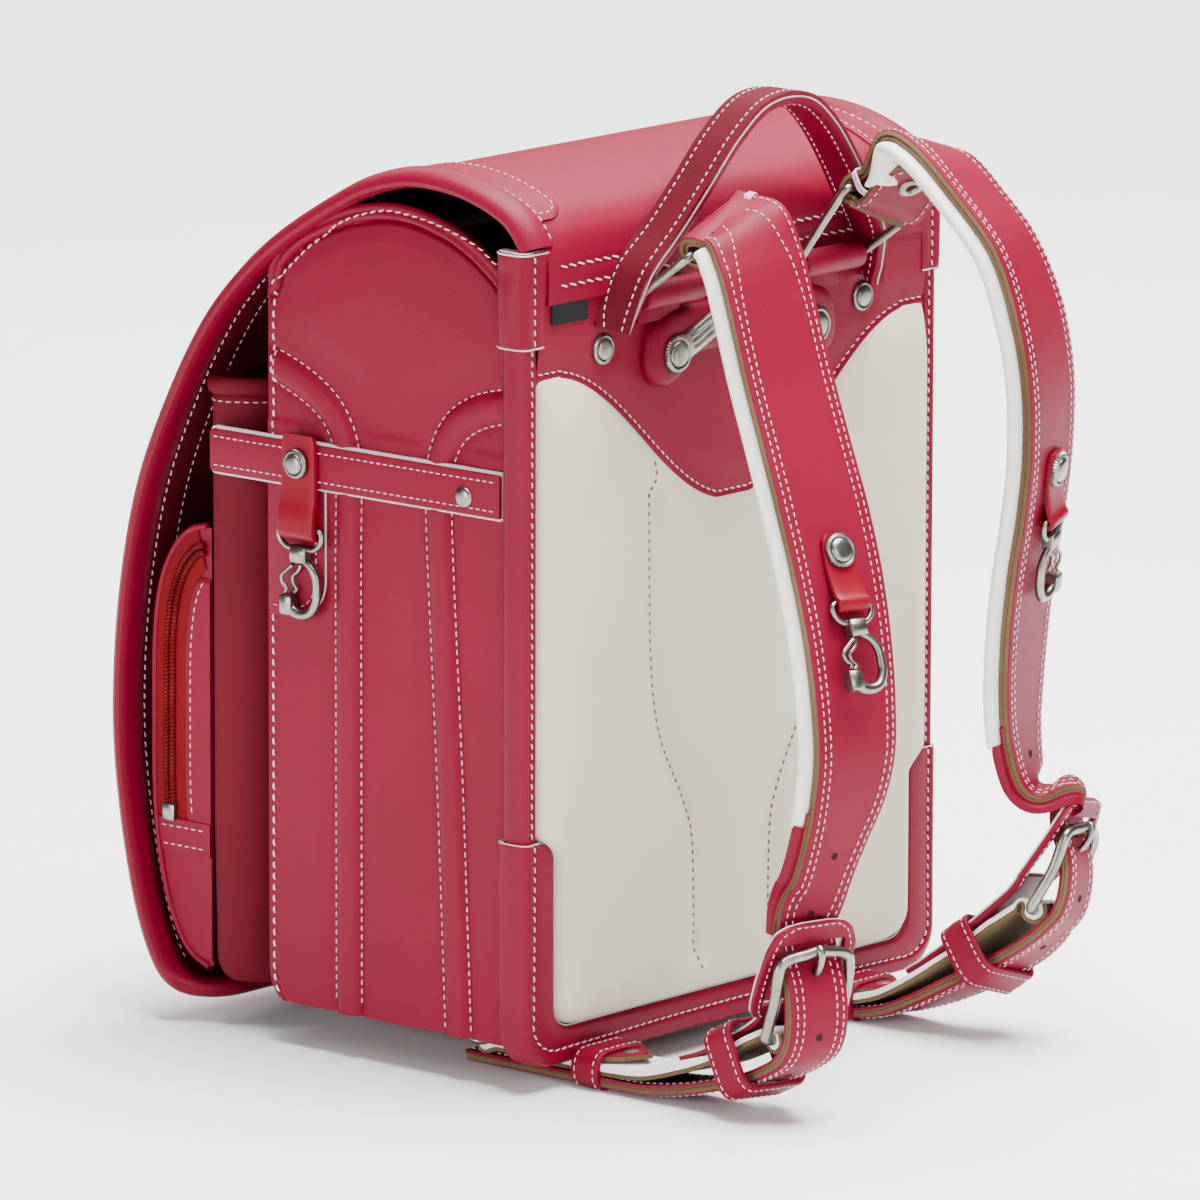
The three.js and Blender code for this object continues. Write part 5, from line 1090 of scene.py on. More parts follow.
def sew_back():
    x, z = yoke_line(YOKE_SEAM)
    line = np.stack([x, yoke_height(x, z) + 0.15, z], -1)
    back_thread.row(line, REAR, pitch=3.8, slant=-8, radius=0.45)
    z = np.linspace(34, 262, 200)
    x = channel_half(z)
    keep = z < yoke_edge(x) - 2
    x, z = x[keep], z[keep]
    line = np.stack([x, cushion_height(x, z) + 0.1, z], -1)
    channel_thread.both(line, REAR, pitch=3.7, radius=0.62, cover=0.5)


sew_back()
channel_thread.finish()


def frame_curve(side, low, radius, top, count=90, corner=20, bottom=60):
    """A U outline (x, z) down the left side, round the corner, along the bottom and up the right side."""
    z = np.linspace(top, low + radius, count)
    turn = np.linspace(0, math.pi / 2, corner)[1:]
    x0 = side - radius
    half = np.vstack([
        np.stack([np.full(count, side), z], -1),
        np.stack([x0 + radius * np.cos(turn), low + radius - radius * np.sin(turn)], -1),
        np.stack([np.linspace(x0, 0, bottom)[1:], np.full(bottom - 1, low)], -1),
    ])
    return np.vstack([half, (half * (-1, 1))[::-1][1:]])


BIND_TOP = 337.0
BIND_OUTER = frame_curve(EDGE_HALF, 11.0, 16, BIND_TOP)
BIND_INNER = frame_curve(119.8, 19.2, 7, BIND_TOP)
BIND_WIDE = np.linalg.norm(BIND_INNER - BIND_OUTER, axis=1)
BIND_GROOVE = np.interp(BIND_WIDE, [7.2, 9], [4.5, 7.0])


def ruled(outer, inner, section):
    """Points across a U frame, from a section of (distance in from the outer curve, y)."""
    toward = unit(inner - outer)
    points = []
    for inward, y in section:
        place = outer + toward * np.broadcast_to(inward, len(outer))[:, None]
        points.append(np.stack([place[:, 0], np.broadcast_to(y, len(outer)), place[:, 1]], -1))
    return np.stack(points, 1)


def build_binding():
    """Rolled edge: a bead along the outside, a stitch groove, and a thin lap over the back panel."""
    groove = BIND_GROOVE
    grid = ruled(BIND_OUTER, BIND_INNER, [
        (BIND_WIDE, 0.6), (BIND_WIDE, 2.2), (groove + 1.6, 2.75), (groove + 0.8, 2.55), (groove, 2.1),
        (groove - 0.8, 2.6), (groove - 1.8, 3.1), (groove - 3.0, 2.9), (0.9, 1.8), (0.2, 0.2), (0, -2.6),
        (0, -6), (0.4, -8.4), (1.6, -9.8), (3.4, -10.2), (5.9, -10.0), (6.0, -0.2),
    ])
    add_mesh("back_binding_roll", tube(grid), PINK, replaces=["back_binding"])
    line = ruled(BIND_OUTER, BIND_INNER, [(groove, 2.5)])[: len(groove) // 2 + 1, 0]
    back_thread.both(line[line[:, 2] > GUARD_TOP - 1], REAR, pitch=4.0, slant=8, radius=0.5)


build_binding()

GUARD_HALF, GUARD_LOW, GUARD_RADIUS = EDGE_HALF + 1.3, 9.7, 17.3
GUARD_OUTER = frame_curve(GUARD_HALF, GUARD_LOW, GUARD_RADIUS, GUARD_TOP, count=60)
GUARD_INNER = frame_curve(110, 24.7, 10, GUARD_TOP, count=60)
GUARD_END_RADIUS = 9.0


def build_guard():
    wide = np.linalg.norm(GUARD_INNER - GUARD_OUTER, axis=1)
    drop = np.clip(GUARD_END_RADIUS - (GUARD_TOP - GUARD_OUTER[:, 1]), 0, GUARD_END_RADIUS)
    reach = wide - (GUARD_END_RADIUS - np.sqrt(np.maximum(GUARD_END_RADIUS**2 - drop**2, 0)))
    corner = np.clip((GUARD_LOW + GUARD_RADIUS - GUARD_OUTER[:, 1]) / GUARD_RADIUS, 0, 1)
    groove = 5.9 + 2.7 * smooth(np.arcsin(corner) / (math.pi / 2))
    section = [
        (reach, 0.7), (reach, 3.0), (reach - 0.8, 3.9), (reach - 2.2, 4.2), (groove + 1.4, 4.2),
        (groove + 0.7, 4.0), (groove, 3.6), (groove - 0.7, 4.0), (groove - 1.6, 4.5), (groove - 3.0, 4.5),
        (1.6, 3.6), (0.4, 1.9), (0, -1.5), (0, -7), (0.5, -9.6), (2.0, -11.2), (4.5, -11.5), (6.5, -11.2),
        (6.6, -0.4),
    ]
    points, faces = tube(ruled(GUARD_OUTER, GUARD_INNER, section))
    index = [0] * (len(faces) - 2) + [1, 1]
    add_mesh("corner_guard_leather", (points, faces, index), [PINK, PALE_EDGE], replaces=["corner_guard"])
    line = ruled(GUARD_OUTER, GUARD_INNER, [(groove, 4.0)])[:, 0]
    back_thread.row(line, REAR, pitch=4.0, slant=8, radius=0.5)
    # A thin pale cut edge shows at the guard's tops and beside the cushion
    top_edge = points[0, 1:-2] + (0, 0, 0.15)
    for side in SIDES:
        add_mesh(f"guard_edge_{side}", wire_mesh(top_edge, 0.5, sides=8), PALE_EDGE, side)
    inner = ruled(GUARD_OUTER, GUARD_INNER, [(reach + 0.5, 2.4)])[:, 0]
    add_mesh("guard_lining_edge", wire_mesh(inner, 0.6, normal=REAR, sides=8), PALE_EDGE)


build_guard()

SLEEVE_LOW, SLEEVE_TOP = 300.0, 339.0
SLEEVE_CENTRE = np.array([121.5, -3.0])


def build_sleeves():
    """Leather sleeves that wrap the top ends of the binding."""
    z = np.concatenate([[300, 300.2, 300.8], np.linspace(302, 337, 22), [338.2, 338.8, 339]])
    up = (z - SLEEVE_LOW) / (SLEEVE_TOP - SLEEVE_LOW)
    swell = np.sin(up * math.pi) ** 0.6
    dent = 0.7 * np.exp(-(((up - 0.78) / 0.10) ** 2))
    end = np.clip(np.minimum(z - SLEEVE_LOW, SLEEVE_TOP - z), 0, 1) ** 0.5
    rings = []
    for k, height in enumerate(z):
        a = 0.9 + 0.9 * swell[k] - dent[k]
        inner = 113.2 + 3.0 * smooth((0.62 - up[k]) / 0.25)
        ring = np.array([
            (inner, 2.0), (inner + 0.6, 3.6), (inner + 3, 4.1), (121.4, 4.0), (122.5, 3.6), (123.6, 4.3),
            (126 + 0.6 * a, 3.9 + 0.3 * a), (128 + a * 0.7, 2.4), (128.4 + a, -0.5), (128.3 + a * 1.1, -5),
            (127.9 + a * 0.9, -9), (126.6 + a * 0.3, -11.6), (124, -12.4), (121.5, -12.2), (121.4, -6),
            (121.4, 0.6),
        ])
        ring = SLEEVE_CENTRE + (ring - SLEEVE_CENTRE) * (0.965 + 0.035 * end[k])
        rings.append([(x, y, height) for x, y in ring])
    grid, faces = tube(np.array(rings))
    sleeves = both_sides((grid, faces, [0] * (len(faces) - 2) + [1, 1]))
    add_mesh("top_sleeves", sleeves, [PINK, PALE_EDGE])
    edges = both_sides(*(wire_mesh(grid[row, 1:14], 0.7, sides=6) for row in (2, -3)))
    add_mesh("sleeve_edges", edges, PALE_EDGE)
    line = np.stack([np.full(30, 122.5), np.full(30, 3.9), np.linspace(301, 338, 30)], -1)
    back_thread.both(line, REAR, pitch=4.0, slant=8, radius=0.5)


build_sleeves()


# Handle

HANDLE_ROWS = [
    (1, 0, 0.28, 40, 0.72), (0.975, 0.09, 0.32, 25, 0.85), (0.9, 0.26, 0.46, 8, 1), (0.735, 0.44, 0.68, 0, 1),
    (0.56, 0.64, 0.85, 0, 1), (0.37, 0.84, 0.95, 0, 1), (0.18, 0.97, 1, 0, 1), (0, 1, 1, 0, 1),
]


HANDLE_HALF, HANDLE_OUT, HANDLE_FOOT, HANDLE_RISE, HANDLE_WIDE = 80.25, 19.0, 303.0, 85.25, 19.0


def handle_run(count=150):
    rows = []
    for side, up, out, turn, wide in HANDLE_ROWS:
        t = math.radians(turn)
        rows.append({
            "at": vec(side * HANDLE_HALF, out * HANDLE_OUT + 2.4, HANDLE_FOOT + up * HANDLE_RISE),
            "across": vec(-math.sin(t), math.cos(t), 0),
            "wide": wide * HANDLE_WIDE,
        })
    other = [{**row, "at": mirror(row["at"]), "across": mirror(row["across"])} for row in rows[-2::-1]]
    return Run(rows + other, count)


UNDER, EDGE, TOP = range(3)
LAYER_KINDS = [UNDER] * 3 + [EDGE] + [TOP] * 8 + [EDGE]


def layer(run, low, high, inset, soft=0.6, crown=0.0):
    """One leather layer of a strap between two heights; its index is UNDER, EDGE or TOP."""
    half = run.wide / 2 - inset
    n = len(run.row)
    shoulder, flank = soft * 0.3, high - soft
    places = [(-half, low), (-0.5 * half, low), (0.5 * half, low), (half, low), (half, flank)]
    places += [(half - shoulder, high - shoulder), (half - soft, high)]
    places += [(x * half, high + crown * (1 - x * x)) for x in (0.55, 0, -0.55)]
    places += [(soft - half, high), (shoulder - half, high - shoulder), (-half, flank)]
    section = np.stack([np.stack([across, np.broadcast_to(height, n)], -1) for across, height in places], 1)
    points, faces = sweep(run, section)
    index = [LAYER_KINDS[i % len(places)] for i in range(len(faces) - 2)] + [EDGE, EDGE]
    return points, faces, index


def tagged(part, under, edge, top):
    """A layer whose under side, edges and top take these materials."""
    points, faces, index = part
    return points, faces, [(under, edge, top)[kind] for kind in index]


def build_handle():
    run = handle_run()
    handle = join_parts([
        layer(run, -0.2, 2.6, 0.0, soft=1.1, crown=0.7),
        tagged(layer(run, -0.9, -0.2, -0.05, soft=0.2), 4, 4, 4),
        tagged(layer(run, -2.7, -0.9, 0.15, soft=0.4), 3, 0, 3),
    ])
    add_mesh("carry_handle", handle, [PINK, PINK, PINK, DARK, PALE_EDGE], replaces=["handle"])
    thread = Stitching("handle_stitches")
    for sign in (-1, 1):
        offset = sign * (run.wide / 2 - 3.4)
        thread.row(run.line(offset, 2.85), run.face, radius=0.4)
        thread.row(run.line(offset, -2.75), -run.face, radius=0.4)
    thread.finish()


build_handle()

# Rivet profiles: shares of the radius, and of the height above a base in millimetres
KNURLED_CAP = [
    (0.55, -0.4, 0), (0.96, -0.3, 0), (1, 0.15, 0), (1, 0, 0.36), (0.95, 0, 0.58), (0.84, 0, 0.68),
    (0.76, 0, 0.60), (0.71, 0, 0.30), (0.69, 0, 0.30), (0.67, 0, 0.66), (0.58, 0, 0.88), (0.38, 0, 0.99),
    (0.12, 0, 1.03),
]
PLAIN_CAP = [(0.6, -0.3, 0), (1, 0.1, 0), (0.97, 0, 0.35), (0.8, 0, 0.7), (0.5, 0, 0.93), (0.15, 0, 1)]
KNURL = (2, 6, 0.42, 36)


def rivet(name, side, at, axis, radius, height, replaces=(), knurl=KNURL):
    shares = KNURLED_CAP if knurl else PLAIN_CAP
    profile = [(across * radius, base + up * height) for across, base, up in shares]
    add_mesh(name, turned(profile, at, axis, knurl=knurl), NICKEL, side, replaces=replaces)


for side in SIDES:
    rivet(f"handle_rivet_cap_{side}", side, vec(80, 1.9, 295), REAR, 6.4, 2.9, [f"handle_rivet_{side}"])
    rivet(
        f"belt_rivet_cap_{side}", side, vec(126.0, -30, 238), OUT, 4.3, 1.7, [f"side_belt_rivet_{side}"],
        knurl=None,
    )
    rivet(f"side_stud_cap_{side}", side, vec(129.4, -116, 241), OUT, 6.2, 2.8, [f"side_stud_{side}"])


# Shoulder straps

LEFT_ROWS = [
    (0.33, 1.012, 0.01, 0, 22, 0.87), (0.395, 1.008, 0.02, 2, 19, 0.95), (0.46, 0.975, 0.06, 4, 12, 1),
    (0.52, 0.925, 0.11, 7, 5, 1), (0.6, 0.85, 0.17, 10, 0, 1), (0.7, 0.77, 0.26, 12, -3, 1),
    (0.79, 0.7, 0.35, 14, -4, 1), (0.868, 0.632, 0.44, 13, -5, 1), (0.935, 0.556, 0.53, 9, -5, 1),
    (0.98, 0.485, 0.62, 6, -5, 1), (1, 0.43, 0.69, 5, -5, 0.98), (0.988, 0.385, 0.74, 6, -5, 0.9),
    (0.96, 0.342, 0.8, 7, -5, 0.76), (0.928, 0.3, 0.86, 9, -4, 0.66), (0.9, 0.262, 0.93, 12, -2, 0.63),
]
RIGHT_ROWS = [
    (0.345, 1.03, 0.005, 0, 22, 0.8), (0.42, 1.07, 0.01, 0, 20, 0.86), (0.53, 1.065, 0.02, 5, 14, 1),
    (0.68, 1.02, 0.05, 12, 8, 1), (0.82, 0.965, 0.08, 17, 2, 1), (0.905, 0.89, 0.13, 15, -2, 1),
    (0.935, 0.81, 0.2, 15, -3, 1), (0.915, 0.73, 0.3, 16, -4, 1), (0.872, 0.66, 0.4, 16, -4, 1),
    (0.815, 0.585, 0.5, 16, -4, 1), (0.765, 0.505, 0.6, 17, -4, 1), (0.732, 0.43, 0.69, 18, -4, 0.95),
    (0.717, 0.375, 0.77, 18, -2, 0.78), (0.72, 0.33, 0.85, 18, 4, 0.66), (0.74, 0.3, 0.92, 18, 10, 0.63),
]
BUCKLES = {
    "left": {"out": 0.865, "up": 0.108, "turn": 15, "roll": 0, "lean": 16, "tail_x": 86},
    "right": {"out": 0.775, "up": 0.165, "turn": 17, "roll": 13, "lean": 20, "tail_x": 71},
}
TAILS = {
    "left": [
        (101, 15.5, -8), (88, 10.2, -6), (72, 5.6, -4), (56, 2.2, -2), (38, 0.2, 0), (18, 0, 0), (-10, 0, 0),
        (-32, 0, 0), (-52, 0, 0),
    ],
    "right": [
        (88, 31, 10), (76, 23, 12), (62, 15, 12), (48, 8, 8), (34, 2.6, 4), (20, 0.2, 0), (4, 0, 0),
        (-20, 0, 0), (-45, 0, 0),
    ],
}
LOWER = {
    "left": [(20, 0, 0), (40, 1.2, -1), (58, 6, -3), (72, 11, -5), (84, 17, -6), (94, 23, -6)],
    "right": [(14, 0, 0), (30, 3.2, 5), (45, 10, 10), (58, 18, 14), (70, 27, 14), (81, 37, 13)],
}
BELT_EYE = 4.7


def across_at(turn, roll):
    t, r = math.radians(turn), math.radians(roll)
    return vec(-math.cos(t) * math.cos(r), math.sin(t) * math.cos(r), math.sin(r))


RING_ACROSS = vec(-math.cos(math.radians(RING_TILT)), 0, math.sin(math.radians(RING_TILT)))
RING_UPWARD = unit(np.cross(vec(0, 1, 0), RING_ACROSS))


class BuckleFrame:
    """Axes of a buckle: across to its inner edge, up along its side bars, out of its face."""

    def __init__(self, side):
        s = BUCKLES[side]
        t, lean = math.radians(s["turn"]), math.radians(s["lean"])
        self.across = across_at(s["turn"], s["roll"])
        up = vec(0, 0, math.cos(lean)) + vec(math.sin(t), math.cos(t), 0) * math.sin(lean)
        self.up = unit(up - self.across * up.dot(self.across))
        self.face = unit(np.cross(self.across, self.up))
        self.origin = vec(BUCKLE_SPACING / 2, s["out"] * STRAP_REACH, s["up"] * RING_UPPER[2])

    def at(self, a, b, c):
        return self.origin + self.across * a + self.up * b + self.face * c


def floor_x(side, y):
    s = BUCKLES[side]
    start = s["out"] * STRAP_REACH
    share = smooth((start - np.asarray(y, float)) / (start - 45))
    return BUCKLE_SPACING / 2 + (s["tail_x"] - BUCKLE_SPACING / 2) * share


def floor_row(side, y, height, roll):
    return {"at": vec(float(floor_x(side, y)), y, height), "across": across_at(0, roll), "wide": TAIL_WIDE}


def strap_rows(side):
    rows = []
    radius = STRAP_THICK / 2 + RING_WIRE / 2 + 1.1
    for angle in (-80, -130, 180, 135, 95):
        a = math.radians(angle)
        at = vec(*RING_UPPER) + REAR * math.cos(a) * radius + RING_UPWARD * math.sin(a) * radius
        rows.append({"at": at, "across": RING_ACROSS, "wide": 0.85 * STRAP_WIDE})
    for out, up, drift, turn, roll, wide in LEFT_ROWS if side == "left" else RIGHT_ROWS:
        x = (RING_SPACING + (BUCKLE_SPACING - RING_SPACING) * drift) / 2
        at = vec(x, out * STRAP_REACH, up * RING_UPPER[2])
        rows.append({"at": at, "across": across_at(turn, roll), "wide": wide * STRAP_WIDE})
    buckle = BuckleFrame(side)
    for up, out in ((48, -10), (40, -9.6), (33, -7), (21.8, 3.2), (10.9, 8.2), (1, 9.5), (-8, 6.5)):
        rows.append({"at": buckle.at(0, up, out), "across": buckle.across, "wide": TAIL_WIDE})
    return rows + [floor_row(side, y, FLOOR_TAIL + lift, roll) for y, lift, roll in TAILS[side]]


# Rows of the strap's path where its layers start and end
PAD_FIRST = {"left": 5.3, "right": 5.0}
PAD_LAST = 17.2
BACKING_ROWS = (16.9, 21.2)
BEND_ROWS = (16.8, 23.0)
RED_BACK_ROW = 17.0
HOLE_ROW, HOLE_COUNT, HOLE_GAP = 17.6, 6, 25


def eased(values, reach):
    """Each value as a weighted mean of its neighbours, this many steps to each side."""
    kernel = np.hanning(2 * reach + 1)
    return np.convolve(np.pad(values, reach, mode="edge"), kernel / kernel.sum(), mode="valid")


def run_of(rows, count):
    run = Run(rows, count)
    run.wide = eased(run.wide, 7)
    return run


def ease_bend(run, first, last):
    """Round off the strap's path between two rows, where it turns into the buckle."""
    at, across = (np.stack([eased(rows[:, k], 13) for k in range(3)], -1) for rows in (run.at, run.across))
    share = (smooth((run.row - first) / 1.5) * smooth((last - run.row) / 1.5))[:, None]
    run.at = run.at + (at - run.at) * share
    run.along = unit(np.gradient(run.at, axis=0))
    across = run.across + (across - run.across) * share
    run.across = unit(across - run.along * np.sum(across * run.along, 1, keepdims=True))
    run.face = np.cross(run.along, run.across)


def build_strap_leather(side, run, half):
    back_from = int(np.argmin(np.abs(run.row - RED_BACK_ROW)))
    under = run.part(slice(back_from - 6, len(run.row)))
    under.wide = under.wide + 1.2
    strap = join_parts([
        tagged(layer(run, -0.2, half, 0, soft=0.7, crown=0.25), 1, 1, 0),
        tagged(layer(run.part(slice(0, back_from)), -half, -0.4, 0.6, soft=0.3), 0, 1, 0),
        tagged(layer(under, -half, -0.4, 0.0, soft=0.5), 2, 4, 1),
    ])
    leathers = [RED, RAW, DARK, WHITE, PINK]
    add_mesh(f"strap_leather_{side}", strap, leathers, side, replaces=[f"strap_{side}"])


def build_strap_padding(side, run, half):
    """The padded white lining, fuller than the leather on both sides."""
    pad = run.part((run.row >= PAD_FIRST[side]) & (run.row <= PAD_LAST))
    place = np.linspace(0, 1, len(pad.row))
    ends = np.clip(np.minimum(place / 0.06, (1 - place) / 0.006), 0, 1) ** 0.5
    a = (pad.wide / 2 + 3.3) * (0.82 + 0.18 * ends)
    angle = np.linspace(0, 2 * math.pi, 33)[:-1]
    cx = np.sign(np.cos(angle)) * np.abs(np.cos(angle)) ** 0.55
    cz = np.sign(np.sin(angle)) * np.abs(np.sin(angle)) ** 0.8
    section = np.stack([a[:, None] * cx[None], -half - 3.6 + (1.2 + 2.9 * ends[:, None]) * cz[None]], -1)
    name = f"strap_padding_{side}"
    padding = add_mesh(name, sweep(pad, section), WHITE, side, replaces=[f"strap_pad_{side}"], sharp=60)


def sew_strap(side, run, half):
    """An outer row at each edge, and an inner one that starts further in at the top."""
    thread = Stitching(f"strap_stitches_{side}")
    outer = run.part(run.row >= 4.6)
    inner = run.part(run.row > 5.2)
    tail = run.part(run.row >= 21)
    for flank in (-1, 1):
        for piece, inset in ((outer, 2.6), (inner, 5.6 + 7.0 * (1 - smooth((inner.row - 5.0) / 3.4)))):
            line = piece.line(flank * (piece.wide / 2 - inset), half + 0.22)
            thread.row(line, piece.face, radius=0.38, side=side)
        line = tail.line(flank * (tail.wide / 2 - 2.6), -half - 0.05)
        thread.row(line, -tail.face, radius=0.38, side=side)
    thread.finish()


def punch_strap(side, run, half):
    """Punched holes down the middle of the strap, drawn as thin dark discs of painted shade in place of open
    holes.
    """
    total = lengths(run.at)
    start = float(np.interp(HOLE_ROW, run.row, total))
    holes = []
    for where in start + HOLE_GAP * np.arange(HOLE_COUNT):
        i = int(np.argmin(np.abs(run.row - np.interp(where, total, run.row))))
        at = at_length(run.at, where) + run.face[i] * half
        holes.append(turned([(1.55, 0.3), (1.5, 0.42), (1.2, 0.36), (0.9, 0.2)], at, run.face[i], sides=20))
    add_mesh(f"strap_holes_{side}", join_parts(holes), HOLE_SHADE, side)


def build_strap(side):
    run = run_of(strap_rows(side), 420)
    ease_bend(run, *BEND_ROWS)
    half = STRAP_THICK / 2
    build_strap_leather(side, run, half)
    build_strap_padding(side, run, half)
    lower = run.part((run.row >= BACKING_ROWS[0]) & (run.row <= BACKING_ROWS[1]))
    lower.wide = lower.wide + 6.4 * (1 - 0.7 * smooth((lower.row - 19.2) / 1.6))
    add_mesh(f"strap_backing_{side}", layer(lower, -half - 3.6, -half + 0.1, 0, soft=1.6), PINK, side)
    sew_strap(side, run, half)
    punch_strap(side, run, half)
    return run


STRAP_RUNS = {side: build_strap(side) for side in SIDES}


def build_buckle_metal(side, frame):
    a = TAIL_WIDE / 2 + 1.2 + BUCKLE_WIRE / 2
    t = BUCKLE_TALL
    flank = [(a - 0.3, -1.2, 0), (a, 3, 0.6), (a, t * 0.5, 1.8), (a, t - 6, 0.9), (a - 0.8, t - 2.2, 0.4)]
    flank += [(a - 3.6, t - 0.2, 0.1), (5, t + 1.7, 0.8)]
    corners = [(-a + 0.3, -1.2, 0), (-a + 2.2, -2.1, 0), (0, -2.2, 0), (a - 2.2, -2.1, 0), *flank]
    corners += [(0, t + 2.6, 1.0)] + [(-x, y, z) for x, y, z in flank[:0:-1]]
    line = curve_through([frame.at(*corner) for corner in corners], 200, closed=True)
    loop = wire_mesh(line, BUCKLE_WIRE * 1.04, closed=True, sides=16, normal=frame.face)
    tip = [(t + 4.2, 1.6), (t + 3.2, 3.7), (t - 1.0, 4.3), (t - 5.5, 3.4), (t - 8, 1.6)]
    pin_line = curve_through([frame.at(0, up, out) for up, out in tip], 30)
    pin = wire_mesh(pin_line, np.linspace(3.6, 2.4, 30), normal=frame.across)
    add_mesh(f"buckle_metal_{side}", join_parts([loop, pin]), NICKEL, side, replaces=[f"buckle_{side}"])


LEAF_SLOT = (9.0, 38.5)  # how far up the buckle its leaf's slot starts and ends


def build_buckle_leaf(side, frame):
    """The leaf behind the buckle, as one stitched piece with a slot for the strap."""
    t = BUCKLE_TALL
    lean = -BUCKLE_WIRE / 2 - 0.3 - TAB_THICK / 2
    rows = [
        {"at": frame.at(0, up, lean + out), "across": frame.across, "wide": wide * TAB_WIDE}
        for up, out, wide in (
            (t + 13.5, 0.8, 0.30), (t + 12.6, 0.7, 0.60), (t + 9.5, 0.2, 0.84), (t + 2, 0, 1),
            (t * 0.62, -2.5, 1), (t * 0.25, -5.6, 0.92), (0, -9, 0.6),
        )
    ]
    belt = lower_rows(side)
    for row, wide in ((belt[-3], 0.56), (belt[-4], 0.5)):
        over = row["at"] + row["up"] * (LOWER_THICK / 2 + 0.3 + TAB_THICK / 2 + 0.6)
        rows.append({"at": over, "across": row["across"], "wide": wide * TAB_WIDE})
    run = run_of(rows, 120)
    up = np.sum((run.at - frame.origin) * frame.up, 1)
    half = TAB_THICK / 2
    open_half = TAIL_WIDE / 2 + 1.6
    cut = np.where((up > LEAF_SLOT[0]) & (up < LEAF_SLOT[1]) & (run.row < 6))[0]
    first, last = cut[0], cut[-1]
    parts = []
    for keep, from_left, to_right in (
        (slice(0, first + 1), True, True),
        (slice(first, last + 1), True, False),
        (slice(first, last + 1), False, True),
        (slice(last, len(run.row)), True, True),
    ):
        piece = run.part(keep)
        outer = piece.wide / 2
        low = -outer if from_left else np.full_like(outer, open_half)
        high = outer if to_right else np.full_like(outer, -open_half)
        piece.at = piece.at + piece.across * ((low + high) / 2)[:, None]
        piece.wide = high - low
        parts.append(tagged(layer(piece, -half + 0.8, half, 0, soft=0.7), 0, 0, 0))
        parts.append(tagged(layer(piece, -half, -half + 0.8, -0.15, soft=0.2), 1, 2, 2))
    leathers = [PINK, DARK, PALE_EDGE]
    add_mesh(f"buckle_leaf_{side}", join_parts(parts), leathers, side, replaces=[f"buckle_tab_{side}"])
    thread = Stitching(f"leaf_stitches_{side}")
    upper = run.part((run.row > 0.9) & (run.row < 5.6))
    left, right = (upper.line(flank * (upper.wide / 2 - 3.0), half + 0.1) for flank in (-1, 1))
    normal = np.vstack([upper.face[::-1], upper.face])
    thread.row(np.vstack([left[::-1], right]), normal, pitch=3.2, radius=0.36, side=side)
    thread.finish()


def lower_rows(side):
    start = [(BOTTOM_RING_Y + BELT_EYE + 1, 1.2, 0), (BOTTOM_RING_Y + 22, 0, 0), (0, 0, 0)]
    rows = [floor_row(side, y, FLOOR_BELT + lift, roll) for y, lift, roll in start + LOWER[side]]
    for i, row in enumerate(rows):
        along = unit(rows[min(i + 1, len(rows) - 1)]["at"] - rows[max(i - 1, 0)]["at"])
        up = unit(np.cross(along, row["across"]))
        row["up"] = up if up[2] > 0 else -up
    return rows


def bottom_ring_at(side):
    """Middle of the bottom ring's bar, which the belt's eye goes round."""
    height = FLOOR_BELT - LOWER_THICK / 2 + BELT_EYE + 0.1
    return vec(float(floor_x(side, BOTTOM_RING_Y)), BOTTOM_RING_Y, height)


def build_lower(side, frame):
    """The lower belt, from its eye round the bottom ring to its eye round the buckle's bar."""
    ring, eye = bottom_ring_at(side), BELT_EYE - 1.3
    rows = []
    for angle in (80, 130, 180, 230, 265):
        a = math.radians(angle)
        rows.append({"at": ring + vec(0, math.cos(a), math.sin(a)) * eye, "across": -OUT, "wide": TAIL_WIDE})
    rows += lower_rows(side)
    for angle in (-90, -30, 30, 90, 150):
        a = math.radians(angle)
        at = frame.at(0, -2, 0) + (frame.face * math.sin(a) - frame.up * math.cos(a)) * 3.9
        rows.append({"at": at, "across": frame.across, "wide": TAIL_WIDE - 1})
    run = Run(rows, 260)
    if run.face[len(run.row) // 2][2] <= 0:  # the belt's white face looks up
        run = run.turned_over()
    half = LOWER_THICK / 2 - 0.2
    belt = join_parts([
        tagged(layer(run, -0.3, half, 0, soft=0.8, crown=0.2), 1, 0, 0),
        tagged(layer(run, -half, -0.3, 0.2, soft=0.3), 1, 1, 1),
    ])
    add_mesh(f"lower_belt_{side}", belt, [WHITE, RAW], side, replaces=[f"lower_strap_{side}"])


for side in SIDES:
    buckle = BuckleFrame(side)
    build_buckle_metal(side, buckle)
    build_buckle_leaf(side, buckle)
    build_lower(side, buckle)

back_thread.finish()
body_thread.finish()


# Front pouch: rounded folded sides, rolled hem, leaning front

POUCH_SIDE = [
    (-175.0, 60), (-175.0, 100), (-174.9, 110), (-173.8, 115.2), (-171, 117.9), (-166.5, 118.4),
    (-161, 116.4), (-155, 112.4), (-149.5, 106.5), (-145, 99), (-142, 92), (-140.4, 88), (-139.6, 86),
]
POUCH_BASE, POUCH_SEAM = 18.6, 258.6
POUCH_HEM = [  # (height, how far out): a rolled hem, then down the inside
    (261.3, 0.6), (262.2, 1.6), (264, 2.2), (266, 2.1), (267.6, 1.3), (268.4, 0.1), (268.4, -1.4), (267, -2.6),
    (262, -2.8), (200, -2.8),
]


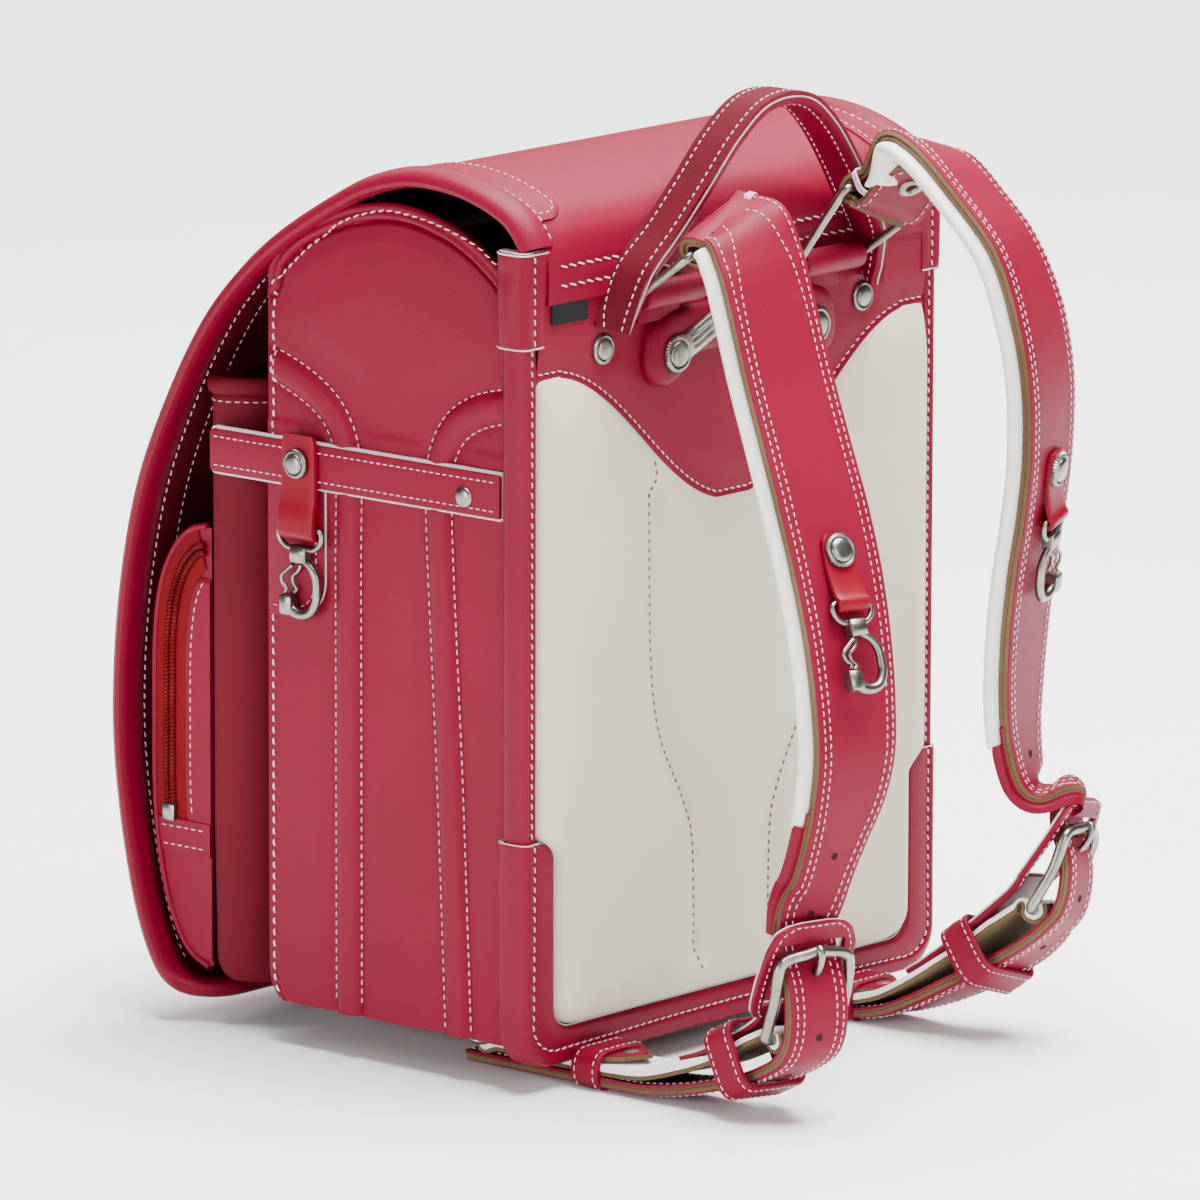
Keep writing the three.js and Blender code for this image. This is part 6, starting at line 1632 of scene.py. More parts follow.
def pouch_ring(z, grow=0.0):
    """Plan outline of the pouch at a height, from its left rear edge round the front to its right rear edge."""
    line = curve_through([(y, x) for y, x in POUCH_SIDE], 60)
    low = np.clip((30 - z) / 11.5, 0, 1)
    pull = 9 * (1 - np.sqrt(1 - low**2 * 0.999))
    lean = 1.5 * smooth((96 - z) / 80) + 3 * low**2
    y = line[:, 0] + lean * np.clip((-141 - line[:, 0]) / 34, 0, 1)
    x = line[:, 1] - pull * np.clip((line[:, 1] - 60) / 50, 0, 1)
    n = np.stack([-np.gradient(x), np.gradient(y)], -1)
    n = unit(n) * grow
    y, x = y + n[:, 0], x + n[:, 1]
    half = np.stack([x, y, np.full_like(x, z)], -1)
    return np.vstack([half[::-1], half * (-1, 1, 1)])


def build_pouch():
    rise = POUCH_BASE + 12 * np.linspace(0, 1, 14) ** 1.5
    z = np.concatenate([rise, np.linspace(33, 256, 30), [258.5, 260.2]])
    rings = [pouch_ring(height) for height in z] + [pouch_ring(261.0, -0.5)]
    grid = np.array(rings + [pouch_ring(*turn) for turn in POUCH_HEM])
    rows, columns = grid.shape[:2]
    base = list(range(columns))
    faces = grid_faces(rows, columns)[:, ::-1].tolist() + [base]
    # The pouch takes the darker red of painted shade, not a leather of its own
    add_mesh("pouch_leather", (grid, faces), POUCH_SHADE_RED, replaces=["front_pouch"])
    thread = Stitching("pouch_stitches")
    line = pouch_ring(POUCH_SEAM, 0.15)
    normal = unit(line - pouch_ring(POUCH_SEAM, -1))
    for part in (slice(4, 52), slice(68, 116)):
        thread.row(line[part], normal[part], pitch=3.8, radius=0.34)
    thread.finish()
    add_mesh("pouch_bottom", (pouch_ring(POUCH_BASE), [base]), DARK)


build_pouch()


# Zip pocket

POCKET_ROWS = [
    (0, 1.02), (0.3, 1.005), (0.6, 0.96), (0.84, 0.885), (0.97, 0.775), (1, 0.6), (0.97, 0.33), (0.73, 0.14),
    (0.36, 0.04), (0, 0.01),
]
POCKET_LINE = curve_through([(-175.5 - deep * 29.2, 22.2 + up * 180.6) for deep, up in POCKET_ROWS], 260)
POCKET_REAR = -173.4


def pocket_inset(distance):
    return POCKET_LINE + line_normals(POCKET_LINE) * distance


BAND_LOW, BAND_HIGH = 69.5, 83.5


def side_zone(name, distance, low, high, x, edge=0.8):
    """A leather zone of the pocket's side, from a line inside its outline back to the pouch."""
    line = pocket_inset(distance)
    z = np.linspace(low, high, 90)
    order = np.argsort(line[:, 1])
    order = order[line[order, 0] < -175.6]
    y = np.interp(z, line[order, 1], line[order, 0])
    share = np.array([0, 0.015, 0.05, 0.3, 0.65, 1])
    yy = y[:, None] + (POCKET_REAR - y[:, None]) * share[None]
    lift = x + np.array([-edge, -0.25 * edge, 0, 0.15, 0.1, 0])[None] + np.zeros_like(yy)
    lift[[0, -1]] -= edge
    lift[[1, -2]] -= 0.2 * edge
    grid = np.stack([lift, yy, np.broadcast_to(z[:, None], yy.shape)], -1)
    add_mesh(name, both_sides((grid, grid_faces(*yy.shape)[:, ::-1])), RED)


def pocket_front(z):
    order = np.argsort(POCKET_LINE[:, 1])
    return np.interp(z, POCKET_LINE[order, 1], POCKET_LINE[order, 0])


def build_pocket():
    x = np.concatenate([np.linspace(-117.3, -112, 5), np.linspace(-100, 100, 9), np.linspace(112, 117.3, 5)])
    shell = np.array([[(a, y, z) for y, z in POCKET_LINE] for a in x])
    z = np.linspace(24.5, 205.6, 120)
    y = pocket_front(z)
    yy = y[:, None] + (-173.2 - y[:, None]) * np.linspace(0, 1, 5)[None]
    side = np.stack([np.full_like(yy, 117.1), yy, np.broadcast_to(z[:, None], yy.shape)], -1)
    piping = wire_mesh([(117.2, y, z) for y, z in POCKET_LINE], 2.6, normal=OUT)
    cheeks = both_sides((side, grid_faces(*yy.shape)[:, ::-1]), piping)
    pocket = join_parts([(shell, grid_faces(*shell.shape[:2])), cheeks])
    add_mesh("pocket_leather", pocket, RED, replaces=["zip_pocket"])
    side_zone("pocket_panel_upper", 17.4, 82.0, 184.5, 118.3)
    side_zone("pocket_band", 1.6, BAND_LOW, BAND_HIGH, 118.8)
    side_zone("pocket_panel_lower", 1.4, 26.5, 71.0, 117.9, edge=0.5)


ZIP_END = 86.0  # height of the zip's end stops
TOOTH_GAP, TOOTH_STEP = 1.55, 0.38


def build_zip():
    """The zip on the pocket's sides: its tape, two coils of teeth and an end stop."""
    line1, line2, middle = pocket_inset(1.2), pocket_inset(17.8), pocket_inset(9.2)
    keep = (POCKET_LINE[:, 1] > 78) & (line2[:, 0] < -175.8)
    a, b = line1[keep], line2[keep]
    share = np.linspace(0, 1, 7)
    place = a[:, None] + (b - a)[:, None] * share[None, :, None]
    bend = np.broadcast_to(117.5 + 0.5 * np.sin(share * math.pi), place.shape[:2])
    tape = np.concatenate([bend[..., None], place], -1)
    tape_sides = both_sides((tape, grid_faces(*place.shape[:2])))
    add_mesh("zip_tape_sides", tape_sides, ZIP_TAPE, replaces=["zipper"])

    run = middle[(middle[:, 1] > ZIP_END) & (middle[:, 0] < -175.8)]
    total = lengths(run)[-1]
    where = np.linspace(0, total, int(total / TOOTH_STEP))
    path = at_length(run, where)
    coils = []
    for flank, phase in ((-1, 0), (1, math.pi)):
        ripple = 2.6 + 0.62 * np.sin(where / TOOTH_GAP * 2 * math.pi + phase)
        row = path + line_normals(path) * flank * 1.55
        coils.append(wire_mesh([(118.5, y, z) for y, z in row], ripple, sides=8, normal=OUT))
    add_mesh("zip_coils", both_sides(*coils), ZIP_TEETH)

    near = middle[middle[:, 0] <= -180]
    end = vec(119.4, near[np.argmin(np.abs(near[:, 1] - 86.5)), 0], ZIP_END)
    ring = ((-1.2, -3.2), (-1.2, 3.2), (1.0, 3.2), (1.3, 2.6), (1.3, -2.6), (1.0, -3.2))
    block = np.array([[(a, b, c) for a, b in ring] for c in (-3.4, -3.0, 3.0, 3.4)])
    block[[0, -1]] *= (0.8, 0.9, 1)
    stops = [tube(block + end * (sign, 1, 1)) for sign in (1, -1)]
    add_mesh("zip_end_stops", join_parts(stops), NICKEL)

    # The zip goes on over the pocket's top, from one side to the other
    x = np.linspace(-117.4, 117.4, 3)
    run = POCKET_LINE[POCKET_LINE[:, 0] > -186]
    grid = np.array([[(a, y, z + 0.35) for y, z in run] for a in x])
    add_mesh("zip_tape_top", (grid, grid_faces(*grid.shape[:2])), ZIP_TAPE)


def sew_pocket():
    thread = Stitching("pocket_stitches")
    line = pocket_inset(20.6)
    keep = (line[:, 1] > 85) & (line[:, 0] < -176.5)
    thread.both(np.array([(118.45, y, z) for y, z in line[keep]]), OUT, pitch=3.8, radius=0.34)
    for z in (72.6, 80.2):
        y = np.linspace(pocket_front(z) + 3.2, -176.5, 20)
        thread.both(np.stack([np.full(20, 118.95), y, np.full(20, z)], -1), OUT, pitch=3.7, radius=0.36)
    thread.finish()


build_pocket()
build_zip()
sew_pocket()


# Flat leather plates, their belts and loops on the sides


def plate(outline, low, high, place, soft=0.5, wall=0):
    """A flat leather piece over an outline; place turns (a, b, height) into the bag's frame."""
    pts = np.asarray(outline, float)
    inward = outline_normals(pts)
    rings = [(0, low), (0, high - soft), (soft * 0.3, high - soft * 0.3), (soft, high)]
    grid = np.array([[place(*(p + n * inset), h) for p, n in zip(pts, inward)] for inset, h in rings])
    n = len(pts)
    return grid, tube_faces(4, n), [wall] * n + [0] * (2 * n) + [wall, 0]


def rounded_outline(a0, a1, b0, b1, radii, steps=8):
    """Anticlockwise rectangle with a radius for each corner: low-low, high-low, high-high, low-high."""
    points = []
    corners = ((a0, b0, 180), (a1, b0, 270), (a1, b1, 0), (a0, b1, 90))
    for (a, b, start), r in zip(corners, radii):
        ca = a + (r if a == a0 else -r)
        cb = b + (r if b == b0 else -r)
        for k in range(steps + 1):
            t = math.radians(start + 90 * k / steps)
            points.append((ca + r * math.cos(t), cb + r * math.sin(t)))
    return np.array(points)


def on_left(a, b, h):
    return (h, a, b)


side_thread = Stitching("belt_stitches")


def sew_side(a, b, x, **settings):
    side_thread.both(np.stack([np.full(len(a), x), a, b], -1), OUT, **settings)


def build_side_belts():
    lining_outline = rounded_outline(-166.6, -11.5, 230.2, 249.8, (2.4, 1, 1, 2.4))
    upper_outline = rounded_outline(-166.2, -11.5, 231.2, 248.8, (2, 1, 1, 2))
    lining = plate(lining_outline, 122.5, 124.6, on_left)
    points, faces, index = plate(upper_outline, 124.4, 125.95, on_left, soft=0.6)
    belts = both_sides(lining, (points, faces, [1] * len(index)))
    add_mesh("side_belts", belts, [PALE_EDGE, RED], replaces=["side_belt_left", "side_belt_right"])
    y = np.linspace(-164.5, -14, 60)
    for z in (234.2, 245.8):
        sew_side(y, np.full(60, z), 126.05, pitch=3.5, radius=0.34)

    outline = rounded_outline(-136.2, -106, 176.7, 231.5, (1, 17, 0.5, 0.5), steps=12)
    patches = both_sides(plate(outline, 121.2, 124.1, on_left, wall=1))
    add_mesh("side_patches", patches, [RED, PALE_EDGE], replaces=["side_patch_left", "side_patch_right"])
    turn = np.linspace(0, math.pi / 2, 20)
    path_y = np.concatenate([np.full(14, -110.2), -123.2 + 13 * np.cos(turn), np.linspace(-124, -134, 6)])
    path_z = np.concatenate([np.linspace(229, 194.5, 14), 193.9 - 13 * np.sin(turn), np.full(6, 180.9)])
    sew_side(path_y, path_z, 124.2, pitch=3.6, radius=0.34)


build_side_belts()


def band(path, thick, across, taper):
    """A leather band along a path with a fixed across direction; taper is (places from 0 to 1, widths)."""
    path = curve_through(path, 60)
    n = len(path)
    run = object.__new__(Run)
    run.at = path
    run.along = unit(np.gradient(path, axis=0))
    run.across = np.broadcast_to(unit(across), (n, 3)).copy()
    run.face = np.cross(run.along, run.across)
    run.row = np.linspace(0, 1, n)
    run.wide = np.interp(run.row, *taper)
    return layer(run, -thick / 2, thick / 2, 0)


SIDE_EYE = vec(127.1, -116, 214)


def build_side_loops():
    rise = ((127.5, 252.5), (127.7, 246), (127.7, 236), (128.2, 226), (129.6, 219.5))
    path = [(x, SIDE_EYE[1], z) for x, z in rise]
    for angle in (20, -30, -80, -130, -180, -225):
        a = math.radians(angle)
        path.append(SIDE_EYE + vec(math.cos(a), 0, math.sin(a)) * 3.0)
    path += [(x, SIDE_EYE[1], z) for x, z in ((125.6, 221), (126.4, 227))]
    taper = ([0, 0.03, 0.1, 0.4, 0.55, 1], [14.5, 17, 17.5, 19, 18.5, 17])
    loops = both_sides(band(path, 2.2, REAR, taper))
    add_mesh("side_loops", loops, [PATENT, PATENT, PATENT], replaces=["side_loop_left", "side_loop_right"])


build_side_loops()


# Snap hooks: a bail through the loop, a neck, a bent body and a sprung gate


WIRE = 2.6
BAIL_LOW, HOOK_BOTTOM = -7.5, -36.0
BLOCK_LOW = BAIL_LOW - 6.0
JAW_OUT = 10 - WIRE / 2
GATE_TOP, GATE_FOOT = BLOCK_LOW - 1.4, HOOK_BOTTOM + 8.9
GATE_WIRE = 1.5


def hook_block(place, ring, heights, end_share, middle=0.0):
    """A small block of metal over a ring of (across, out) points, drawn in at both its ends."""
    grid = np.array([[(x, y, z) for x, z in ring] for y in heights], float)
    for end in (grid[0], grid[-1]):
        end[:, 0] = middle + (end[:, 0] - middle) * end_share
        end[:, 2] *= end_share
    return place(grid), [face[::-1] for face in tube_faces(*grid.shape[:2])]


def hook_parts(origin, a, b, loop_wide):
    """The hook's body and its gate: a points across it, b up it, and out of its face comes a x b."""
    axes = np.array([a, b, np.cross(a, b)])
    normal = axes[2]

    def place(points):
        return origin + np.asarray(points, float) @ axes

    def line(points, count, closed=False):
        return curve_through(place([(*p, 0) if len(p) == 2 else p for p in points]), count, closed=closed)

    w = loop_wide / 2 + WIRE / 2 + 0.3
    low, bottom, block, out = BAIL_LOW, HOOK_BOTTOM, BLOCK_LOW, JAW_OUT
    flank = [(w - 1.5, 0.2), (w + 0.1, -1.2), (w - 0.3, low * 0.62), (w * 0.62, low - 0.1)]
    bail = [(-w + 1.5, 0.2), (0, 0), *flank, (0, low + 0.2)] + [(-x, y) for x, y in flank[:0:-1]]
    jaw = [
        (1.0, block + 1.5), (out * 0.66, block - 1.3), (out * 0.98, block - 6), (out, (block + bottom) / 2),
        (out * 0.97, bottom + 8), (out * 0.62, bottom + 2.7), (0, bottom + 1.3), (-out * 0.5, bottom + 2.9),
        (-out * 0.7, bottom + 6.2), (-out * 0.7, bottom + 7.6),
    ]
    thick = np.interp(np.linspace(0, 1, 80), [0, 0.2, 0.55, 0.72, 0.85, 1], [2.6, 3.4, 3.9, 4.6, 4.8, 4.4])
    neck = (
        (-3.6, -2.4), (3.6, -2.4), (4.1, -1.9), (4.1, 1.9), (3.6, 2.4), (-3.6, 2.4), (-4.1, 1.9), (-4.1, -1.9),
    )
    nose = (
        (-9.4, -2.3), (-8.6, -2.8), (-4.2, -2.8), (-3.4, -2.3), (-3.4, 2.3), (-4.2, 2.8), (-8.6, 2.8), (-9.4, 2.3),
    )
    body = [
        wire_mesh(line(bail, 110, closed=True), WIRE * 0.92, closed=True, sides=14, normal=normal),
        hook_block(place, neck, (block, block + 0.5, low + 0.4, low + 0.9), 0.85),
        wire_mesh(line(jaw, 80), thick, sides=14, normal=normal),
        hook_block(place, nose, (bottom + 1.0, bottom + 1.8, bottom + 8.0, bottom + 8.8), 0.84, middle=-6.4),
    ]
    drops = (0.4, -1.8, -5.0, -7.8, -9.6), (0.4, -2.2, -5.0, -7.8, -9.6)
    bows = (-3.2, -6.0, -9.3, -8.6, -6.6), (-0.6, -1.8, -4.9, -4.4, -2.8)
    gate = []
    for bow, drop, foot, depth in zip(bows, drops, (-7.4, -4.2), (0.9, -0.9)):
        wire = [(x, GATE_TOP + y, depth) for x, y in zip(bow, drop)] + [(foot, GATE_FOOT + 0.8, depth)]
        gate.append(wire_mesh(line(wire, 50), GATE_WIRE, normal=normal))
    return join_parts(body), join_parts(gate)


def joint_of(name, side):
    """Where a joint lies and which way its axis points, as if it were on the left."""
    row = next(joint for joint in frame["joints"] if joint["name"] == f"{name}_{side}")
    at = np.array(row["pos_m"]) * 1000 - (0, BAG_SHIFT, 0)
    axis = unit(row["axis"])
    return (at, axis) if side == "left" else (mirror(at), -mirror(axis))


def hook_frame(kind, side):
    """A hook's eye, and its directions across and up."""
    eye, swing = joint_of(f"{kind}_hook_swing", side)
    return eye, -swing, unit(np.cross(joint_of(f"{kind}_gate_snap", side)[1], -swing))


def build_strap_tab(side):
    eye, a, b = hook_frame("strap", side)
    face = np.cross(a, b)
    stud = eye + b * 21 - face * 2.2
    rise = ((7.5, 1.2), (2, 1.25), (-6, 1.3), (-14, 2.2))
    path = [stud + b * up + face * out for up, out in rise]
    for angle in (60, 10, -40, -90, -140, -190):
        t = math.radians(angle)
        path.append(eye + (face * math.cos(t) + b * math.sin(t)) * 2.7)
    tab = band(path, 1.9, a, ([0, 0.05, 0.16, 0.5, 1], [9, 13.5, 15, 15, 14.5]))
    name = f"strap_tab_leather_{side}"
    add_mesh(name, tab, [PATENT, PATENT, PATENT], side, replaces=[f"strap_tab_{side}"])
    rivet(f"strap_stud_cap_{side}", side, stud + face * 2.1, face, 7.3, 3.0, [f"strap_stud_{side}"])


for kind, wide in (("side", 19), ("strap", 15)):
    for side in SIDES:
        hook, gate = hook_parts(*hook_frame(kind, side), wide)
        for node, part in ((f"{kind}_hook_{side}", hook), (f"{kind}_gate_{side}", gate)):
            add_mesh(f"{node}_metal", part, NICKEL, side, body=node, replaces=[node])
        if kind == "strap":
            build_strap_tab(side)


# Strap base: a padded housing with two tubes, its metal plates and the rings

BASE_TOP = 313.0


def build_strap_base():
    x, z = RING_SPACING / 2, BASE_TOP
    half = [
        (0, z - 27), (x - 22, z - 27), (x - 15, z - 30), (x - 9, z - 35.5), (x - 2, z - 37.5), (x + 5, z - 35),
        (x + 8.5, z - 29), (x + 8.2, z - 20), (x + 5, z - 12), (x - 4, z - 7.5), (x - 14, z - 6), (0, z - 6),
    ]
    right = curve_through(half, 70)[1:-1]
    outline = np.vstack([right, (right * (-1, 1))[::-1]])
    inward = outline_normals(outline)
    rings = []
    for inset, height in ((-0.8, 1.9), (0, 2.6), (-0.1, 4.6), (0.5, 6.6), (1.8, 8.3), (3.8, 9.0), (6.0, 9.1)):
        p = outline + inward * inset
        rings.append(np.stack([p[:, 0], np.full(len(p), height), p[:, 1]], -1))
    n = len(outline)
    cover = list(range((len(rings) - 1) * n, len(rings) * n))[::-1]
    housing = (rings, grid_faces(len(rings), n, wrap=True)[:, ::-1].tolist() + [cover])
    tube_end = [(5.6, 16.4), (5.3, 17.6), (4.2, 18.2), (0.1, 18.3)]
    profile = [(radius, -along) for radius, along in tube_end[::-1]] + tube_end
    holder = turned(profile, vec(x, 10.8, 315.0), OUT, sides=28)
    web_ring = ((-13, 2.2), (13, 2.2), (12.6, 5.2), (10, 6.6), (-10, 6.6), (-12.6, 5.2))
    web = [[(x + a, y, height) for a, y in web_ring] for height in (303, 308, 313)]
    base = join_parts([housing, both_sides(holder, (web, grid_faces(3, 6, wrap=True)))])
    add_mesh("strap_base_leather", base, PINK, replaces=["strap_base"])


PLATE_TURN = math.radians(157)


def build_base_plate(side):
    x, z = RING_SPACING / 2 - 6, BASE_TOP - 24
    rivet(f"base_plate_disc_{side}", side, vec(x, 9.0, z), REAR, 7.9, 3.0)

    def put(a, b, h):
        cos, sin = math.cos(PLATE_TURN), math.sin(PLATE_TURN)
        return (x + a * cos - b * sin, h, z + a * sin + b * cos)

    arm = [plate(rounded_outline(0, 25, -5.0, 5.0, (1, 1, 1, 1)), 8.9, 10.9, put)]
    for b in (-2.6, 0.0, 2.6):
        ridge = rounded_outline(9, 22, b - 0.65, b + 0.65, (0.6,) * 4, steps=3)
        arm.append(plate(ridge, 10.7, 11.6, put, soft=0.4))
    points, faces, _ = join_parts(arm)
    faces = [face[::-1] for face in faces]
    name = f"base_plate_arm_{side}"
    add_mesh(name, (points, faces), NICKEL, side, replaces=[f"strap_base_plate_{side}"])


def build_strap_ring(side):
    x, upper, reach = RING_SPACING / 2, vec(*RING_UPPER), RING_ACROSS * (RING_HALF + 1.5)
    corners = [vec(x + RING_HALF, 10.8, 315), vec(x - RING_HALF, 10.8, 315), upper + reach, upper - reach]
    route = []
    for i, corner in enumerate(corners):
        before, after = unit(corners[i - 1] - corner), unit(corners[(i + 1) % 4] - corner)
        bends = ((6, 0), (3.2, 0.3), (1.1, 1.1), (0.3, 3.2), (0, 6))
        route += [corner + before * back + after * on for back, on in bends]
    line = curve_through(route, 170, closed=True)
    ring = wire_mesh(line, RING_WIRE, closed=True, sides=16, normal=(0, -0.7, 0.7))
    add_mesh(f"strap_ring_{side}", ring, NICKEL, side, replaces=[f"ring_{side}"])


build_strap_base()
for side in SIDES:
    build_base_plate(side)
    build_strap_ring(side)


# Keepers: stitched leather loops round the strap's tail and the belt

KEEPER_WIDE, KEEPER_THICK = 14.0, 1.9
KEEPER_HALF = [  # (out of the inner face past its thickness, in from its edge) from an edge to the middle
    (-KEEPER_THICK, 0), (-0.5, 0), (-0.1, 0.4), (0.1, 1.4), (-0.15, 2.2),
]


def build_keeper(name, node, side, low, high, across, along, slack):
    up = unit(np.cross(along, across))
    if up[2] < 0:
        up = -up
    third = unit(np.cross(across, up))
    centre = (low + high) / 2
    a, b = TAIL_WIDE / 2 + slack, float(np.dot(high - low, up)) / 2
    inner = rounded_outline(-a, a, -b, b, (min(5.0, b * 0.8),) * 4, steps=6)
    outward = -outline_normals(inner)
    w = KEEPER_WIDE / 2

    def ring(grow, place):
        p = inner + outward * (KEEPER_THICK + grow)
        return centre + p[:, :1] * across + p[:, 1:] * up + third * place

    section = [(grow, edge - w) for grow, edge in KEEPER_HALF]
    section += [(0.25, 0)] + [(grow, -place) for grow, place in section[::-1]]
    rings = [ring(*turn) for turn in section]
    n, rows = len(inner), len(rings)
    inside = [[(rows - 1) * n + i, (rows - 1) * n + (i + 1) % n, (i + 1) % n, i] for i in range(n)]
    faces = grid_faces(rows, n, wrap=True).tolist() + inside
    add_mesh(name, (rings, faces), PINK, side, replaces=[node])
    thread = Stitching(f"{name}_stitches")
    normal = outward[:, :1] * across + outward[:, 1:] * up
    normal = np.vstack([normal, normal[:1]])
    for place in (2.2 - w, w - 2.2):
        path = ring(0.05, place)
        thread.row(np.vstack([path, path[:1]]), normal, radius=0.34, side=side)
    thread.finish()


def build_lower_keeper(side):
    y = 5.0 + KEEPER_WIDE / 2
    x = float(floor_x(side, y))
    low, high = vec(x, y, 1.9), vec(x, y, FLOOR_BELT + LOWER_THICK / 2 + 3.1)
    build_keeper(f"lower_loop_{side}", f"lower_keeper_{side}", side, low, high, -OUT, REAR, 0.5)


def build_upper_keeper(side):
    """The keeper beside the buckle, round the belt and the strap's tail."""
    before, near, last = lower_rows(side)[-3:]
    after = unit(last["at"] - before["at"])
    across = unit(near["across"] - after * near["across"].dot(after))
    up = unit(np.cross(after, across))
    if up[2] < 0:
        up = -up
    run = STRAP_RUNS[side]
    tail = (run.at[:, 2] < near["at"][2] + 2) & (run.row > 20)
    gaps = np.where(tail, np.abs((run.at - near["at"]) @ after), math.inf)
    low = run.at[int(np.argmin(gaps))] - up * (STRAP_THICK / 2 + 2.2)
    high = near["at"] + up * (LOWER_THICK / 2 + TAB_THICK + 4)
    build_keeper(f"upper_loop_{side}", f"keeper_{side}", side, low, high, across, after, 4.2)


for side in SIDES:
    build_lower_keeper(side)
    build_upper_keeper(side)

side_thread.finish()


# Folded ends: the strap's tip under its lining at the ring, and the belt's riveted leaf


TIP_LEFT = [  # (row of the strap's path, how far below it, width)
    (5.0, -6.6, 35), (5.5, -9.2, 35), (6.0, -10.6, 34), (6.5, -11.3, 31), (7.0, -11.6, 25), (7.35, -11.6, 17),
    (7.5, -11.5, 8),
]
TIP_RIGHT = [  # (x, y, z, width)
    (49, 37.4, 336.9, 36), (49.1, 42.6, 339.4, 36), (49.3, 47.2, 344.4, 36), (49.6, 51.6, 349.6, 35),
    (50, 57.5, 353.4, 31), (50.5, 64.5, 354.2, 25), (51, 71, 352.0, 16), (51.4, 75.0, 349.6, 7),
]
EYELET = [(5.6, -0.3), (5.6, 0.0), (5.4, 0.7), (4.6, 1.15), (3.4, 1.25), (2.6, 0.9), (2.2, 0.3), (2.2, -0.4)]
EYELET_CORE = [(2.3, -0.3), (2.25, 0.1), (0.9, 0.15), (0.3, 0.15)]
TACK = ((-4.5, 2.2), (-2.5, 2.9), (0.2, 2.2), (0.7, -1.5), (0.4, -6.5), (-1.5, -8.6))


def nearest(run, row):
    return int(np.argmin(np.abs(run.row - row)))


def tip_rows(side, run):
    if side == "right":
        return [{"at": vec(x, y, z), "across": RING_ACROSS, "wide": wide} for x, y, z, wide in TIP_RIGHT]
    rows = []
    for row, depth, wide in TIP_LEFT:
        i = nearest(run, row)
        rows.append({"at": run.at[i] + run.face[i] * depth, "across": run.across[i], "wide": wide})
    return rows


def build_strap_tip(side):
    run = STRAP_RUNS[side]
    tip = run_of(tip_rows(side, run), 70)
    add_mesh(f"strap_tip_{side}", tagged(layer(tip, -1.2, 1.0, 0, soft=0.4), 0, 1, 0), [RED, RAW], side)
    thread = Stitching(f"strap_tip_stitches_{side}")
    keep = tip.part(tip.row < 5.6)
    left, right = (keep.line(flank * (keep.wide / 2 - 3), -1.35) for flank in (-1, 1))
    normal = np.vstack([-keep.face, -keep.face[::-1]])
    thread.row(np.vstack([left, right[::-1]]), normal, pitch=3.6, side=side)
    thread.finish()

    # A bar tack binds the tip to the strap at its inner edge
    fold = nearest(run, 4.9)
    strands = []
    for step in (-1.1, 0.0, 1.1):
        corners = [
            run.at[fold] + run.along[fold] * step + run.across[fold] * (run.wide[fold] / 2 + a)
            + run.face[fold] * out
            for a, out in TACK
        ]
        strands.append(wire_mesh(curve_through(corners, 24), 0.8, sides=8, normal=run.along[fold]))
    add_mesh(f"strap_bar_tack_{side}", join_parts(strands), THREAD, side)

    i = nearest(tip, 3.0)
    out = -tip.face[i]
    at = tip.at[i] + out * 1.2
    rim, rim_faces = turned(EYELET, at, out, sides=36)
    # The eyelet's core is a dark disc: painted shade where its hole is
    core, core_faces = turned(EYELET_CORE, at, out, sides=20)
    rim_faces = rim_faces[:-1]
    eyelet = join_parts([(rim, rim_faces), (core, core_faces, [1] * len(core_faces))])
    add_mesh(f"strap_eyelet_{side}", eyelet, [NICKEL, HOLE_SHADE], side)


LEAF_ROWS = [  # (y, how far above the belt, width)
    (-40, 3.6, 23), (-28, 1.2, 23), (-12, 0.1, 23), (8, 0, 23), (18, 0.3, 21), (25, 1.0, 15), (31, 2.0, 7),
    (33.5, 2.4, 2),
]


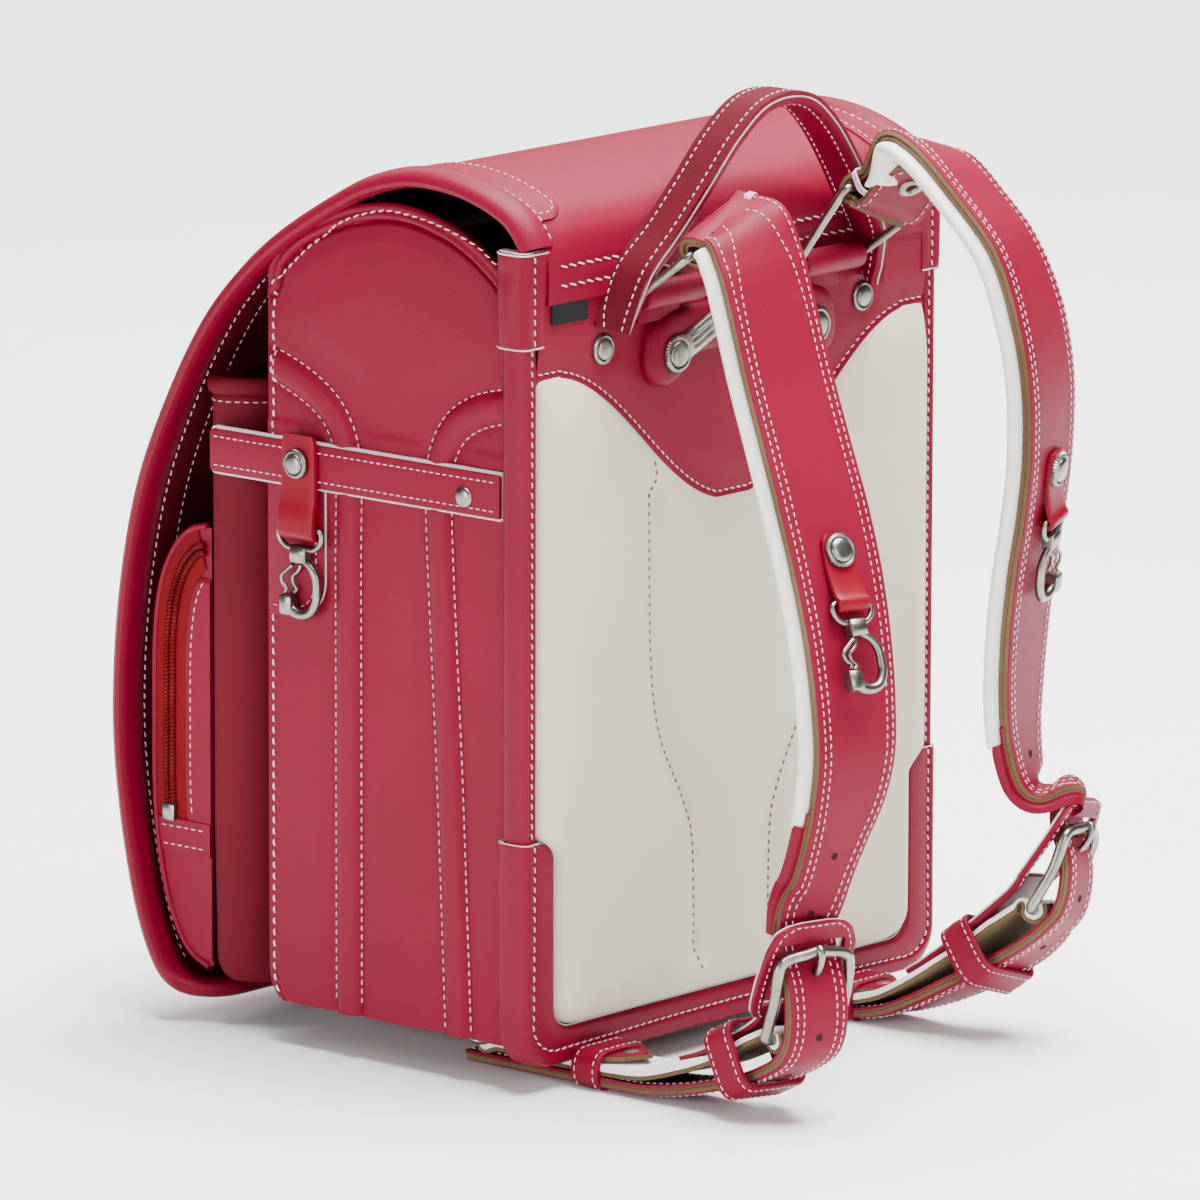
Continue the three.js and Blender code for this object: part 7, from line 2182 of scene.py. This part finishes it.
def build_belt_leaf(side):
    top = FLOOR_BELT + LOWER_THICK / 2 + 1.5
    leaf = run_of([
        {"at": vec(float(floor_x(side, y)), y, top + lift), "across": -OUT, "wide": wide}
        for y, lift, wide in LEAF_ROWS
    ], 90)
    if leaf.face[45][2] < 0:
        leaf = leaf.turned_over()
    part = tagged(layer(leaf, -1.3, 1.2, 0, soft=0.5, crown=0.5), 1, 1, 0)
    add_mesh(f"belt_leaf_{side}", part, [RED, RAW], side)
    at = vec(float(floor_x(side, 24)), 23.5, top + 1.9)
    rivet(f"belt_leaf_rivet_{side}", side, at, vec(0, -0.08, 1), 3.6, 1.2, knurl=None)


def build_bottom_ring(side):
    ring = bottom_ring_at(side)
    x = TAIL_WIDE / 2 + 2.6
    flank = [(x - 2, 0, 0), (x, -1.2, 0.1), (x - 1, -8, 1.2), (x - 4, -14.2, 2.6)]
    route = [(2 - x, 0, 0), (0, 0, 0), *flank, (0, -15, 2.8)] + [(-a, b, c) for a, b, c in flank[:0:-1]]
    wire = wire_mesh(curve_through(ring + route, 110, closed=True), 2.9, closed=True, sides=14)

    def under(a, b, h):
        return (ring[0] + a, BOTTOM_RING_Y - 15 + b, h)

    holder = plate(rounded_outline(-9, 9, -14, 5, (3,) * 4), 15.6, 17.8, under, soft=0.4)
    metal = join_parts([wire, holder])
    add_mesh(f"bottom_ring_metal_{side}", metal, NICKEL, side, replaces=[f"bottom_ring_{side}"])


for side in SIDES:
    build_strap_tip(side)
    build_belt_leaf(side)
    build_bottom_ring(side)


# Blank label: a folded tab of dark cloth under the flap's rear edge


def build_label():
    outline = rounded_outline(90.5, 112.5, 308.6, 318.5, (1.6, 1.6, 0.4, 0.4))

    def on_back(a, b, h):
        return (a, h + 0.5 * math.sin((a - 90) / 22 * math.pi), b)

    points, faces, _ = plate(outline, 2.3, 4.4, on_back, soft=0.8)
    add_mesh("blank_label", (points, [face[::-1] for face in faces]), BLACK, replaces=["label"])


build_label()


# The solids that still show take the same leathers and metals

PLAIN = {
    "front_pouch": DARK, "zip_pocket": RED, "zipper": ZIP_TAPE, "flap_tongue": RED, "bottom_lock": NICKEL,
    "back_board": RED, "label": BLACK, "strap_base": PINK,
}
METAL_WORDS = ("hook", "gate", "ring", "stud", "rivet", "plate", "buckle")
for name, node in frame["nodes"].items():
    if node.hide_render:
        continue
    material = NICKEL if any(word in name for word in METAL_WORDS) else PINK
    if name.startswith(("side_belt", "side_patch")):
        material = RED
    node.data.materials.clear()
    node.data.materials.append(PLAIN.get(name, material))
